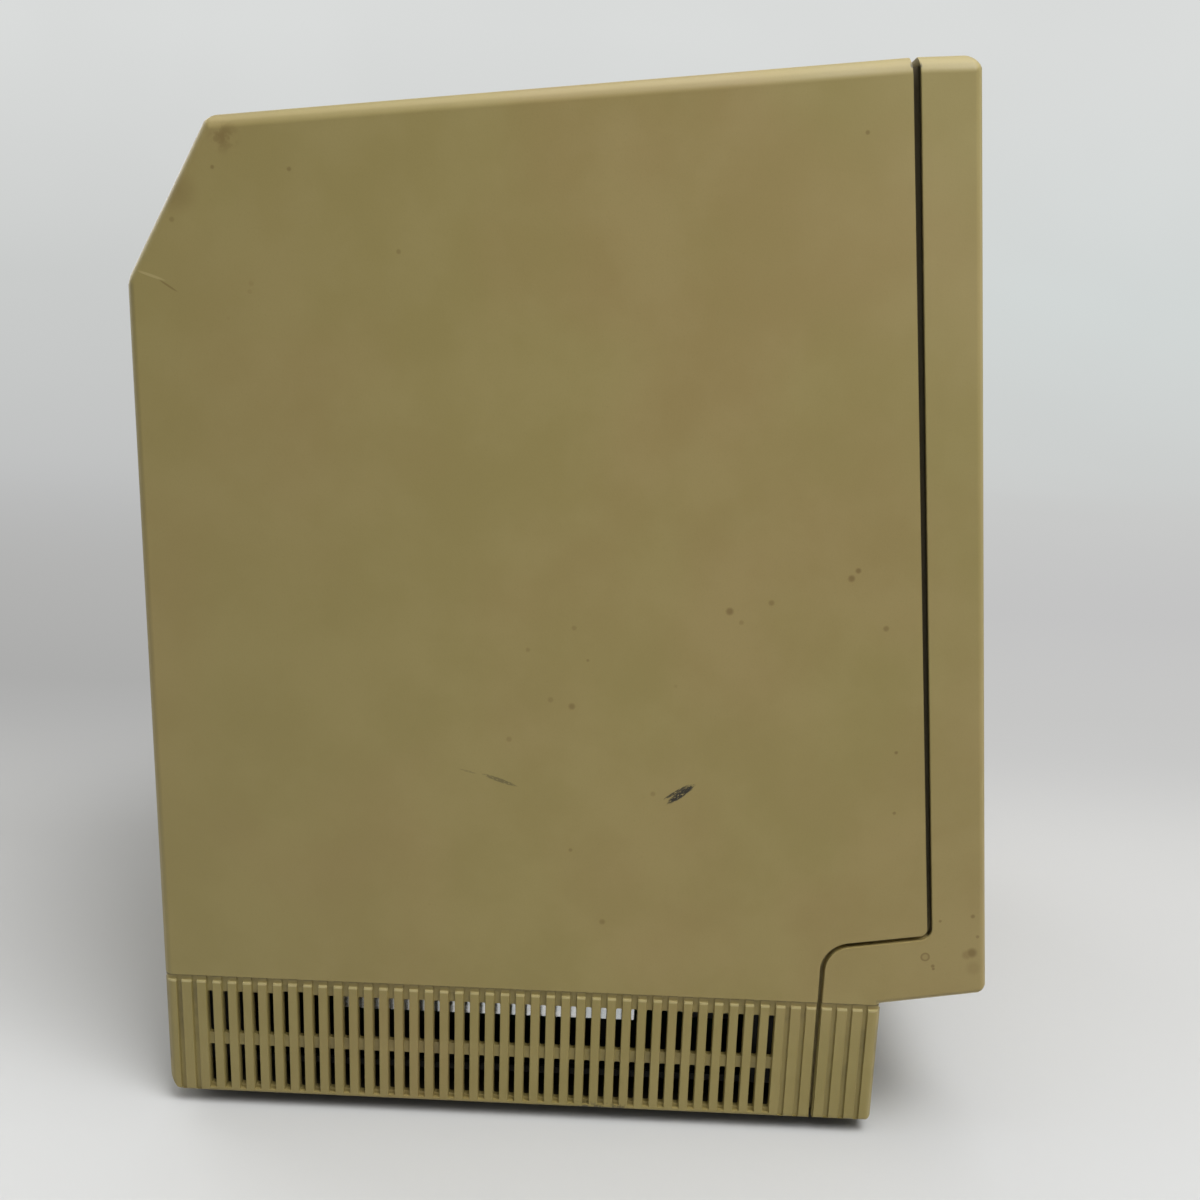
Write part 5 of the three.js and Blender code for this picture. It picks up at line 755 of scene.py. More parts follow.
def makeRearShell():
    shell = roundedForm("rearShell", case["rearTop"])
    carve(shell, seamBlock(seam["halfWidth"]))
    softenSeamEdge(shell)
    hollow = plainForm("hollow", case["wall"])
    carve(hollow, pocketTool(handle["wall"]))
    wide, deep, high = (panel[key] + panel["wall"] for key in ("half", "depth", "top"))
    carve(hollow, addCaseBlock("panel", (-wide, wide), (-5, deep), (-5, high)))
    for hand in (-1, 1):
        carve(hollow, lowerWell(hand, wells["boss"], wells["depth"] + wells["seat"]))
        carve(hollow, upperWell(hand, upperWells["boss"], wells["seat"]))
    carve(shell, hollow)
    shadowLine(shell)
    first, last = slots["from"], slots["from"] + slots["count"]
    grooves(shell, 0, first - 1)
    grooves(shell, first, last - 1, isBlind=False)
    grooves(shell, last, ribs["seamGroove"])
    endGrooves(shell, isFront=False)
    wide, deep, heights = panel["half"], panel["depth"], (panel["foot"], panel["top"])
    recess = addCaseBlock("recess", (-wide, wide), (-9, deep), heights)
    roundAlong(recess, 1, panel["corner"], 3)
    carve(shell, recess)
    sideSlots(shell)
    carve(shell, pocketTool(0))
    slantVents(shell)
    bottomVents(shell)
    for opening in openings.values():
        addHole(shell, opening, opening["size"], hole["through"])
        if opening["seat"]:
            addHole(shell, opening, opening["seat"], hole["seatDepth"])
    for hand in (-1, 1):
        carve(shell, lowerWell(hand, wells["radius"], wells["depth"]))
        carve(shell, upperWell(hand, upperWells["radius"], 0))
    return shell


# The front shell's openings, in the front face's frame.
screen = {
    "size": (208, 160),
    "middle": 181,
    "rounding": 12,
    "depth": 14,
    "slope": 8,
    "wall": 2.4,
    "rimRounding": 1.4,
}
diskSlot = {
    "x": 52,
    "height": 88.2,
    "size": (95, 6.4),
    "rounding": 1.2,
    "dish": (30, 20, 1.6),
    "wall": 1.5,
    "rear": 256,
}
lightHole = {"x": 98, "up": 22, "radius": 2.8}
badgePlace = {"x": -94, "up": 30, "size": 13, "recess": 1.2, "corner": 1.2}
dialSlot = {"x": -74, "half": 9.1, "height": 29, "tall": 7.8, "rear": 233}


# A block in the front face's own frame, about a middle, from one distance out of it to another.
def addFrontBlock(name, x, wide, up, tall, outs):
    low = ((x - wide) * mm, (up - tall) * mm, outs[0] * mm)
    high = ((x + wide) * mm, (up + tall) * mm, outs[1] * mm)
    return addBlock(name, low, high)


def screenTool(grow, reach):
    wide, tall = (length / 2 + grow for length in screen["size"])
    middle, deep = screen["middle"], screen["depth"]
    tool = addFrontBlock("screen opening", 0, wide, middle, tall, (0, 8))
    roundAlong(tool, 2, screen["rounding"] + grow, 18)
    pickFaces(tool, lambda place, normal: normal.z < -0.9)
    push(z=-deep * mm)
    slope = screen["slope"]
    place = Vector((0, middle * mm, -deep * mm))
    scaleAbout(place, x=(wide - slope) / wide, y=(tall - slope) / tall)
    if reach > 0:
        push(z=-reach * mm)
    endEdit()
    placeOnFront(tool)
    return tool


def slotTool(grow, rear, front):
    wide, tall = (length / 2 + grow for length in diskSlot["size"])
    middle = diskSlot["height"]
    tool = addBlockAbout("disk slot", diskSlot["x"], wide, (rear, front), middle, tall)
    roundAlong(tool, 1, diskSlot["rounding"] + grow, 3)
    return tool


def dishTool():
    wide, tall, deep = (length * mm for length in diskSlot["dish"])
    bpy.ops.object.select_all(action="DESELECT")
    bpy.ops.mesh.primitive_uv_sphere_add(segments=64, ring_count=32, radius=1)
    dish = bpy.context.active_object
    dish.scale = (wide / 2, tall / 2, deep)
    up = (diskSlot["height"] - case["chin"][1]) / math.cos(lean)
    dish.location = (diskSlot["x"] * mm, up * mm, 0)
    applyPlace(dish)
    placeOnFront(dish)
    return dish


# A rod along the front face's own way out, not yet placed there.
def frontRod(name, radius, x, up, low, high, sides=48):
    start, end = (x * mm, up * mm, low * mm), (x * mm, up * mm, high * mm)
    return addRod(name, radius * mm, start, end, sides)


def onScreenRim(place):
    spot = toFront(place)
    wide, tall = (length / 2 + 0.05 for length in screen["size"])
    return abs(spot.z) < 0.02 and abs(spot.x) < wide and abs(spot.y - screen["middle"]) < tall


def makeFrontShell():
    shell = roundedForm("frontShell", case["frontTop"])
    carve(shell, seamBlock(-seam["halfWidth"]), "INTERSECT")
    softenSeamEdge(shell)
    hollow = plainForm("hollow", case["wall"])
    carve(hollow, screenTool(screen["wall"], 0))
    carve(hollow, slotTool(diskSlot["wall"], diskSlot["rear"], 300))
    carve(shell, hollow)
    carve(shell, screenTool(0, 30))

    def isRim(first, last):
        return onScreenRim(first) and onScreenRim(last)

    roundWhere(shell, isRim, screen["rimRounding"], 4)
    carve(shell, dishTool())
    carve(shell, slotTool(0, diskSlot["rear"] - 5, 320))
    shadowLine(shell)
    grooves(shell, ribs["seamGroove"], ribs["count"] - 1)
    endGrooves(shell, isFront=True)
    x, half, height, tall = (dialSlot[key] for key in ("x", "half", "height", "tall"))
    span = (dialSlot["rear"], 270)
    carve(shell, addBlockAbout("dial slot", x, half, span, height, tall / 2))
    light = frontRod("light hole", lightHole["radius"], lightHole["x"], lightHole["up"], -12, 6)
    x, up, half = badgePlace["x"], badgePlace["up"], badgePlace["size"] / 2
    outs = (-badgePlace["recess"], 6)
    recess = addFrontBlock("badge recess", x, half, up, half, outs)
    roundAlong(recess, 2, badgePlace["corner"], 3)
    for tool in (light, recess):
        placeOnFront(tool)
        carve(shell, tool)
    lip = plainForm("lip", seam["lipOut"])
    carve(lip, plainForm("lip core", seam["lipIn"]))
    carve(lip, seamBlock(seam["lipReach"]), "INTERSECT")
    carve(lip, seamBlock(-seam["lipReach"]))
    setFinish(shell, frontPlastic)
    setFinish(lip, finishes["seamShade"])
    return joined([shell, lip])


# Materials. A value wraps a socket, so that shader maths can be written as plain sums.
class Value:
    def __init__(self, finish, socket):
        self.finish = finish
        self.socket = socket

    def maths(self, operation, *others):
        inputs = dict(enumerate((self, *others)))
        return self.finish.node("ShaderNodeMath", {"operation": operation}, inputs)

    def __add__(self, other):
        return self.maths("ADD", other)

    def __mul__(self, other):
        return self.maths("MULTIPLY", other)

    def __sub__(self, other):
        return self.maths("SUBTRACT", other)

    def __truediv__(self, other):
        return self.maths("DIVIDE", other)

    def __pow__(self, other):
        return self.maths("POWER", other)

    def __abs__(self):
        return self.maths("ABSOLUTE")


def colour(code):
    parts = [int(code[i : i + 2], 16) / 255 for i in (0, 2, 4)]
    linear = [p / 12.92 if p <= 0.04045 else ((p + 0.055) / 1.055) ** 2.4 for p in parts]
    return (*linear, 1)


def strongest(values):
    whole = values[0]
    for value in values[1:]:
        whole = whole.maths("MAXIMUM", value)
    return whole


class Finish:
    def __init__(self, name, kind="materials"):
        self.material = getattr(bpy.data, kind).new(name)
        self.material.use_nodes = True
        self.tree = self.material.node_tree
        self.tree.nodes.clear()
        if kind == "materials":
            self.place = self.node("ShaderNodeTexCoord", out="Object")

    # Any node: its type, its settings first, then values or links for its sockets.
    def node(self, kind, settings=None, inputs=None, out=0):
        node = self.tree.nodes.new(kind)
        for key, value in (settings or {}).items():
            if key == "stops":
                self.setStops(node.color_ramp, value)
            else:
                setattr(node, key, value)
        for key, value in (inputs or {}).items():
            if isinstance(value, Value):
                self.tree.links.new(value.socket, node.inputs[key])
            else:
                node.inputs[key].default_value = value
        return Value(self, node.outputs[out]) if len(node.outputs) else node

    def setStops(self, ramp, stops):
        while len(ramp.elements) < len(stops):
            ramp.elements.new(0.5)
        for element, (position, code) in zip(ramp.elements, stops):
            element.position = position
            element.color = colour(code)

    def noise(self, scale, detail=2, roughness=0.5, stretch=None):
        place = self.place
        if stretch:
            place = self.node("ShaderNodeMapping", inputs={"Vector": place, "Scale": stretch})
        inputs = {"Vector": place, "Scale": scale, "Detail": detail, "Roughness": roughness}
        return self.node("ShaderNodeTexNoise", inputs=inputs)

    def cells(self, scale, randomness=1, out="Distance"):
        inputs = {"Vector": self.place, "Scale": scale, "Randomness": randomness}
        return self.node("ShaderNodeTexVoronoi", inputs=inputs, out=out)

    def spread(self, value, low, high, start=0, end=1, smooth=True):
        settings = {"interpolation_type": "SMOOTHSTEP" if smooth else "LINEAR"}
        inputs = {0: value, 1: low, 2: high, 3: start, 4: end}
        return self.node("ShaderNodeMapRange", settings, inputs)

    def mix(self, share, first, second, blend="MIX"):
        first, second = (colour(c) if isinstance(c, str) else c for c in (first, second))
        settings = {"data_type": "RGBA", "blend_type": blend}
        return self.node("ShaderNodeMix", settings, {0: share, 6: first, 7: second}, out=2)

    def axis(self, name, vector=None):
        return self.node("ShaderNodeSeparateXYZ", inputs={0: vector or self.place}, out=name)

    # 1 below two limits, fading to 0 between them.
    def below(self, value, limits):
        return self.spread(value, *limits, 1, 0)

    # 1 between two pairs of limits, fading out within each pair.
    def within(self, value, pairs):
        return self.spread(value, *pairs[0]) * self.below(value, pairs[1])

    # One tone into another in soft patches.
    def mottle(self, first, second, scale, low, high, most=1, detail=3, roughness=0.6):
        share = self.spread(self.noise(scale, detail, roughness), low, high, 0, most)
        return self.mix(share, first, second)

    # A roughness that wanders between two values.
    def unevenness(self, scale, low, high):
        return self.spread(self.noise(scale, 2, 0.5), 0.3, 0.7, low, high)

    def grain(self, scale, strength, distance, detail=2, roughness=0.6):
        return self.bump(self.noise(scale, detail, roughness), strength, distance)

    def vector(self, operation, *values):
        inputs = dict(enumerate(values))
        return self.node("ShaderNodeVectorMath", {"operation": operation}, inputs, out="Value")

    # How far a place on the object is along a direction, and from a point.
    def along(self, direction):
        return self.vector("DOT_PRODUCT", self.place, direction)

    def distance(self, place, scale=(1, 1, 1)):
        inputs = {"Vector": self.place, "Location": [-part for part in place], "Scale": scale}
        return self.vector("LENGTH", self.node("ShaderNodeMapping", inputs=inputs))

    # How near a place on the object is to a point: 1 at the point, 0 past the reach.
    def spot(self, place, reach, edge=0.5):
        return self.spread(self.distance(place), reach * edge, reach, 1, 0)

    # 1 for what the camera sees directly, in a mirror or through glass.
    def seen(self):
        kinds = ("Camera", "Glossy", "Transmission")
        rays = [self.node("ShaderNodeLightPath", out=f"Is {kind} Ray") for kind in kinds]
        return strongest(rays)

    # 1 on rounded edges that face between two of the case's main directions.
    def edges(self):
        normal = self.node("ShaderNodeTexCoord", out="Normal")
        largest = strongest([abs(self.axis(name, normal)) for name in "XYZ"])
        return self.spread(largest, 0.74, 0.86, 1, 0)

    def bump(self, height, strength, distance, normal=None):
        inputs = {"Height": height, "Strength": strength, "Distance": distance}
        if normal:
            inputs["Normal"] = normal
        return self.node("ShaderNodeBump", inputs=inputs)

    def surface(self, **inputs):
        values = {key.replace("_", " "): value for key, value in inputs.items()}
        shader = self.node("ShaderNodeBsdfPrincipled", inputs=values)
        self.node("ShaderNodeOutputMaterial", inputs={"Surface": shader})
        return self.material


def sidePoint(depth, height):
    return at(-case["half"], depth, height)


# The khaki plastic of both shells: fine grain, uneven fading, scuffs and small stains, with
# painted light and shade: darker toward the rear, paler high at the front, highlights on rounded
# edges and rib tops, shade in the channel, the grooves, the seam and inside the base.
plastic = {
    "green": "8b8049",
    "brown": "947b50",
    "light": "ab9c6c",
    "tip": "dccf9c",
    "shade": "7b7044",
    "dirt": "4b412a",
    "stain": "634a20",
    "scuff": "2b2820",
    "inside": "16140f",
    "roughness": (0.45, 0.56),
    # Where each mask fades in or out, across the side (x), along it (y) and up it (z).
    "left": (-0.1205, -0.1195),
    "paintedShadeY": (-0.02, 0.13),
    "paleY": (-0.02, -0.135),
    "paleZ": (0.18, 0.33),
    "tipX": (0.1211, 0.1214),
    "tipZ": ((0.0464, 0.0468), (0.0474, 0.0475)),
    "angleZ": ((0.0484, 0.0491), (0.0493, 0.0495)),
    "grooveX": (0.1209, 0.1217),
    "grooveZ": (0.0463, 0.0467),
    "soilAndShadeX": ((0.1185, 0.119), (0.1215, 0.1218)),
    "seamLine": (0.0014, 0.0018),
    "seamX": (0.1209, 0.1216),
    "seamZ": ((0.0745, 0.0755), (0.3405, 0.3425)),
    "footY": ((-0.022, -0.018), (-0.005, 0)),
    "footZ": (0.0051, 0.0085),
    "innerX": (0.1189, 0.11895),
    "innerY": ((-0.1, -0.099), (0.126, 0.127)),
    "innerZ": (0.046, 0.047),
    # Brown specks: depth, height, reach in millimetres, strength.
    "specks": (
        (222.6, 191.7, 1.2, 0.6),
        (220.7, 189.2, 1.5, 0.6),
        (196.7, 180.6, 1.3, 0.45),
        (184, 177.4, 1.7, 0.6),
        (187.8, 174, 1.1, 0.3),
        (232.6, 173.8, 1.3, 0.5),
        (135.9, 144.6, 1.5, 0.5),
        (129.1, 146.5, 1.3, 0.3),
        (135.9, 170.2, 1.1, 0.3),
        (121.6, 162.6, 1, 0.3),
        (140.5, 159.9, 0.7, 0.4),
        (116.1, 132.8, 1.3, 0.3),
        (162.8, 116.2, 1.2, 0.3),
        (136.8, 95.6, 0.9, 0.4),
        (240.5, 113, 0.8, 0.5),
        (239.3, 133.5, 0.8, 0.6),
        (27.6, 303.1, 0.8, 0.5),
        (49.9, 303.2, 0.9, 0.5),
        (15.1, 288.3, 1.1, 0.35),
        (81.5, 281.3, 1, 0.4),
        (214.9, 317.8, 0.9, 0.5),
        (148, 70.5, 1.4, 0.4),
    ),
    "rings": ((255.1, 62.8, 1.8),),  # on the chin
    "blotch": (31, 311.5, 6),  # near the top of the slant
    "cloud": (17, 296, 8),
    "chinMarks": (
        (270.2, 65, 2.4, 0.6),
        (268.6, 64.2, 2.2, 0.35),
        (257.9, 59.6, 0.9, 0.6),
        (258.2, 58.6, 0.7, 0.6),
        (269.2, 78.1, 1, 0.5),
        (258.8, 75.9, 0.7, 0.5),
        (271.5, 70.9, 0.8, 0.45),
        (271.3, 59.5, 3.4, 0.2),
    ),
    # Black scuffs: depth, height, half length, half width, turn, strength.
    "scuffs": (
        (171.8, 116.5, 6.4, 1.35, 0.68, 1),
        (170.2, 117.1, 5.4, 0.6, 0.6, 0.9),
        (113.3, 118.8, 6.8, 0.8, -0.32, 0.5),
        (103, 121.4, 3.4, 0.4, -0.25, 0.25),
    ),
    # Pale and brown scratches at the rear bend.
    "scratches": (
        (8.2, 272.3, 5, 0.5, -0.3, 0.5, "light"),
        (13.2, 269.5, 3.6, 0.35, -0.55, 0.5, "stain"),
    ),
}


# A slanting mark on the user's-left side: middle, half length, half width, and turn from level.
def strokeOn(finish, depth, height, length, width, turn):
    place = sidePoint(depth, height)
    run = Vector((0, -math.cos(turn), math.sin(turn)))
    rise = Vector((0, math.sin(turn), math.cos(turn)))
    along = (finish.along(run) - run.dot(place)) * (1 / (length * mm))
    across = (finish.along(rise) - rise.dot(place)) * (1 / (width * mm))
    return finish.spread((along * along) + (across * across), 0.3, 1, 1, 0)


# How far a place on a piece stands out of the case's front face.
def outOfFront(finish):
    out = Vector((0, -math.cos(lean), math.sin(lean)))
    return finish.along(out) - out.dot(frontPlace)


def shellPlastic(name, tint):
    finish = Finish(name)
    x, y, z = (finish.axis(axis) for axis in "XYZ")
    side = abs(x)
    patches = finish.noise(13)
    clouds = finish.noise(34, 3, 0.6)
    tones = (plastic["green"], plastic["brown"])
    base = finish.mix(finish.spread(patches, 0.4, 0.75, 0.22, 0.52), *tones)
    base = finish.mix(finish.spread(clouds, 0.35, 0.7, 0, 0.16), base, plastic["light"])
    # Painted shade: darker toward the rear, where less light falls.
    base = finish.mix(finish.spread(y, *plastic["paintedShadeY"]) * 0.3, base, plastic["shade"])
    base = finish.mottle(base, plastic["shade"], 1500, 0.5, 0.8, 0.2, 2)
    # Painted light: paler high up toward the front, where the light falls.
    pale = finish.spread(y, *plastic["paleY"]) * finish.spread(z, *plastic["paleZ"])
    base = finish.mix(pale * 0.3, base, plastic["light"])
    # Lighter on the rounded edges: partly wear, partly a painted highlight.
    base = finish.mix(finish.edges() * 0.3, base, plastic["light"])
    # Painted highlight along the ribs' top edges.
    tip = finish.within(z, plastic["tipZ"]) * finish.spread(side, *plastic["tipX"])
    base = finish.mix(tip * 0.36, base, plastic["tip"])
    base = finish.mix(1, base, tint, "MULTIPLY")
    left = finish.below(x, plastic["left"])

    # A little soil and painted shade in the angle over the channel, and here and there in a
    # groove.
    inGroove = finish.below(side, plastic["grooveX"]) * finish.below(z, plastic["grooveZ"])
    clumps = finish.spread(finish.noise(55, 3, 0.6), 0.45, 0.75, 0, 0.5)
    soilAndShade = strongest([finish.within(z, plastic["angleZ"]) * 0.8, inGroove * clumps])
    base = finish.mix(soilAndShade * finish.within(side, plastic["soilAndShadeX"]), base, plastic["dirt"])

    # The shells' own walls in the seam get painted shade, near black.
    line = abs(outOfFront(finish) + seam["behindFront"] * math.cos(lean) * mm)
    wall = finish.below(line, plastic["seamLine"]) * finish.below(side, plastic["seamX"])
    wall = wall * finish.within(z, plastic["seamZ"])
    base = finish.mix(wall * 0.85, base, plastic["inside"])

    # Specks, rings and stains.
    def markAt(depth, height, reach, core):
        return finish.spot(sidePoint(depth, height), reach * mm, core)

    cells = finish.spread(finish.cells(120), 0.06, 0.12, 1, 0)
    rare = finish.spread(finish.noise(16), 0.64, 0.68)
    marks = [cells * rare * 0.15]
    for *mark, strength in plastic["specks"] + plastic["chinMarks"]:
        marks.append(markAt(*mark, 0.3) * strength)
    for depth, height, reach in plastic["rings"]:
        inner = markAt(depth, height, reach * 0.75, 0.5)
        marks.append((markAt(depth, height, reach, 0.7) - inner * 0.75) * 0.6)
    blotch = finish.spread(finish.noise(190, 3, 0.7), 0.42, 0.6)
    marks.append(markAt(*plastic["blotch"], 0.1) * blotch * 0.5)
    marks.append(markAt(*plastic["cloud"], 0.1) * 0.28)
    base = finish.mix(strongest(marks) * left, base, plastic["stain"])
    foot = finish.below(z, plastic["footZ"]) * finish.within(y, plastic["footY"])
    foot = foot * finish.spread(finish.noise(600, 2, 0.6), 0.5, 0.58)
    base = finish.mix(foot * left * 0.85, base, plastic["scuff"])

    # Black scuffs made of fine grains along their run, and scratches at the rear bend.
    dark = []
    for *mark, turn, strength in plastic["scuffs"]:
        inputs = {"Vector": finish.place, "Rotation": (turn, 0, 0)}
        turned = finish.node("ShaderNodeMapping", inputs=inputs)
        inputs = {"Vector": turned, "Scale": (900, 900, 3200)}
        streaks = finish.node("ShaderNodeMapping", inputs=inputs)
        inputs = {"Vector": streaks, "Scale": 1, "Detail": 2}
        grit = finish.node("ShaderNodeTexNoise", inputs=inputs)
        stroke = strokeOn(finish, *mark, turn)
        dark.append(stroke * finish.spread(grit + stroke * 0.2, 0.5, 0.66) * strength)
    scuff = strongest(dark)
    base = finish.mix(scuff * left, base, plastic["scuff"])
    for *mark, strength, tone in plastic["scratches"]:
        base = finish.mix(strokeOn(finish, *mark) * left * strength, base, plastic[tone])

    # The inner faces round the base, which show only through the slots, get painted shade, near
    # black.
    inner = finish.below(side, plastic["innerX"]) * finish.below(z, plastic["innerZ"])
    inner = inner * finish.within(y, plastic["innerY"])
    base = finish.mix(inner * 0.93, base, plastic["inside"])

    normal = finish.grain(1700, 0.32, 0.00006, 2, 0.65)
    normal = finish.bump(finish.noise(30), 0.1, 0.0008, normal)
    least, most = plastic["roughness"]
    rough = finish.spread(clouds, 0.3, 0.7, least, most) + scuff * 0.2
    return finish.surface(Base_Color=base, Roughness=rough, Normal=normal, Specular_IOR_Level=0.4)


rearPlastic = shellPlastic("rear shell plastic", (1, 1, 1, 1))
frontPlastic = shellPlastic("front shell plastic", (1.01, 1.02, 1.03, 1))


# Finishes of everything else. The numbers are scales of the patterns per metre.
def plainPlastic(name, base, other, roughness):
    finish = Finish(name)
    tone = finish.mottle(base, other, 35, 0.35, 0.7)
    tone = finish.mix(finish.edges() * 0.25, tone, "8a8a88")
    up = finish.axis("Z", finish.node("ShaderNodeTexCoord", out="Normal"))
    dust = finish.spread(up, 0.6, 1) * finish.spread(finish.noise(300, 3, 0.7), 0.5, 0.8)
    tone = finish.mix(dust * 0.3, tone, "77736a")
    rough = finish.unevenness(60, roughness - 0.06, roughness + 0.08)
    normal = finish.grain(1400, 0.25, 0.00005)
    return finish.surface(Base_Color=tone, Roughness=rough, Normal=normal)


# The lip behind the seam, in a tone darker than the shells that is painted shade, darker still
# higher up, with patches of dust.
def seamPlastic():
    finish = Finish("plastic in the seam")
    tone = finish.mix(finish.spread(finish.axis("Z"), 0.06, 0.1), "74683f", "453d25")
    dust = finish.noise(260, 3, 0.6)
    tone = finish.mix(finish.spread(dust, 0.4, 0.75, 0, 0.5), tone, plastic["dirt"])
    rough = finish.spread(dust, 0.3, 0.7, 0.7, 0.8)
    normal = finish.grain(1400, 0.25, 0.00005)
    return finish.surface(Base_Color=tone, Roughness=rough, Normal=normal)


def metal(name, base, other, roughness, stretch=(900, 900, 12), metallic=1):
    finish = Finish(name)
    tone = finish.mottle(base, other, 28, 0.3, 0.7)
    strokes = finish.noise(1, 3, 0.7, stretch)
    tone = finish.mix(finish.spread(strokes, 0.35, 0.75, 0, 0.3), tone, "6f7172")
    tone = finish.mix(finish.spread(finish.cells(160), 0.05, 0.1, 1, 0) * 0.35, tone, "5a5348")
    rough = finish.spread(strokes, 0.3, 0.7, roughness - 0.07, roughness + 0.1)
    normal = finish.bump(strokes, 0.18, 0.00004)
    return finish.surface(Base_Color=tone, Roughness=rough, Normal=normal, Metallic=metallic)


# Galvanised sheet with its frosty flakes, and painted shade, near black, low down and at its ends
# in the depth of the case.
def galvanised():
    finish = Finish("galvanised sheet")
    flakes = finish.cells(130, out="Color")
    flake = finish.axis("X", flakes)
    tone = finish.mix(finish.spread(flake, 0.1, 0.9), "d6dadd", "f7f8f8")
    tone = finish.mottle(tone, "9b9890", 40, 0.5, 0.8, 0.3)
    y, z = finish.axis("Y"), finish.axis("Z")
    ends = strongest([finish.spread(y, -0.05, -0.035, 1, 0), finish.spread(y, 0.08, 0.09)])
    foot = finish.spread(z, 0.027, 0.034, 1, 0)
    deep = strongest([foot, ends * finish.spread(z, 0.046, 0.052, 1, 0)])
    tone = finish.mix(deep * 0.98, tone, "0b0a09")
    rough = finish.spread(flake, 0.1, 0.9, 0.14, 0.26) + deep * 0.6
    normal = finish.bump(flakes, 0.06, 0.00004)
    metallic = finish.spread(deep, 0.2, 0.8, 0.85, 0)
    return finish.surface(Base_Color=tone, Roughness=rough, Normal=normal, Metallic=metallic)


def castMetal():
    finish = Finish("cast aluminium")
    grit = finish.noise(700, 3, 0.7)
    tone = finish.mottle("94979a", "7c7f82", 45, 0.35, 0.7)
    tone = finish.mix(finish.edges() * 0.4, tone, "c2c4c5")
    rough = finish.spread(grit, 0.3, 0.7, 0.42, 0.62)
    normal = finish.bump(grit, 0.4, 0.00012)
    return finish.surface(Base_Color=tone, Roughness=rough, Normal=normal, Metallic=1)


def platterMirror():
    finish = Finish("platter mirror")
    spindle = (52 * mm, -46.2 * mm, 0)
    radius = finish.distance(spindle, (1, 1, 0))
    rings = (radius * 9000).maths("SINE")
    tone = finish.mix(finish.spread(rings, -1, 1, 0, 0.25), "c6cbd0", "a39f97")
    tone = finish.mix(finish.spread(radius, 0.018, 0.019, 1, 0), tone, "8b8e91")
    rough = finish.spread(rings, -1, 1, 0.07, 0.12)
    return finish.surface(Base_Color=tone, Roughness=rough, Metallic=1)


# Etched copper under green or brown lacquer, with black parts wherever they stand off the board.
def circuitBoard(name, tones, axis, face):
    finish = Finish(name)
    lacquer, dark, track = tones
    place = finish.place
    if axis != "Z":  # a board that stands
        inputs = {"Vector": place, "Rotation": (0, math.pi / 2, 0)}
        place = finish.node("ShaderNodeMapping", inputs=inputs)
    lines = finish.node(
        "ShaderNodeTexBrick",
        {"offset": 0.37, "squash": 0.6, "squash_frequency": 3},
        {
            "Vector": place,
            "Scale": 60,
            "Mortar Size": 0.03,
            "Mortar Smooth": 0.1,
            "Bias": 0,
            "Brick Width": 0.5,
            "Row Height": 0.09,
        },
        out="Fac",
    )
    tone = finish.mottle(lacquer, dark, 30, 0.35, 0.7)
    tone = finish.mix(finish.spread(lines, 0.2, 0.8) * 0.6, tone, track)
    pads = finish.spread(finish.cells(390, randomness=0.4), 0.1, 0.16, 1, 0)
    pads = pads * finish.spread(finish.noise(50), 0.5, 0.56)
    tone = finish.mix(pads, tone, "a9a79f")
    off = finish.spread(finish.axis(axis) - face * mm, 0.0001, 0.0004)
    tone = finish.mix(off, tone, finish.mottle("1d1e20", "2b2b2c", 90, 0.4, 0.6, 1, 2, 0.5))
    if axis == "Z":  # painted shade near the board's edges, behind the slots
        shade = finish.spread(abs(finish.axis("X")), 0.086, 0.094, 0, 0.95)
        tone = finish.mix(shade, tone, "0b0b0a")
    rough = finish.spread(off + pads, 0, 1, 0.34, 0.55)
    normal = finish.bump(lines, 0.2, 0.00005)
    return finish.surface(Base_Color=tone, Roughness=rough, Normal=normal)


def copperWire():
    finish = Finish("copper winding")
    strands = finish.noise(1, 2, 0.5, (2200, 60, 60))
    tone = finish.mix(finish.spread(strands, 0.35, 0.65), "8d4a22", "c07a45")
    tone = finish.mottle(tone, "5b2f18", 50, 0.5, 0.8, 0.6, 2)
    rough = finish.spread(strands, 0.3, 0.7, 0.3, 0.45)
    normal = finish.bump(strands, 0.6, 0.0002)
    return finish.surface(Base_Color=tone, Roughness=rough, Normal=normal, Metallic=0.75)


def screenGlass():
    finish = Finish("tube glass")
    face = finish.spread(outOfFront(finish), -0.022, -0.019)
    tone = finish.mottle("2c2f2d", "34383a", 25, 0.3, 0.7, 1, 2, 0.5)
    tone = finish.mix(face, tone, finish.mottle("3f4742", "4a524c", 4000, 0.35, 0.65, 1, 1, 0.5))
    dust = finish.spread(finish.noise(60, 3, 0.7), 0.45, 0.8) * face
    tone = finish.mix(dust * 0.12, tone, "7d7f78")
    rough = finish.spread(finish.noise(90, 3, 0.6), 0.4, 0.75, 0.06, 0.16)
    return finish.surface(Base_Color=tone, Roughness=rough, Coat_Weight=0.6, Coat_Roughness=0.04)


def rubber(name, base, other):
    finish = Finish(name)
    tone = finish.mottle(base, other, 70, 0.4, 0.7)
    tone = finish.mottle(tone, "6e6a60", 500, 0.55, 0.75, 0.35, 3, 0.7)
    rough = finish.unevenness(120, 0.72, 0.9)
    normal = finish.grain(1500, 0.3, 0.0001)
    return finish.surface(Base_Color=tone, Roughness=rough, Normal=normal)


def coneCloth():
    finish = Finish("speaker paper")
    fibres = finish.noise(1, 4, 0.8, (300, 1400, 300))
    tone = finish.mix(finish.spread(fibres, 0.35, 0.7), "191919", "2c2b2a")
    tone = finish.mix(finish.spread(finish.cells(260), 0.05, 0.12, 1, 0) * 0.3, tone, "5b574d")
    rough = finish.spread(fibres, 0.3, 0.7, 0.75, 0.95)
    normal = finish.bump(fibres, 0.5, 0.0002)
    return finish.surface(Base_Color=tone, Roughness=rough, Normal=normal)


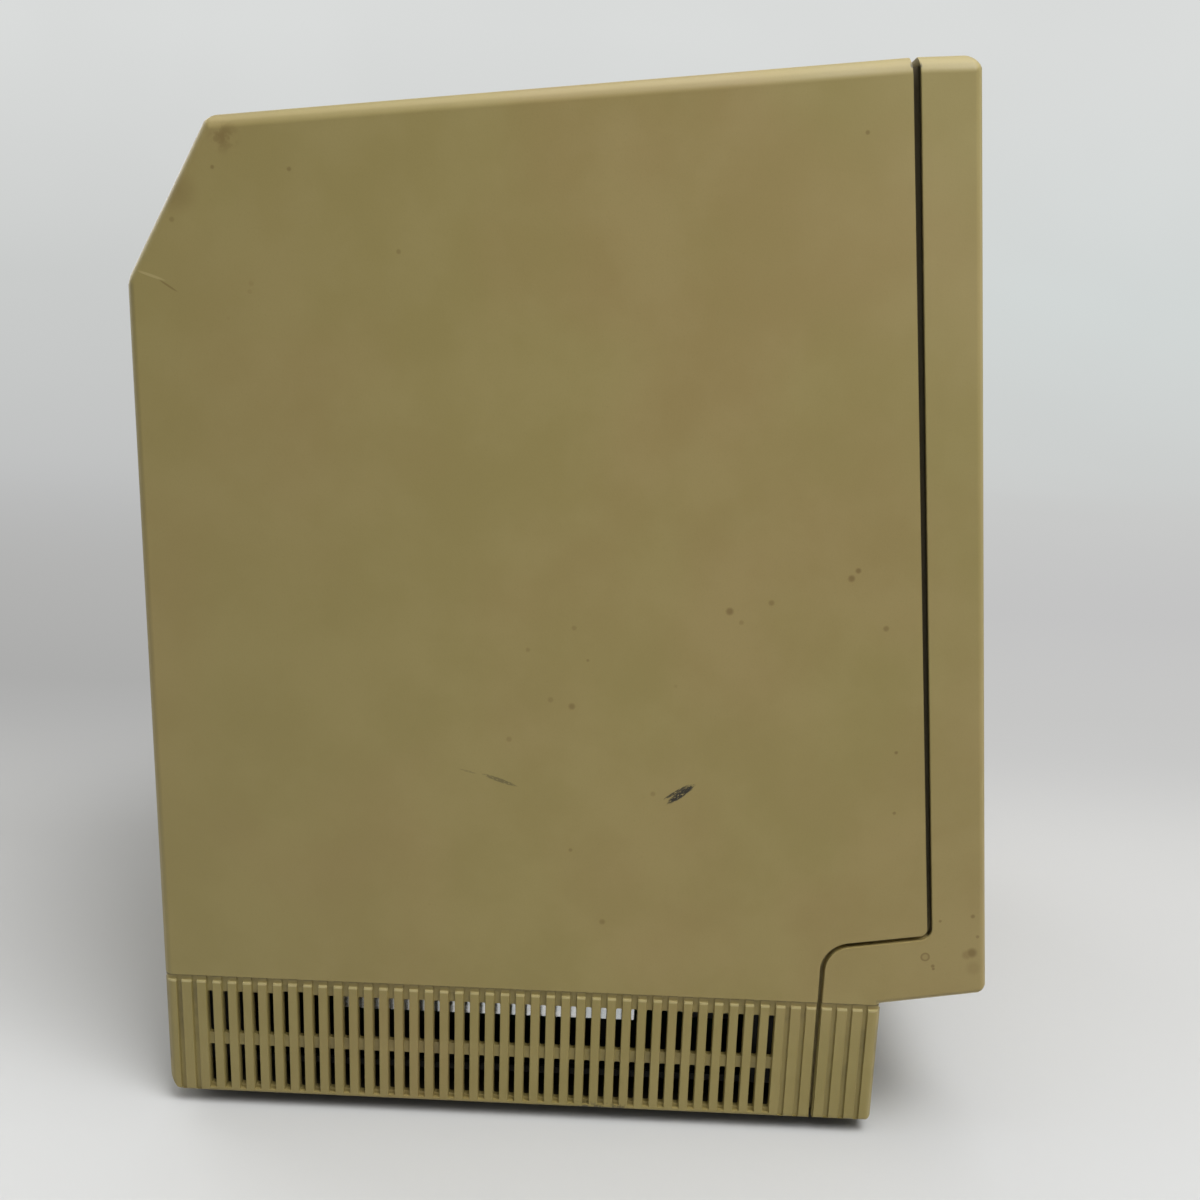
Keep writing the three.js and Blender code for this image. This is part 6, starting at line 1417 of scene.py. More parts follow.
def wireSleeve(name, base, other):
    finish = Finish(name)
    tone = finish.mottle(base, other, 90, 0.4, 0.65, 1, 2, 0.5)
    tone = finish.mottle(tone, "6f6a60", 700, 0.6, 0.8, 0.3, 3, 0.7)
    rough = finish.unevenness(200, 0.4, 0.55)
    normal = finish.grain(500, 0.15, 0.0001, 2, 0.5)
    return finish.surface(Base_Color=tone, Roughness=rough, Normal=normal)


def amberLens():
    finish = Finish("amber lens")
    tone = finish.mix(finish.spread(finish.axis("Y"), -0.137, -0.132), "d98a1e", "8e4a0c")
    tone = finish.mix(finish.spread(finish.cells(900), 0.2, 0.5), "f2b048", tone)
    rough = finish.unevenness(300, 0.08, 0.16)
    return finish.surface(Base_Color=tone, Roughness=rough, Transmission_Weight=0.35, IOR=1.49)


brownTones = ("6c4a26", "5a3c1e", "8a6a3c")
greenTones = ("173f2b", "10301f", "2a5c40")
moduleTones = ("1d5a39", "164a2d", "3b7d58")
finishes = {
    "footRubber": rubber("foot rubber", "232221", "2f2d2b"),
    "capRubber": rubber("cap rubber", "2a1f1c", "3a2c27"),
    "darkSteel": metal("blackened steel", "3b3b3d", "2c2c2e", 0.38, (700, 700, 700), 0.9),
    "brightSteel": metal("bright steel", "b4b7b9", "9fa2a4", 0.3),
    "zinc": galvanised(),
    "cast": castMetal(),
    "platter": platterMirror(),
    "glass": screenGlass(),
    "copper": copperWire(),
    "brownBoard": circuitBoard("brown board", brownTones, "X", -112.9),
    "neckBoard": circuitBoard("neck board", brownTones, "Y", 300),
    "logicBoard": circuitBoard("green board", greenTones, "Z", 17.35),
    "memoryBoard": circuitBoard("memory board", moduleTones, "Y", 300),
    "khaki": plainPlastic("khaki plastic", "8d8250", "82774a", 0.5),
    "black": plainPlastic("black plastic", "1b1b1d", "252527", 0.42),
    "seamShade": seamPlastic(),
    "grey": plainPlastic("grey plastic", "8b8d8e", "7b7d7e", 0.5),
    "paper": coneCloth(),
    "redWire": wireSleeve("red sleeve", "8e2a24", "a3362d"),
    "greyWire": wireSleeve("grey sleeve", "a9a8a2", "979690"),
    "amber": amberLens(),
}

# What each carried-over node is finished with.
dressing = {
    "zinc": ("chassis_frame", "power_supply_cover", "drive_cage", "floppy_chassis"),
    "brightSteel": (
        "crt_band",
        "floppy_disk_carrier",
        "floppy_eject_slider",
        "floppy_lead_screw",
        "floppy_stepper_motor",
        "hard_disk_cover",
    ),
    "cast": ("floppy_spindle", "hard_disk_base", "hard_disk_head_arm"),
    "platter": ("hard_disk_platters",),
    "copper": ("deflection_yoke",),
    "brownBoard": ("analog_board",),
    "neckBoard": ("neck_board",),
    "logicBoard": ("logic_board",),
    "memoryBoard": ("memory_module_1", "memory_module_2"),
    "black": (
        "fan_housing",
        "fan_rotor",
        "flyback_transformer",
        "processor_chip",
        "floppy_eject_motor",
    ),
    "grey": ("brightness_pot", "clock_battery", "floppy_head_carriage"),
    "capRubber": ("anode_cap",),
    "paper": ("speaker",),
}


def dressNodes():
    for key, names in dressing.items():
        for name in names:
            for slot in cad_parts[name].material_slots:
                slot.material = finishes[key]
        print("dressed", key, len(names))


# Floor, backdrop and lights of a plain pale studio.
studio = {
    "near": -8,
    "far": 3,
    "side": 9,
    "height": 4,
    "bend": 1.2,
    "world": 0.28,
    "paper": 0.78,  # the floor's own colour beside the tone that it is to show
    "blend": (0.1, 0.3),  # where the floor behind the object begins to glow with its set tones
    "ring": (0.6, 1.4),  # and all round it
    "air": "dadcdb",
    "under": "33291c",  # the shade under the case, and where it fades out
    "underX": (0.11, 0.124),
    "underY": ((-0.106, -0.094), (0.126, 0.138)),
    # Tones along the floor and up the backdrop, left and right, as the camera sees them. The
    # darker ones near the object are its painted shadow and a painted falloff of the light.
    "places": (-0.14, 0.09, 0.36, 0.7, 1.5, 3.1, 4.1),
    "leftTones": ("dadbdb", "babab9", "acacab", "b2b2b1", "bebfbf", "cacccb", "dadcdb"),
    "rightTones": ("dadbdb", "cdcdcc", "c7c7c6", "c4c4c4", "c9cac9", "d2d7d6", "dadcdb"),
    "reach": 4.4,
    # Lamps: name, place, what they face, size and power.
    "lamps": (
        ("overhead softbox", (-0.1, -0.2, 2.2), (0, 0, 0), 1.8, 28),
        ("high key", (-0.95, -0.85, 2.1), (0, 0, 0.15), 1.2, 42),
        ("rear fill", (1.5, 1.9, 1.1), (0, 0, 0.2), 1.6, 24),
    ),
}


def backdropTone(finish, distance, tones):
    low, span = studio["places"][0], studio["reach"]
    stops = [((place - low) / span, code) for place, code in zip(studio["places"], tones)]
    share = finish.spread(distance, low, low + span, smooth=False)
    return finish.node("ShaderNodeValToRGB", {"stops": stops}, {0: share})


def studioPaper():
    finish = Finish("studio paper")
    x, y, z = (finish.axis(axis) for axis in "XYZ")
    distance = x + z
    tones = [backdropTone(finish, distance, studio[key]) for key in ("rightTones", "leftTones")]
    aside = y / (x + 0.5)
    tone = finish.mix(finish.spread(aside, -0.42, 0.42), *tones)
    tone = finish.mottle(tone, "b9b9b8", 1.6, 0.35, 0.7, 0.06, 2, 0.5)
    paper = finish.mix(1, tone, (studio["paper"],) * 3 + (1,), "MULTIPLY")
    under = finish.below(abs(x), studio["underX"]) * finish.within(y, studio["underY"])
    paper = finish.mix(under * 0.65, paper, studio["under"])
    inputs = {"Base Color": paper, "Roughness": 0.9}
    surface = finish.node("ShaderNodeBsdfPrincipled", inputs=inputs)
    glow = finish.node("ShaderNodeEmission", inputs={"Color": tone, "Strength": 1})
    outward = ((x * x) + (y * y)) ** 0.5
    behind = finish.spread(distance, *studio["blend"])
    seen = finish.seen() * strongest([behind, finish.spread(outward, *studio["ring"])])
    mixed = finish.node("ShaderNodeMixShader", inputs={0: seen, 1: surface, 2: glow})
    finish.node("ShaderNodeOutputMaterial", inputs={"Surface": mixed})
    return finish.material


def addFloor():
    near, far, side = studio["near"], studio["far"], studio["side"]
    bpy.ops.object.select_all(action="DESELECT")
    bpy.ops.mesh.primitive_plane_add(size=1, location=((near + far) / 2, 0, 0))
    floor = bpy.context.active_object
    floor.name = "floor"
    floor.scale = (far - near, 2 * side, 1)
    applyPlace(floor)

    def isFar(first, last):
        return min(first.x, last.x) > far - 0.01

    pickEdges(floor, isFar)
    push(z=studio["height"])
    endEdit()

    def isBend(first, last):
        return isFar(first, last) and max(first.z, last.z) < 0.01

    roundWhere(floor, isBend, studio["bend"] / mm, 24)
    onlySelect(floor)
    bpy.ops.object.shade_smooth()
    setFinish(floor, studioPaper())


def addLamp(name, place, target, size, power):
    turn = (Vector(target) - Vector(place)).to_track_quat("-Z", "Y").to_euler()
    bpy.ops.object.light_add(type="AREA", location=place, rotation=turn)
    light = bpy.context.active_object
    light.name = name
    light.data.shape = "RECTANGLE"
    light.data.size = light.data.size_y = size
    light.data.energy = power


def addLights():
    air = Finish("studio air", "worlds")
    inputs = {"Color": (1, 0.99, 0.97, 1), "Strength": studio["world"]}
    light = air.node("ShaderNodeBackground", inputs=inputs)
    inputs = {"Color": colour(studio["air"]), "Strength": 1}
    pale = air.node("ShaderNodeBackground", inputs=inputs)
    mixed = air.node("ShaderNodeMixShader", inputs={0: air.seen(), 1: light, 2: pale})
    air.node("ShaderNodeOutputWorld", inputs={"Surface": mixed})
    bpy.context.scene.world = air.material
    for kind in studio["lamps"]:
        addLamp(*kind)


addFloor()
addLights()
bpy.context.scene.view_settings.view_transform = "Standard"
print("studio set up")

finishPiece(makeRearShell(), ["rear_housing"], rearPlastic)
finishPiece(makeFrontShell(), ["front_bezel"], None)

# The feet, rubber discs with a dished sole.
foot = {"radius": 7.3, "draft": 0.93, "rounding": 1.1, "border": 2.2, "dish": 0.7}


def makeFeet():
    low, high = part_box("foot_front_left")
    x, y = (low.x + high.x) / 2, (low.y + high.y) / 2
    rubberFoot = addRod("footFrontLeft", foot["radius"] * mm, (x, y, high.z), (x, y, 0))
    pickFaces(rubberFoot, lambda place, normal: normal.z < -0.9)
    scaleAbout((x, y, 0), x=foot["draft"], y=foot["draft"])
    endEdit()
    softenFace(rubberFoot, 2, -1, foot["rounding"], 4)
    sinkFace(rubberFoot, 2, -1, foot["border"], foot["dish"])
    for node in ("foot_front_right", "foot_rear_left", "foot_rear_right"):
        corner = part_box(node)[0]
        twin = copyOf(rubberFoot, pieceName(node))
        twin.location = (corner.x - low.x, corner.y - low.y, 0)
        applyPlace(twin)
        finishPiece(twin, [node], finishes["footRubber"])
    finishPiece(rubberFoot, ["foot_front_left"], finishes["footRubber"])


# The blank cover of the expansion opening: a panel with a rim, and a flange behind the wall.
blank = {
    "size": (62, 28),
    "thick": 4.7,
    "corner": 0.8,
    "softening": 0.2,
    "border": 3,
    "sunk": 0.5,
    "rim": 2.5,
    "flange": (3.3, 4.7),
    "flangeCorner": 2,
    "flangeSoftening": 0.3,
}


def makeExpansionCover():
    x, height = openings["cover"]["x"], openings["cover"]["height"]
    wide, tall = (length / 2 for length in blank["size"])
    cover = addBlockAbout("expansionCover", x, wide, (0, blank["thick"]), height, tall)
    sinkFace(cover, 1, 1, blank["border"], blank["sunk"])
    roundAlong(cover, 1, blank["corner"], 3)
    softenFace(cover, 1, 1, blank["softening"])
    wide, tall = wide + blank["rim"], tall + blank["rim"]
    flange = addBlockAbout("flange", x, wide, blank["flange"], height, tall)
    roundAlong(flange, 1, blank["flangeCorner"], 3)
    softenFace(flange, 1, 1, blank["flangeSoftening"])
    finishPiece(joined([cover, flange]), ["expansion_cover"], rearPlastic)


# The bare badge plate on the chin.
badge = {
    "size": 12.4,
    "thick": 0.8,
    "lift": -1.14,
    "corner": 1,
    "softening": 0.1,
    "border": 1.1,
    "sunk": 0.25,
}


def makeBadge():
    half, low = badge["size"] / 2, badge["lift"]
    outs = (low, low + badge["thick"])
    plate = addFrontBlock("badgePlate", badgePlace["x"], half, badgePlace["up"], half, outs)
    sinkFace(plate, 2, 1, badge["border"], badge["sunk"])
    roundAlong(plate, 2, badge["corner"], 4)
    softenFace(plate, 2, 1, badge["softening"])
    placeOnFront(plate)
    finishPiece(plate, ["badge_plate"], frontPlastic)


# The case screws, with a six-sided socket and a rolled thread.
screw = {
    "head": 3.8,
    "headHeight": 3,
    "shank": 2,
    "length": 15,
    "socket": 1.6,
    "socketDepth": 2,
    "rounding": 0.7,
    "threads": 9,
    "pitch": 1.3,
    "threadDepth": 0.3,
    "threadStart": 1.4,
    "threadLand": 0.5,
    "threadFlank": 0.3,
    "tip": (1.9, 0.15),  # its length and how far it narrows
}


def threadedShank():
    core = screw["shank"] - screw["threadDepth"]
    start, end = Vector((0, 0, 0.3)), Vector((0, 0, 2 - screw["length"]))
    shank = addRod("shank", core * mm, start * mm, end * mm, 32)
    length, narrowing = screw["tip"]
    pickEnd(shank, 2, -1)
    push(z=-length * mm)
    scaleAbout((0, 0, -screw["length"] * mm), x=narrowing, y=narrowing)
    endEdit()
    start = Vector((0, 0, -screw["threadStart"]))
    end = start - Vector((0, 0, screw["threadLand"]))
    ridge = addRod("ridge", screw["shank"] * mm, start * mm, end * mm, 32)
    share = core / screw["shank"] * 0.98
    for side in (-1, 1):
        pickEnd(ridge, 2, side)
        push(z=side * screw["threadFlank"] * mm)
        scaleAbout((start + end) / 2 * mm, x=share, y=share)
        endEdit()
    arrayOf(ridge, screw["threads"], (0, 0, -screw["pitch"] * mm))
    return joined([shank, ridge])


def makeScrews():
    top = Vector((0, 0, screw["headHeight"])) * mm
    head = addRod("caseScrew", screw["head"] * mm, (0, 0, 0), top)
    softenFace(head, 2, 1, screw["rounding"], 4)
    softenFace(head, 2, -1, 0.2)
    deep = screw["headHeight"] - screw["socketDepth"]
    carve(head, addRod("socket", screw["socket"] * mm, (0, 0, deep * mm), (0, 0, 5 * mm), 6))
    model = joined([head, threadedShank()])
    rearward = Matrix.Rotation(-math.pi / 2, 4, "X")
    inward = Matrix.Rotation(math.pi / 2 - lean + math.pi, 4, "X")
    for hand, side in ((-1, "left"), (1, "right")):
        lower = at(hand * wells["x"], wells["depth"], wells["height"])
        upper = onFront(hand * upperWells["x"], upperWells["up"], upperWells["out"])
        for row, seat, turn in (("lower", lower, rearward), ("upper", upper, inward)):
            node = f"case_screw_{row}_{side}"
            twin = copyOf(model, pieceName(node))
            twin.data.transform(Matrix.Translation(seat) @ turn)
            finishPiece(twin, [node], finishes["darkSteel"], angle=40)
    bpy.data.objects.remove(model, do_unlink=True)


# The picture tube, drawn in the front face's frame: a bulged face, a funnel and a neck.
tube = {
    "size": (213, 165),
    "corner": 20,
    "apex": -7.09,
    "sag": 9,
    "rings": 14,
    "back": -40.09,
    "funnel": 72,
    "throat": 18,
    "neck": 10.5,
    "tail": -210,
    "neckOverlap": 6,
    "funnelRings": 8,
    "funnelEase": 0.85,
}


def makeTube():
    wide, tall = (length / 2 for length in tube["size"])
    middle, rim = screen["middle"], tube["apex"] - tube["sag"]
    glass = addFrontBlock("pictureTube", 0, wide, middle, tall, (tube["back"], rim))
    roundAlong(glass, 2, tube["corner"], 10)
    centre = (0, middle * mm, 0)
    pickEnd(glass, 2, 1)
    rings, share = tube["rings"], 1
    for i in range(rings - 1, 0, -1):
        lift = tube["sag"] * (share**2 - (i / rings) ** 2)
        push(z=lift * mm)
        scaleAbout(centre, x=i / rings / share, y=i / rings / share)
        share = i / rings
    endEdit()
    pickEnd(glass, 2, -1)
    rings, sizes = tube["funnelRings"], [wide, tall]
    for i in range(1, rings + 1):
        ease = (i / rings) ** tube["funnelEase"]
        push(z=-tube["funnel"] / rings * mm)
        targets = [start + (tube["throat"] - start) * ease for start in (wide, tall)]
        scaleAbout(centre, x=targets[0] / sizes[0], y=targets[1] / sizes[1])
        sizes = targets
    endEdit()
    start = tube["back"] - tube["funnel"] + tube["neckOverlap"]
    neck = frontRod("neck", tube["neck"], 0, middle, start, tube["tail"])
    softenFace(neck, 2, -1, 2, 3)
    whole = joined([glass, neck])
    placeOnFront(whole)
    finishPiece(whole, ["crt_tube"], finishes["glass"], angle=50)


# The sockets in the rear panel: x, kind, and holes of each.
ports = {
    "rear": 3.4,
    "panel": 10.06,
    "bodyDepth": 12,
    "foot": 12.4,
    "before": -5,  # where the tools for holes begin
    "pinDepth": 3.5,
    "din": {
        "size": (14, 13),
        "radius": 5.8,
        "ring": 1.2,
        "well": 3,
        "key": 0.8,
        "core": 3.7,
        "coreDepth": 0.8,
        "pin": 0.45,
        "pinCircle": 2.2,
        "slot": (0.9, 0.6),
    },
    "d": {
        "height": 8.4,
        "tall": 12.5,
        "lean": 10,  # degrees
        "flange": 1.2,
        "ear": 5,
        "wall": 0.8,
        "depth": 4,
        "corner": 2.1,
        "pitch": 2.76,
        "rise": 1.4,
        "pin": 0.55,
    },
    "jack": {"size": (10, 12), "radius": 4, "bore": 1.8},
}


# A port's middle across and up.
def portMiddle(node, tall):
    low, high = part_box(node)
    return (low.x + high.x) / 2 / mm, ports["foot"] + tall / 2


def portRod(name, radius, x, height, start, end, sides=40):
    return addRod(name, radius * mm, at(x, start, height), at(x, end, height), sides)


def portBlock(name, x, wide, tall, depth):
    span = (ports["panel"], ports["panel"] + depth)
    return addBlockAbout(name, x, wide / 2, span, ports["foot"] + tall / 2, tall / 2)


def portBody(x, size):
    body = portBlock("body", x, *size, ports["bodyDepth"])
    sinkFace(body, 1, -1, 1, 0.4)
    roundAlong(body, 1, 0.5, 2)
    return body


def finishPort(node, metalParts, darkParts):
    for part in metalParts:
        setFinish(part, finishes["brightSteel"])
    for part in darkParts:
        setFinish(part, finishes["black"])
    whole = joined(metalParts + darkParts)
    whole.name = pieceName(node)
    finishPiece(whole, [node], None)


def dinPort(node, holes):
    kind = ports["din"]
    x, height = portMiddle(node, kind["size"][1])
    rear, panelDepth, before = ports["rear"], ports["panel"], ports["before"]
    radius, end = kind["radius"], rear + kind["well"]
    ring = portRod("ring", radius, x, height, rear, panelDepth + 0.5, 48)
    softenFace(ring, 1, 1, 0.3, 3)
    carve(ring, portRod("well", radius - kind["ring"], x, height, before, end, 48))
    carve(ring, portRod("key", kind["key"], x, height - radius + 0.6, before, end, 16))
    core = portRod("core", kind["core"], x, height, rear + kind["coreDepth"], panelDepth)
    softenFace(core, 1, 1, 0.25)
    end = rear + ports["pinDepth"]
    for i in range(holes):
        angle = math.pi * (0.5 + (i + 0.5) * 2 / holes)
        across, up = (kind["pinCircle"] * part for part in (math.cos(angle), math.sin(angle)))
        carve(core, portRod("pin", kind["pin"], x + across, height + up, before, end, 12))
    wide, tall = kind["slot"]
    carve(core, addBlockAbout("slot", x, wide, (before, end), height, tall))
    finishPort(node, [ring], [core, portBody(x, kind["size"])])


# A D-shaped block, narrower at its foot.
def dBlock(name, x, length, grow, start, end):
    kind = ports["d"]
    wide, tall = length / 2 + grow, kind["height"] / 2 + grow
    middle = ports["foot"] + kind["tall"] / 2
    block = addBlockAbout(name, x, wide, (start, end), middle, tall)
    taper = kind["height"] * math.tan(math.radians(kind["lean"]))
    for hand in (-1, 1):
        pickPoints(block, lambda place: heightOf(place) < middle and (place.x / mm - x) * hand > 0)
        shift(x=-hand * taper * mm)
        endEdit()
    roundAlong(block, 1, kind["corner"] + grow * 0.6, 5)
    return block


def dPort(node, length, count):
    kind = ports["d"]
    x, height = portMiddle(node, kind["tall"])
    rear, panelDepth, before = ports["rear"], ports["panel"], ports["before"]
    wall, pitch = kind["wall"], kind["pitch"]
    nose = dBlock("nose", x, length, 0, rear, panelDepth + 0.5)
    softenFace(nose, 1, 1, 0.25)
    carve(nose, dBlock("hollow", x, length, -wall, before, rear + kind["depth"]))
    flange = portBlock("flange", x, length + 2 * kind["ear"], kind["tall"], kind["flange"])
    roundAlong(flange, 1, 1.2, 3)
    core = dBlock("core", x, length, -2 * wall, rear + wall, panelDepth)
    softenFace(core, 1, 1, 0.2)
    end = rear + ports["pinDepth"]
    for number, rise in ((count, kind["rise"]), (count - 1, -kind["rise"])):
        start = x - (number - 1) / 2 * pitch
        pins = portRod("pin", kind["pin"], start, height + rise, before, end, 10)
        arrayOf(pins, number, (pitch * mm, 0, 0))
        carve(core, pins)
    body = portBody(x, (length, kind["tall"]))
    finishPort(node, [nose, flange], [core, body])


def jackPort(node):
    kind = ports["jack"]
    x, height = portMiddle(node, kind["size"][1])
    nose = portRod("nose", kind["radius"], x, height, ports["rear"], ports["panel"] + 0.5, 48)
    softenFace(nose, 1, 1, 0.4, 3)
    sinkFace(nose, 1, 1, 0.7, 0.5)
    body = portBody(x, kind["size"])
    for part in (nose, body):
        end = ports["panel"] + 6
        carve(part, portRod("bore", kind["bore"], x, height, ports["before"], end, 24))
    finishPort(node, [], [nose, body])


def makePorts():
    for node, holes in (("keyboard", 4), ("mouse", 4), ("printer", 8), ("modem", 8)):
        dinPort(node + "_port", holes)
    dPort("floppy_port", 31, 10)
    dPort("disk_chain_port", 39, 13)
    jackPort("sound_jack")


# The power inlet, with the usual cut corners and three blades.
inlet = {
    "size": (27, 20),
    "rim": 2,
    "flange": 1.4,
    "front": 0.7,
    "depth": 24,
    "wall": 2,
    "cavity": 16,
    "cutCorner": 4.68,
    "corner": 1.2,
    "lip": 0.35,
    "blade": (2, 4, 13),
    "blades": ((-7, 0), (0, 2), (7, 0)),
}


# The flange that lies in a seat of the rear face.
def rearFlange(x, wide, thick, height, tall):
    flange = addBlockAbout("flange", x, wide, (0, thick), height, tall)
    roundAlong(flange, 1, 2, 4)
    softenFace(flange, 1, 1, 0.4, 3)
    return flange


def makeInlet():
    x, height = openings["inlet"]["x"], openings["inlet"]["height"]
    wide, tall = (length / 2 for length in inlet["size"])
    span = (inlet["front"], inlet["depth"])
    body = addBlockAbout("powerInlet", x, wide, span, height, tall)
    roundAlong(body, 1, 1, 3)
    rim, thick = inlet["rim"], inlet["flange"]
    carve(body, rearFlange(x, wide + rim, thick, height, tall + rim), "UNION")
    wide, tall = wide - inlet["wall"], tall - inlet["wall"]
    cavity = addBlockAbout("cavity", x, wide, (-5, inlet["cavity"]), height, tall)
    for isTop, radius, steps in ((True, inlet["cutCorner"], 1), (False, inlet["corner"], 4)):

        def isCorner(first, last):
            return abs(first.y - last.y) > 0.005 and (heightOf(first) > height) == isTop

        roundWhere(cavity, isCorner, radius, steps)
    carve(body, cavity)

    def onLip(place):
        across, up = abs(place.x / mm - x), abs(heightOf(place) - height)
        return across < wide + 0.05 and up < tall + 0.05 and abs(depthOf(place)) < 0.05

    roundWhere(body, lambda first, last: onLip(first) and onLip(last), inlet["lip"], 2)
    setFinish(body, finishes["black"])
    parts = [body]
    thin, broad, long = inlet["blade"]
    span = (inlet["cavity"] - long, inlet["cavity"] + 1)
    for across, up in inlet["blades"]:
        blade = addBlockAbout("blade", x + across, thin / 2, span, height + up, broad / 2)
        softenFace(blade, 1, 1, 0.6, 3)
        roundAlong(blade, 1, 0.25, 2)
        setFinish(blade, finishes["brightSteel"])
        parts.append(blade)
    finishPiece(joined(parts), ["power_inlet"], None)


# The power switch: its frame, and the rocker that tips about its pins.
rocker = {
    "size": (14, 27),
    "wall": 1.5,
    "rim": 2,
    "depth": 22,
    "pivot": 10,
    "tall": 24,
    "face": 5,
    "heel": (5, 8),
    "valley": 6,
    "softening": 0.5,
    "pin": 1.5,
    "tilt": 10,
    "play": 0.3,
}


def makeSwitchFrame():
    x, height = openings["switch"]["x"], openings["switch"]["height"]
    wide, tall = (length / 2 for length in rocker["size"])
    wall = rocker["wall"]
    span = (inlet["front"], rocker["depth"])
    body = addBlockAbout("powerSwitchFrame", x, wide + wall, span, height, tall + wall)
    roundAlong(body, 1, 0.8, 3)
    rim, thick = wall + rocker["rim"], inlet["flange"]
    carve(body, rearFlange(x, wide + rim, thick, height, tall + rim), "UNION")
    opening = addBlockAbout("opening", x, wide, (-5, rocker["depth"] - wall), height, tall)
    roundAlong(opening, 1, 0.4, 2)
    carve(body, opening)
    reach = wide + rocker["wall"] / 2
    place = at(x, rocker["pivot"], height)
    axle = [place + Vector((hand * reach * mm, 0, 0)) for hand in (-1, 1)]
    carve(body, addRod("axle", (rocker["pin"] + 0.06) * mm, *axle, 24))
    finishPiece(body, ["power_switch_frame"], finishes["black"])


def makeRocker():
    wide, tall, face = rocker["size"][0] / 2 - rocker["play"], rocker["tall"] / 2, rocker["face"]
    edge = face + tall * math.tan(math.radians(rocker["tilt"]))
    low, high = Vector((-wide, 0, -tall)), Vector((wide, edge, tall))
    body = addBlock("powerRocker", low * mm, high * mm)
    cutPlane(body, (0, 0, 0), (0, 0, 1), keep="both")

    def onValley(place):
        return abs(place.z) < tiny and place.y > 0.1 * mm

    pickPoints(body, onValley)
    shift(y=-(edge - face) * mm)
    endEdit()
    roundWhere(body, lambda first, last: onValley(first) and onValley(last), rocker["valley"], 8)
    pickFaces(body, lambda place, normal: normal.y < -0.9)
    push(y=-rocker["heel"][0] * mm)
    scaleAbout((0, 0, 0), z=rocker["heel"][1] / 2 / tall)
    endEdit()

    # An edge of the rocker's own face, along a side or across an end.
    def isRim(first, last):
        def onOne(axis, half):
            ends = (first[axis], last[axis])
            return min(abs(end) for end in ends) > (half - 0.01) * mm and ends[0] * ends[1] > 0

        return min(first.y, last.y) > 3 * mm and (onOne(0, wide) or onOne(2, tall))

    roundWhere(body, isRim, rocker["softening"], 3)
    reach = (rocker["size"][0] + rocker["wall"]) / 2 - 0.06
    pin = addRod("pin", rocker["pin"] * mm, (-reach * mm, 0, 0), (reach * mm, 0, 0), 24)
    whole = joined([body, pin])
    whole.rotation_euler.x = math.radians(rocker["tilt"])
    opening = openings["switch"]
    whole.location = at(opening["x"], rocker["pivot"], opening["height"])
    applyPlace(whole)
    finishPiece(whole, ["power_rocker"], finishes["black"], body="rocker")


# The brightness wheel under the chin's left end, toothed for a thumb.
wheel = {
    "depth": 234,
    "radius": 12,
    "thick": 7,
    "teeth": 24,
    "tooth": 0.7,
    "border": 2.6,
    "sunk": 0.6,
    "softening": 0.4,
    "shaft": 3,
}


def makeWheel():
    place = at(dialSlot["x"], wheel["depth"], dialSlot["height"])
    half = Vector((0, 0, wheel["thick"] / 2 * mm))
    count, radius = wheel["teeth"], wheel["radius"]
    disc = addRod("brightnessWheel", radius * mm, place - half, place + half, 6 * count)
    share = 1 - wheel["tooth"] / radius

    def inValley(point):
        angle = math.atan2(point.y - place.y, point.x - place.x)
        return abs(((angle * count / 2 / math.pi) + 0.02) % 1 - 0.5) < 0.2

    pickPoints(disc, inValley)
    scaleAbout(place, x=share, y=share)
    endEdit()
    for side in (-1, 1):
        softenFace(disc, 2, side, wheel["softening"])
        sinkFace(disc, 2, side, wheel["border"], wheel["sunk"])
    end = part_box("brightness_wheel")[0].z
    shaft = addRod("shaft", wheel["shaft"] * mm, (place.x, place.y, end), place, 32)
    softenFace(shaft, 2, -1, wheel["softening"])
    whole = joined([disc, shaft])
    finishPiece(whole, ["brightness_wheel"], finishes["khaki"], body="wheel")


# The hard disk's activity light, a domed lens in a collar.
lamp = {"radius": 2.5, "length": 9, "collar": (3.6, 2), "behind": 3.06, "dome": 0.8}


def makeLamp():
    x, up = lightHole["x"], lightHole["up"]
    lens = frontRod("hardDiskLight", lamp["radius"], x, up, -lamp["length"], 0, 40)
    softenFace(lens, 2, 1, lamp["dome"], 5)
    radius, thick = lamp["collar"]
    back = -lamp["behind"]
    collar = frontRod("collar", radius, x, up, back - thick, back, 40)
    softenFace(collar, 2, 1, 0.3)
    whole = joined([lens, collar])
    placeOnFront(whole)
    finishPiece(whole, ["hard_disk_light"], finishes["amber"], angle=40)


# Leads inside: round ones along a smooth line, and flat ones of many joined wires.
def curveLead(name, points, radius):
    bpy.ops.object.select_all(action="DESELECT")
    bpy.ops.curve.primitive_bezier_curve_add()
    line = bpy.context.active_object
    line.name = name
    spline = line.data.splines[0]
    spline.bezier_points.add(len(points) - 2)
    for knot, place in zip(spline.bezier_points, points):
        knot.co = Vector(place) * mm
        knot.handle_left_type = knot.handle_right_type = "AUTO"
    line.location = (0, 0, 0)
    line.data.bevel_depth = radius * mm
    line.data.bevel_resolution = 3
    line.data.resolution_u = 8
    line.data.use_fill_caps = True
    onlySelect(line)
    bpy.ops.object.convert(target="MESH")
    return bpy.context.active_object


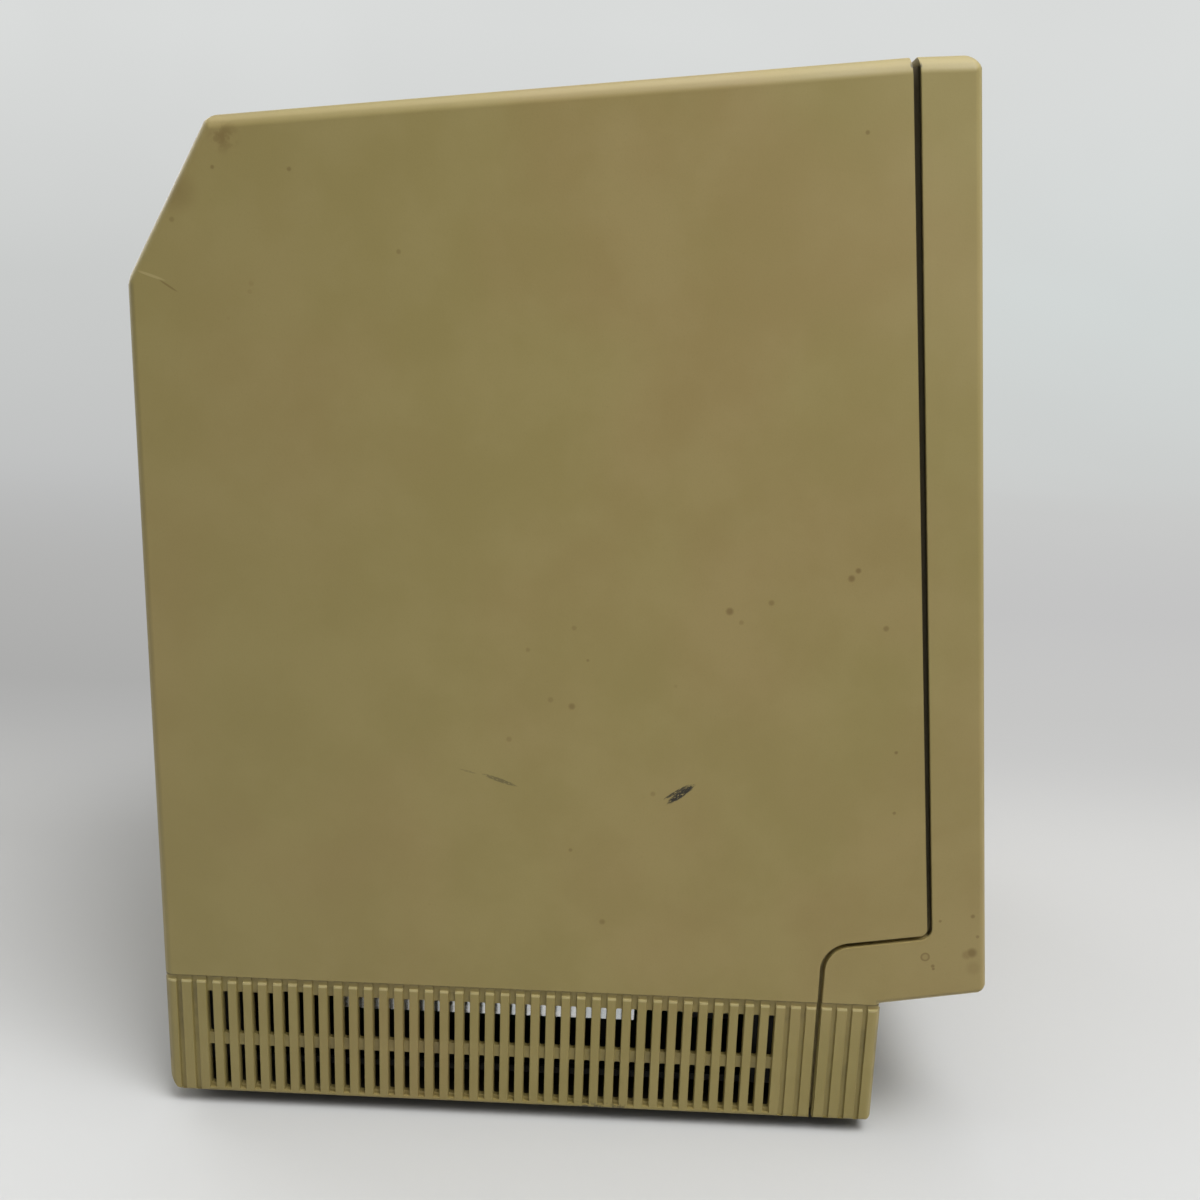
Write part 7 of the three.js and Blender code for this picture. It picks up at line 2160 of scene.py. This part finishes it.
leads = {
    "radius": 2.5,
    "anode": (
        (-89.6, 28.3, 224.1),
        (-89.6, 28.3, 233),
        (-72, 18.5, 254.5),
        (-52.6, 6, 276.5),
        (-34, -6.5, 290),
        (-12, -19, 291.4),
        (-0.8, -29, 286.6),
        (0, -32.2, 281.6),
    ),
    "yoke": (
        (-29.9, 8.6, 221.6),
        (-42, 7, 219.8),
        (-58, 0.6, 219.8),
        (-74, -8.6, 222.6),
        (-90, -16.4, 233.6),
        (-101, -20.6, 239.4),
        (-112.5, -22, 241.4),
    ),
    "harness": (
        (-103.5, -11.7, 80.6),
        (-95.5, -11.7, 79.8),
        (-90.4, -11.7, 70),
        (-89.6, -11.7, 54),
        (-89.8, -11.7, 40),
        (-89.8, -11.7, 27.5),
    ),
    "harnessBend": -95,  # up to here it runs level, so its strands are spread upward
    "strand": 0.9,
    "strands": ((0, 0), (1.8, 0.4), (-1.7, 0.6), (0.7, 1.9), (-0.8, -1.9), (1.3, -1.6), (-1, 2)),
    "ribbonWire": 0.45,
}


def finishLead(lead, node, key):
    finishPiece(lead, [node], finishes[key], angle=60)


def makeLeads():
    lead = curveLead("anodeLead", leads["anode"], leads["radius"])
    finishLead(lead, "anode_lead", "redWire")
    lead = curveLead("yokeLead", leads["yoke"], leads["radius"])
    finishLead(lead, "yoke_lead", "greyWire")
    strands = []
    for across, along in leads["strands"]:
        points = []
        for x, y, z in leads["harness"]:
            aside, up = (across * 0.3, across) if x < leads["harnessBend"] else (across, 0)
            points.append((x + aside, y + along, z + up))
        strands.append(curveLead("powerHarness", points, leads["strand"]))
    finishLead(joined(strands), "power_harness", "greyWire")


# One wire of a ribbon runs out of a drive's rear and turns down to the board, and is copied.
def makeRibbon(node):
    low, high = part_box(node)
    radius, bend, steps = leads["ribbonWire"] * mm, 4, 6
    rear, bendAt = high.y - radius, high.z - radius
    x = low.x + radius
    start, end = (x, low.y, bendAt), (x, rear - bend * mm, bendAt)
    wire = addRod(pieceName(node), radius, start, end, 8)
    pickFaces(wire, lambda place, normal: normal.y > 0.9)
    centre = Vector((x, rear - bend * mm, bendAt - bend * mm))
    for i in range(steps):
        first, last = math.pi / 2 * i / steps, math.pi / 2 * (i + 1) / steps
        y = bend * (math.sin(last) - math.sin(first))
        z = bend * (math.cos(last) - math.cos(first))
        push(y=y * mm, z=z * mm)
        spot = centre + Vector((0, bend * math.sin(last), bend * math.cos(last))) * mm
        turn = math.pi / 2 / steps
        bpy.ops.transform.rotate(value=turn, orient_axis="X", center_override=spot)
    push(z=-(bendAt - bend * mm - low.z))
    endEdit()
    count = int((high.x - low.x - 2 * radius) / (2 * radius)) + 1
    arrayOf(wire, count, (2 * radius * 0.995, 0, 0))
    finishLead(wire, node, "greyWire")


dressNodes()
makeFeet()
makeExpansionCover()
makeBadge()
makeScrews()
makeTube()
makePorts()
makeInlet()
makeSwitchFrame()
makeRocker()
makeWheel()
makeLamp()
makeLeads()
makeRibbon("floppy_ribbon")
makeRibbon("hard_disk_ribbon")
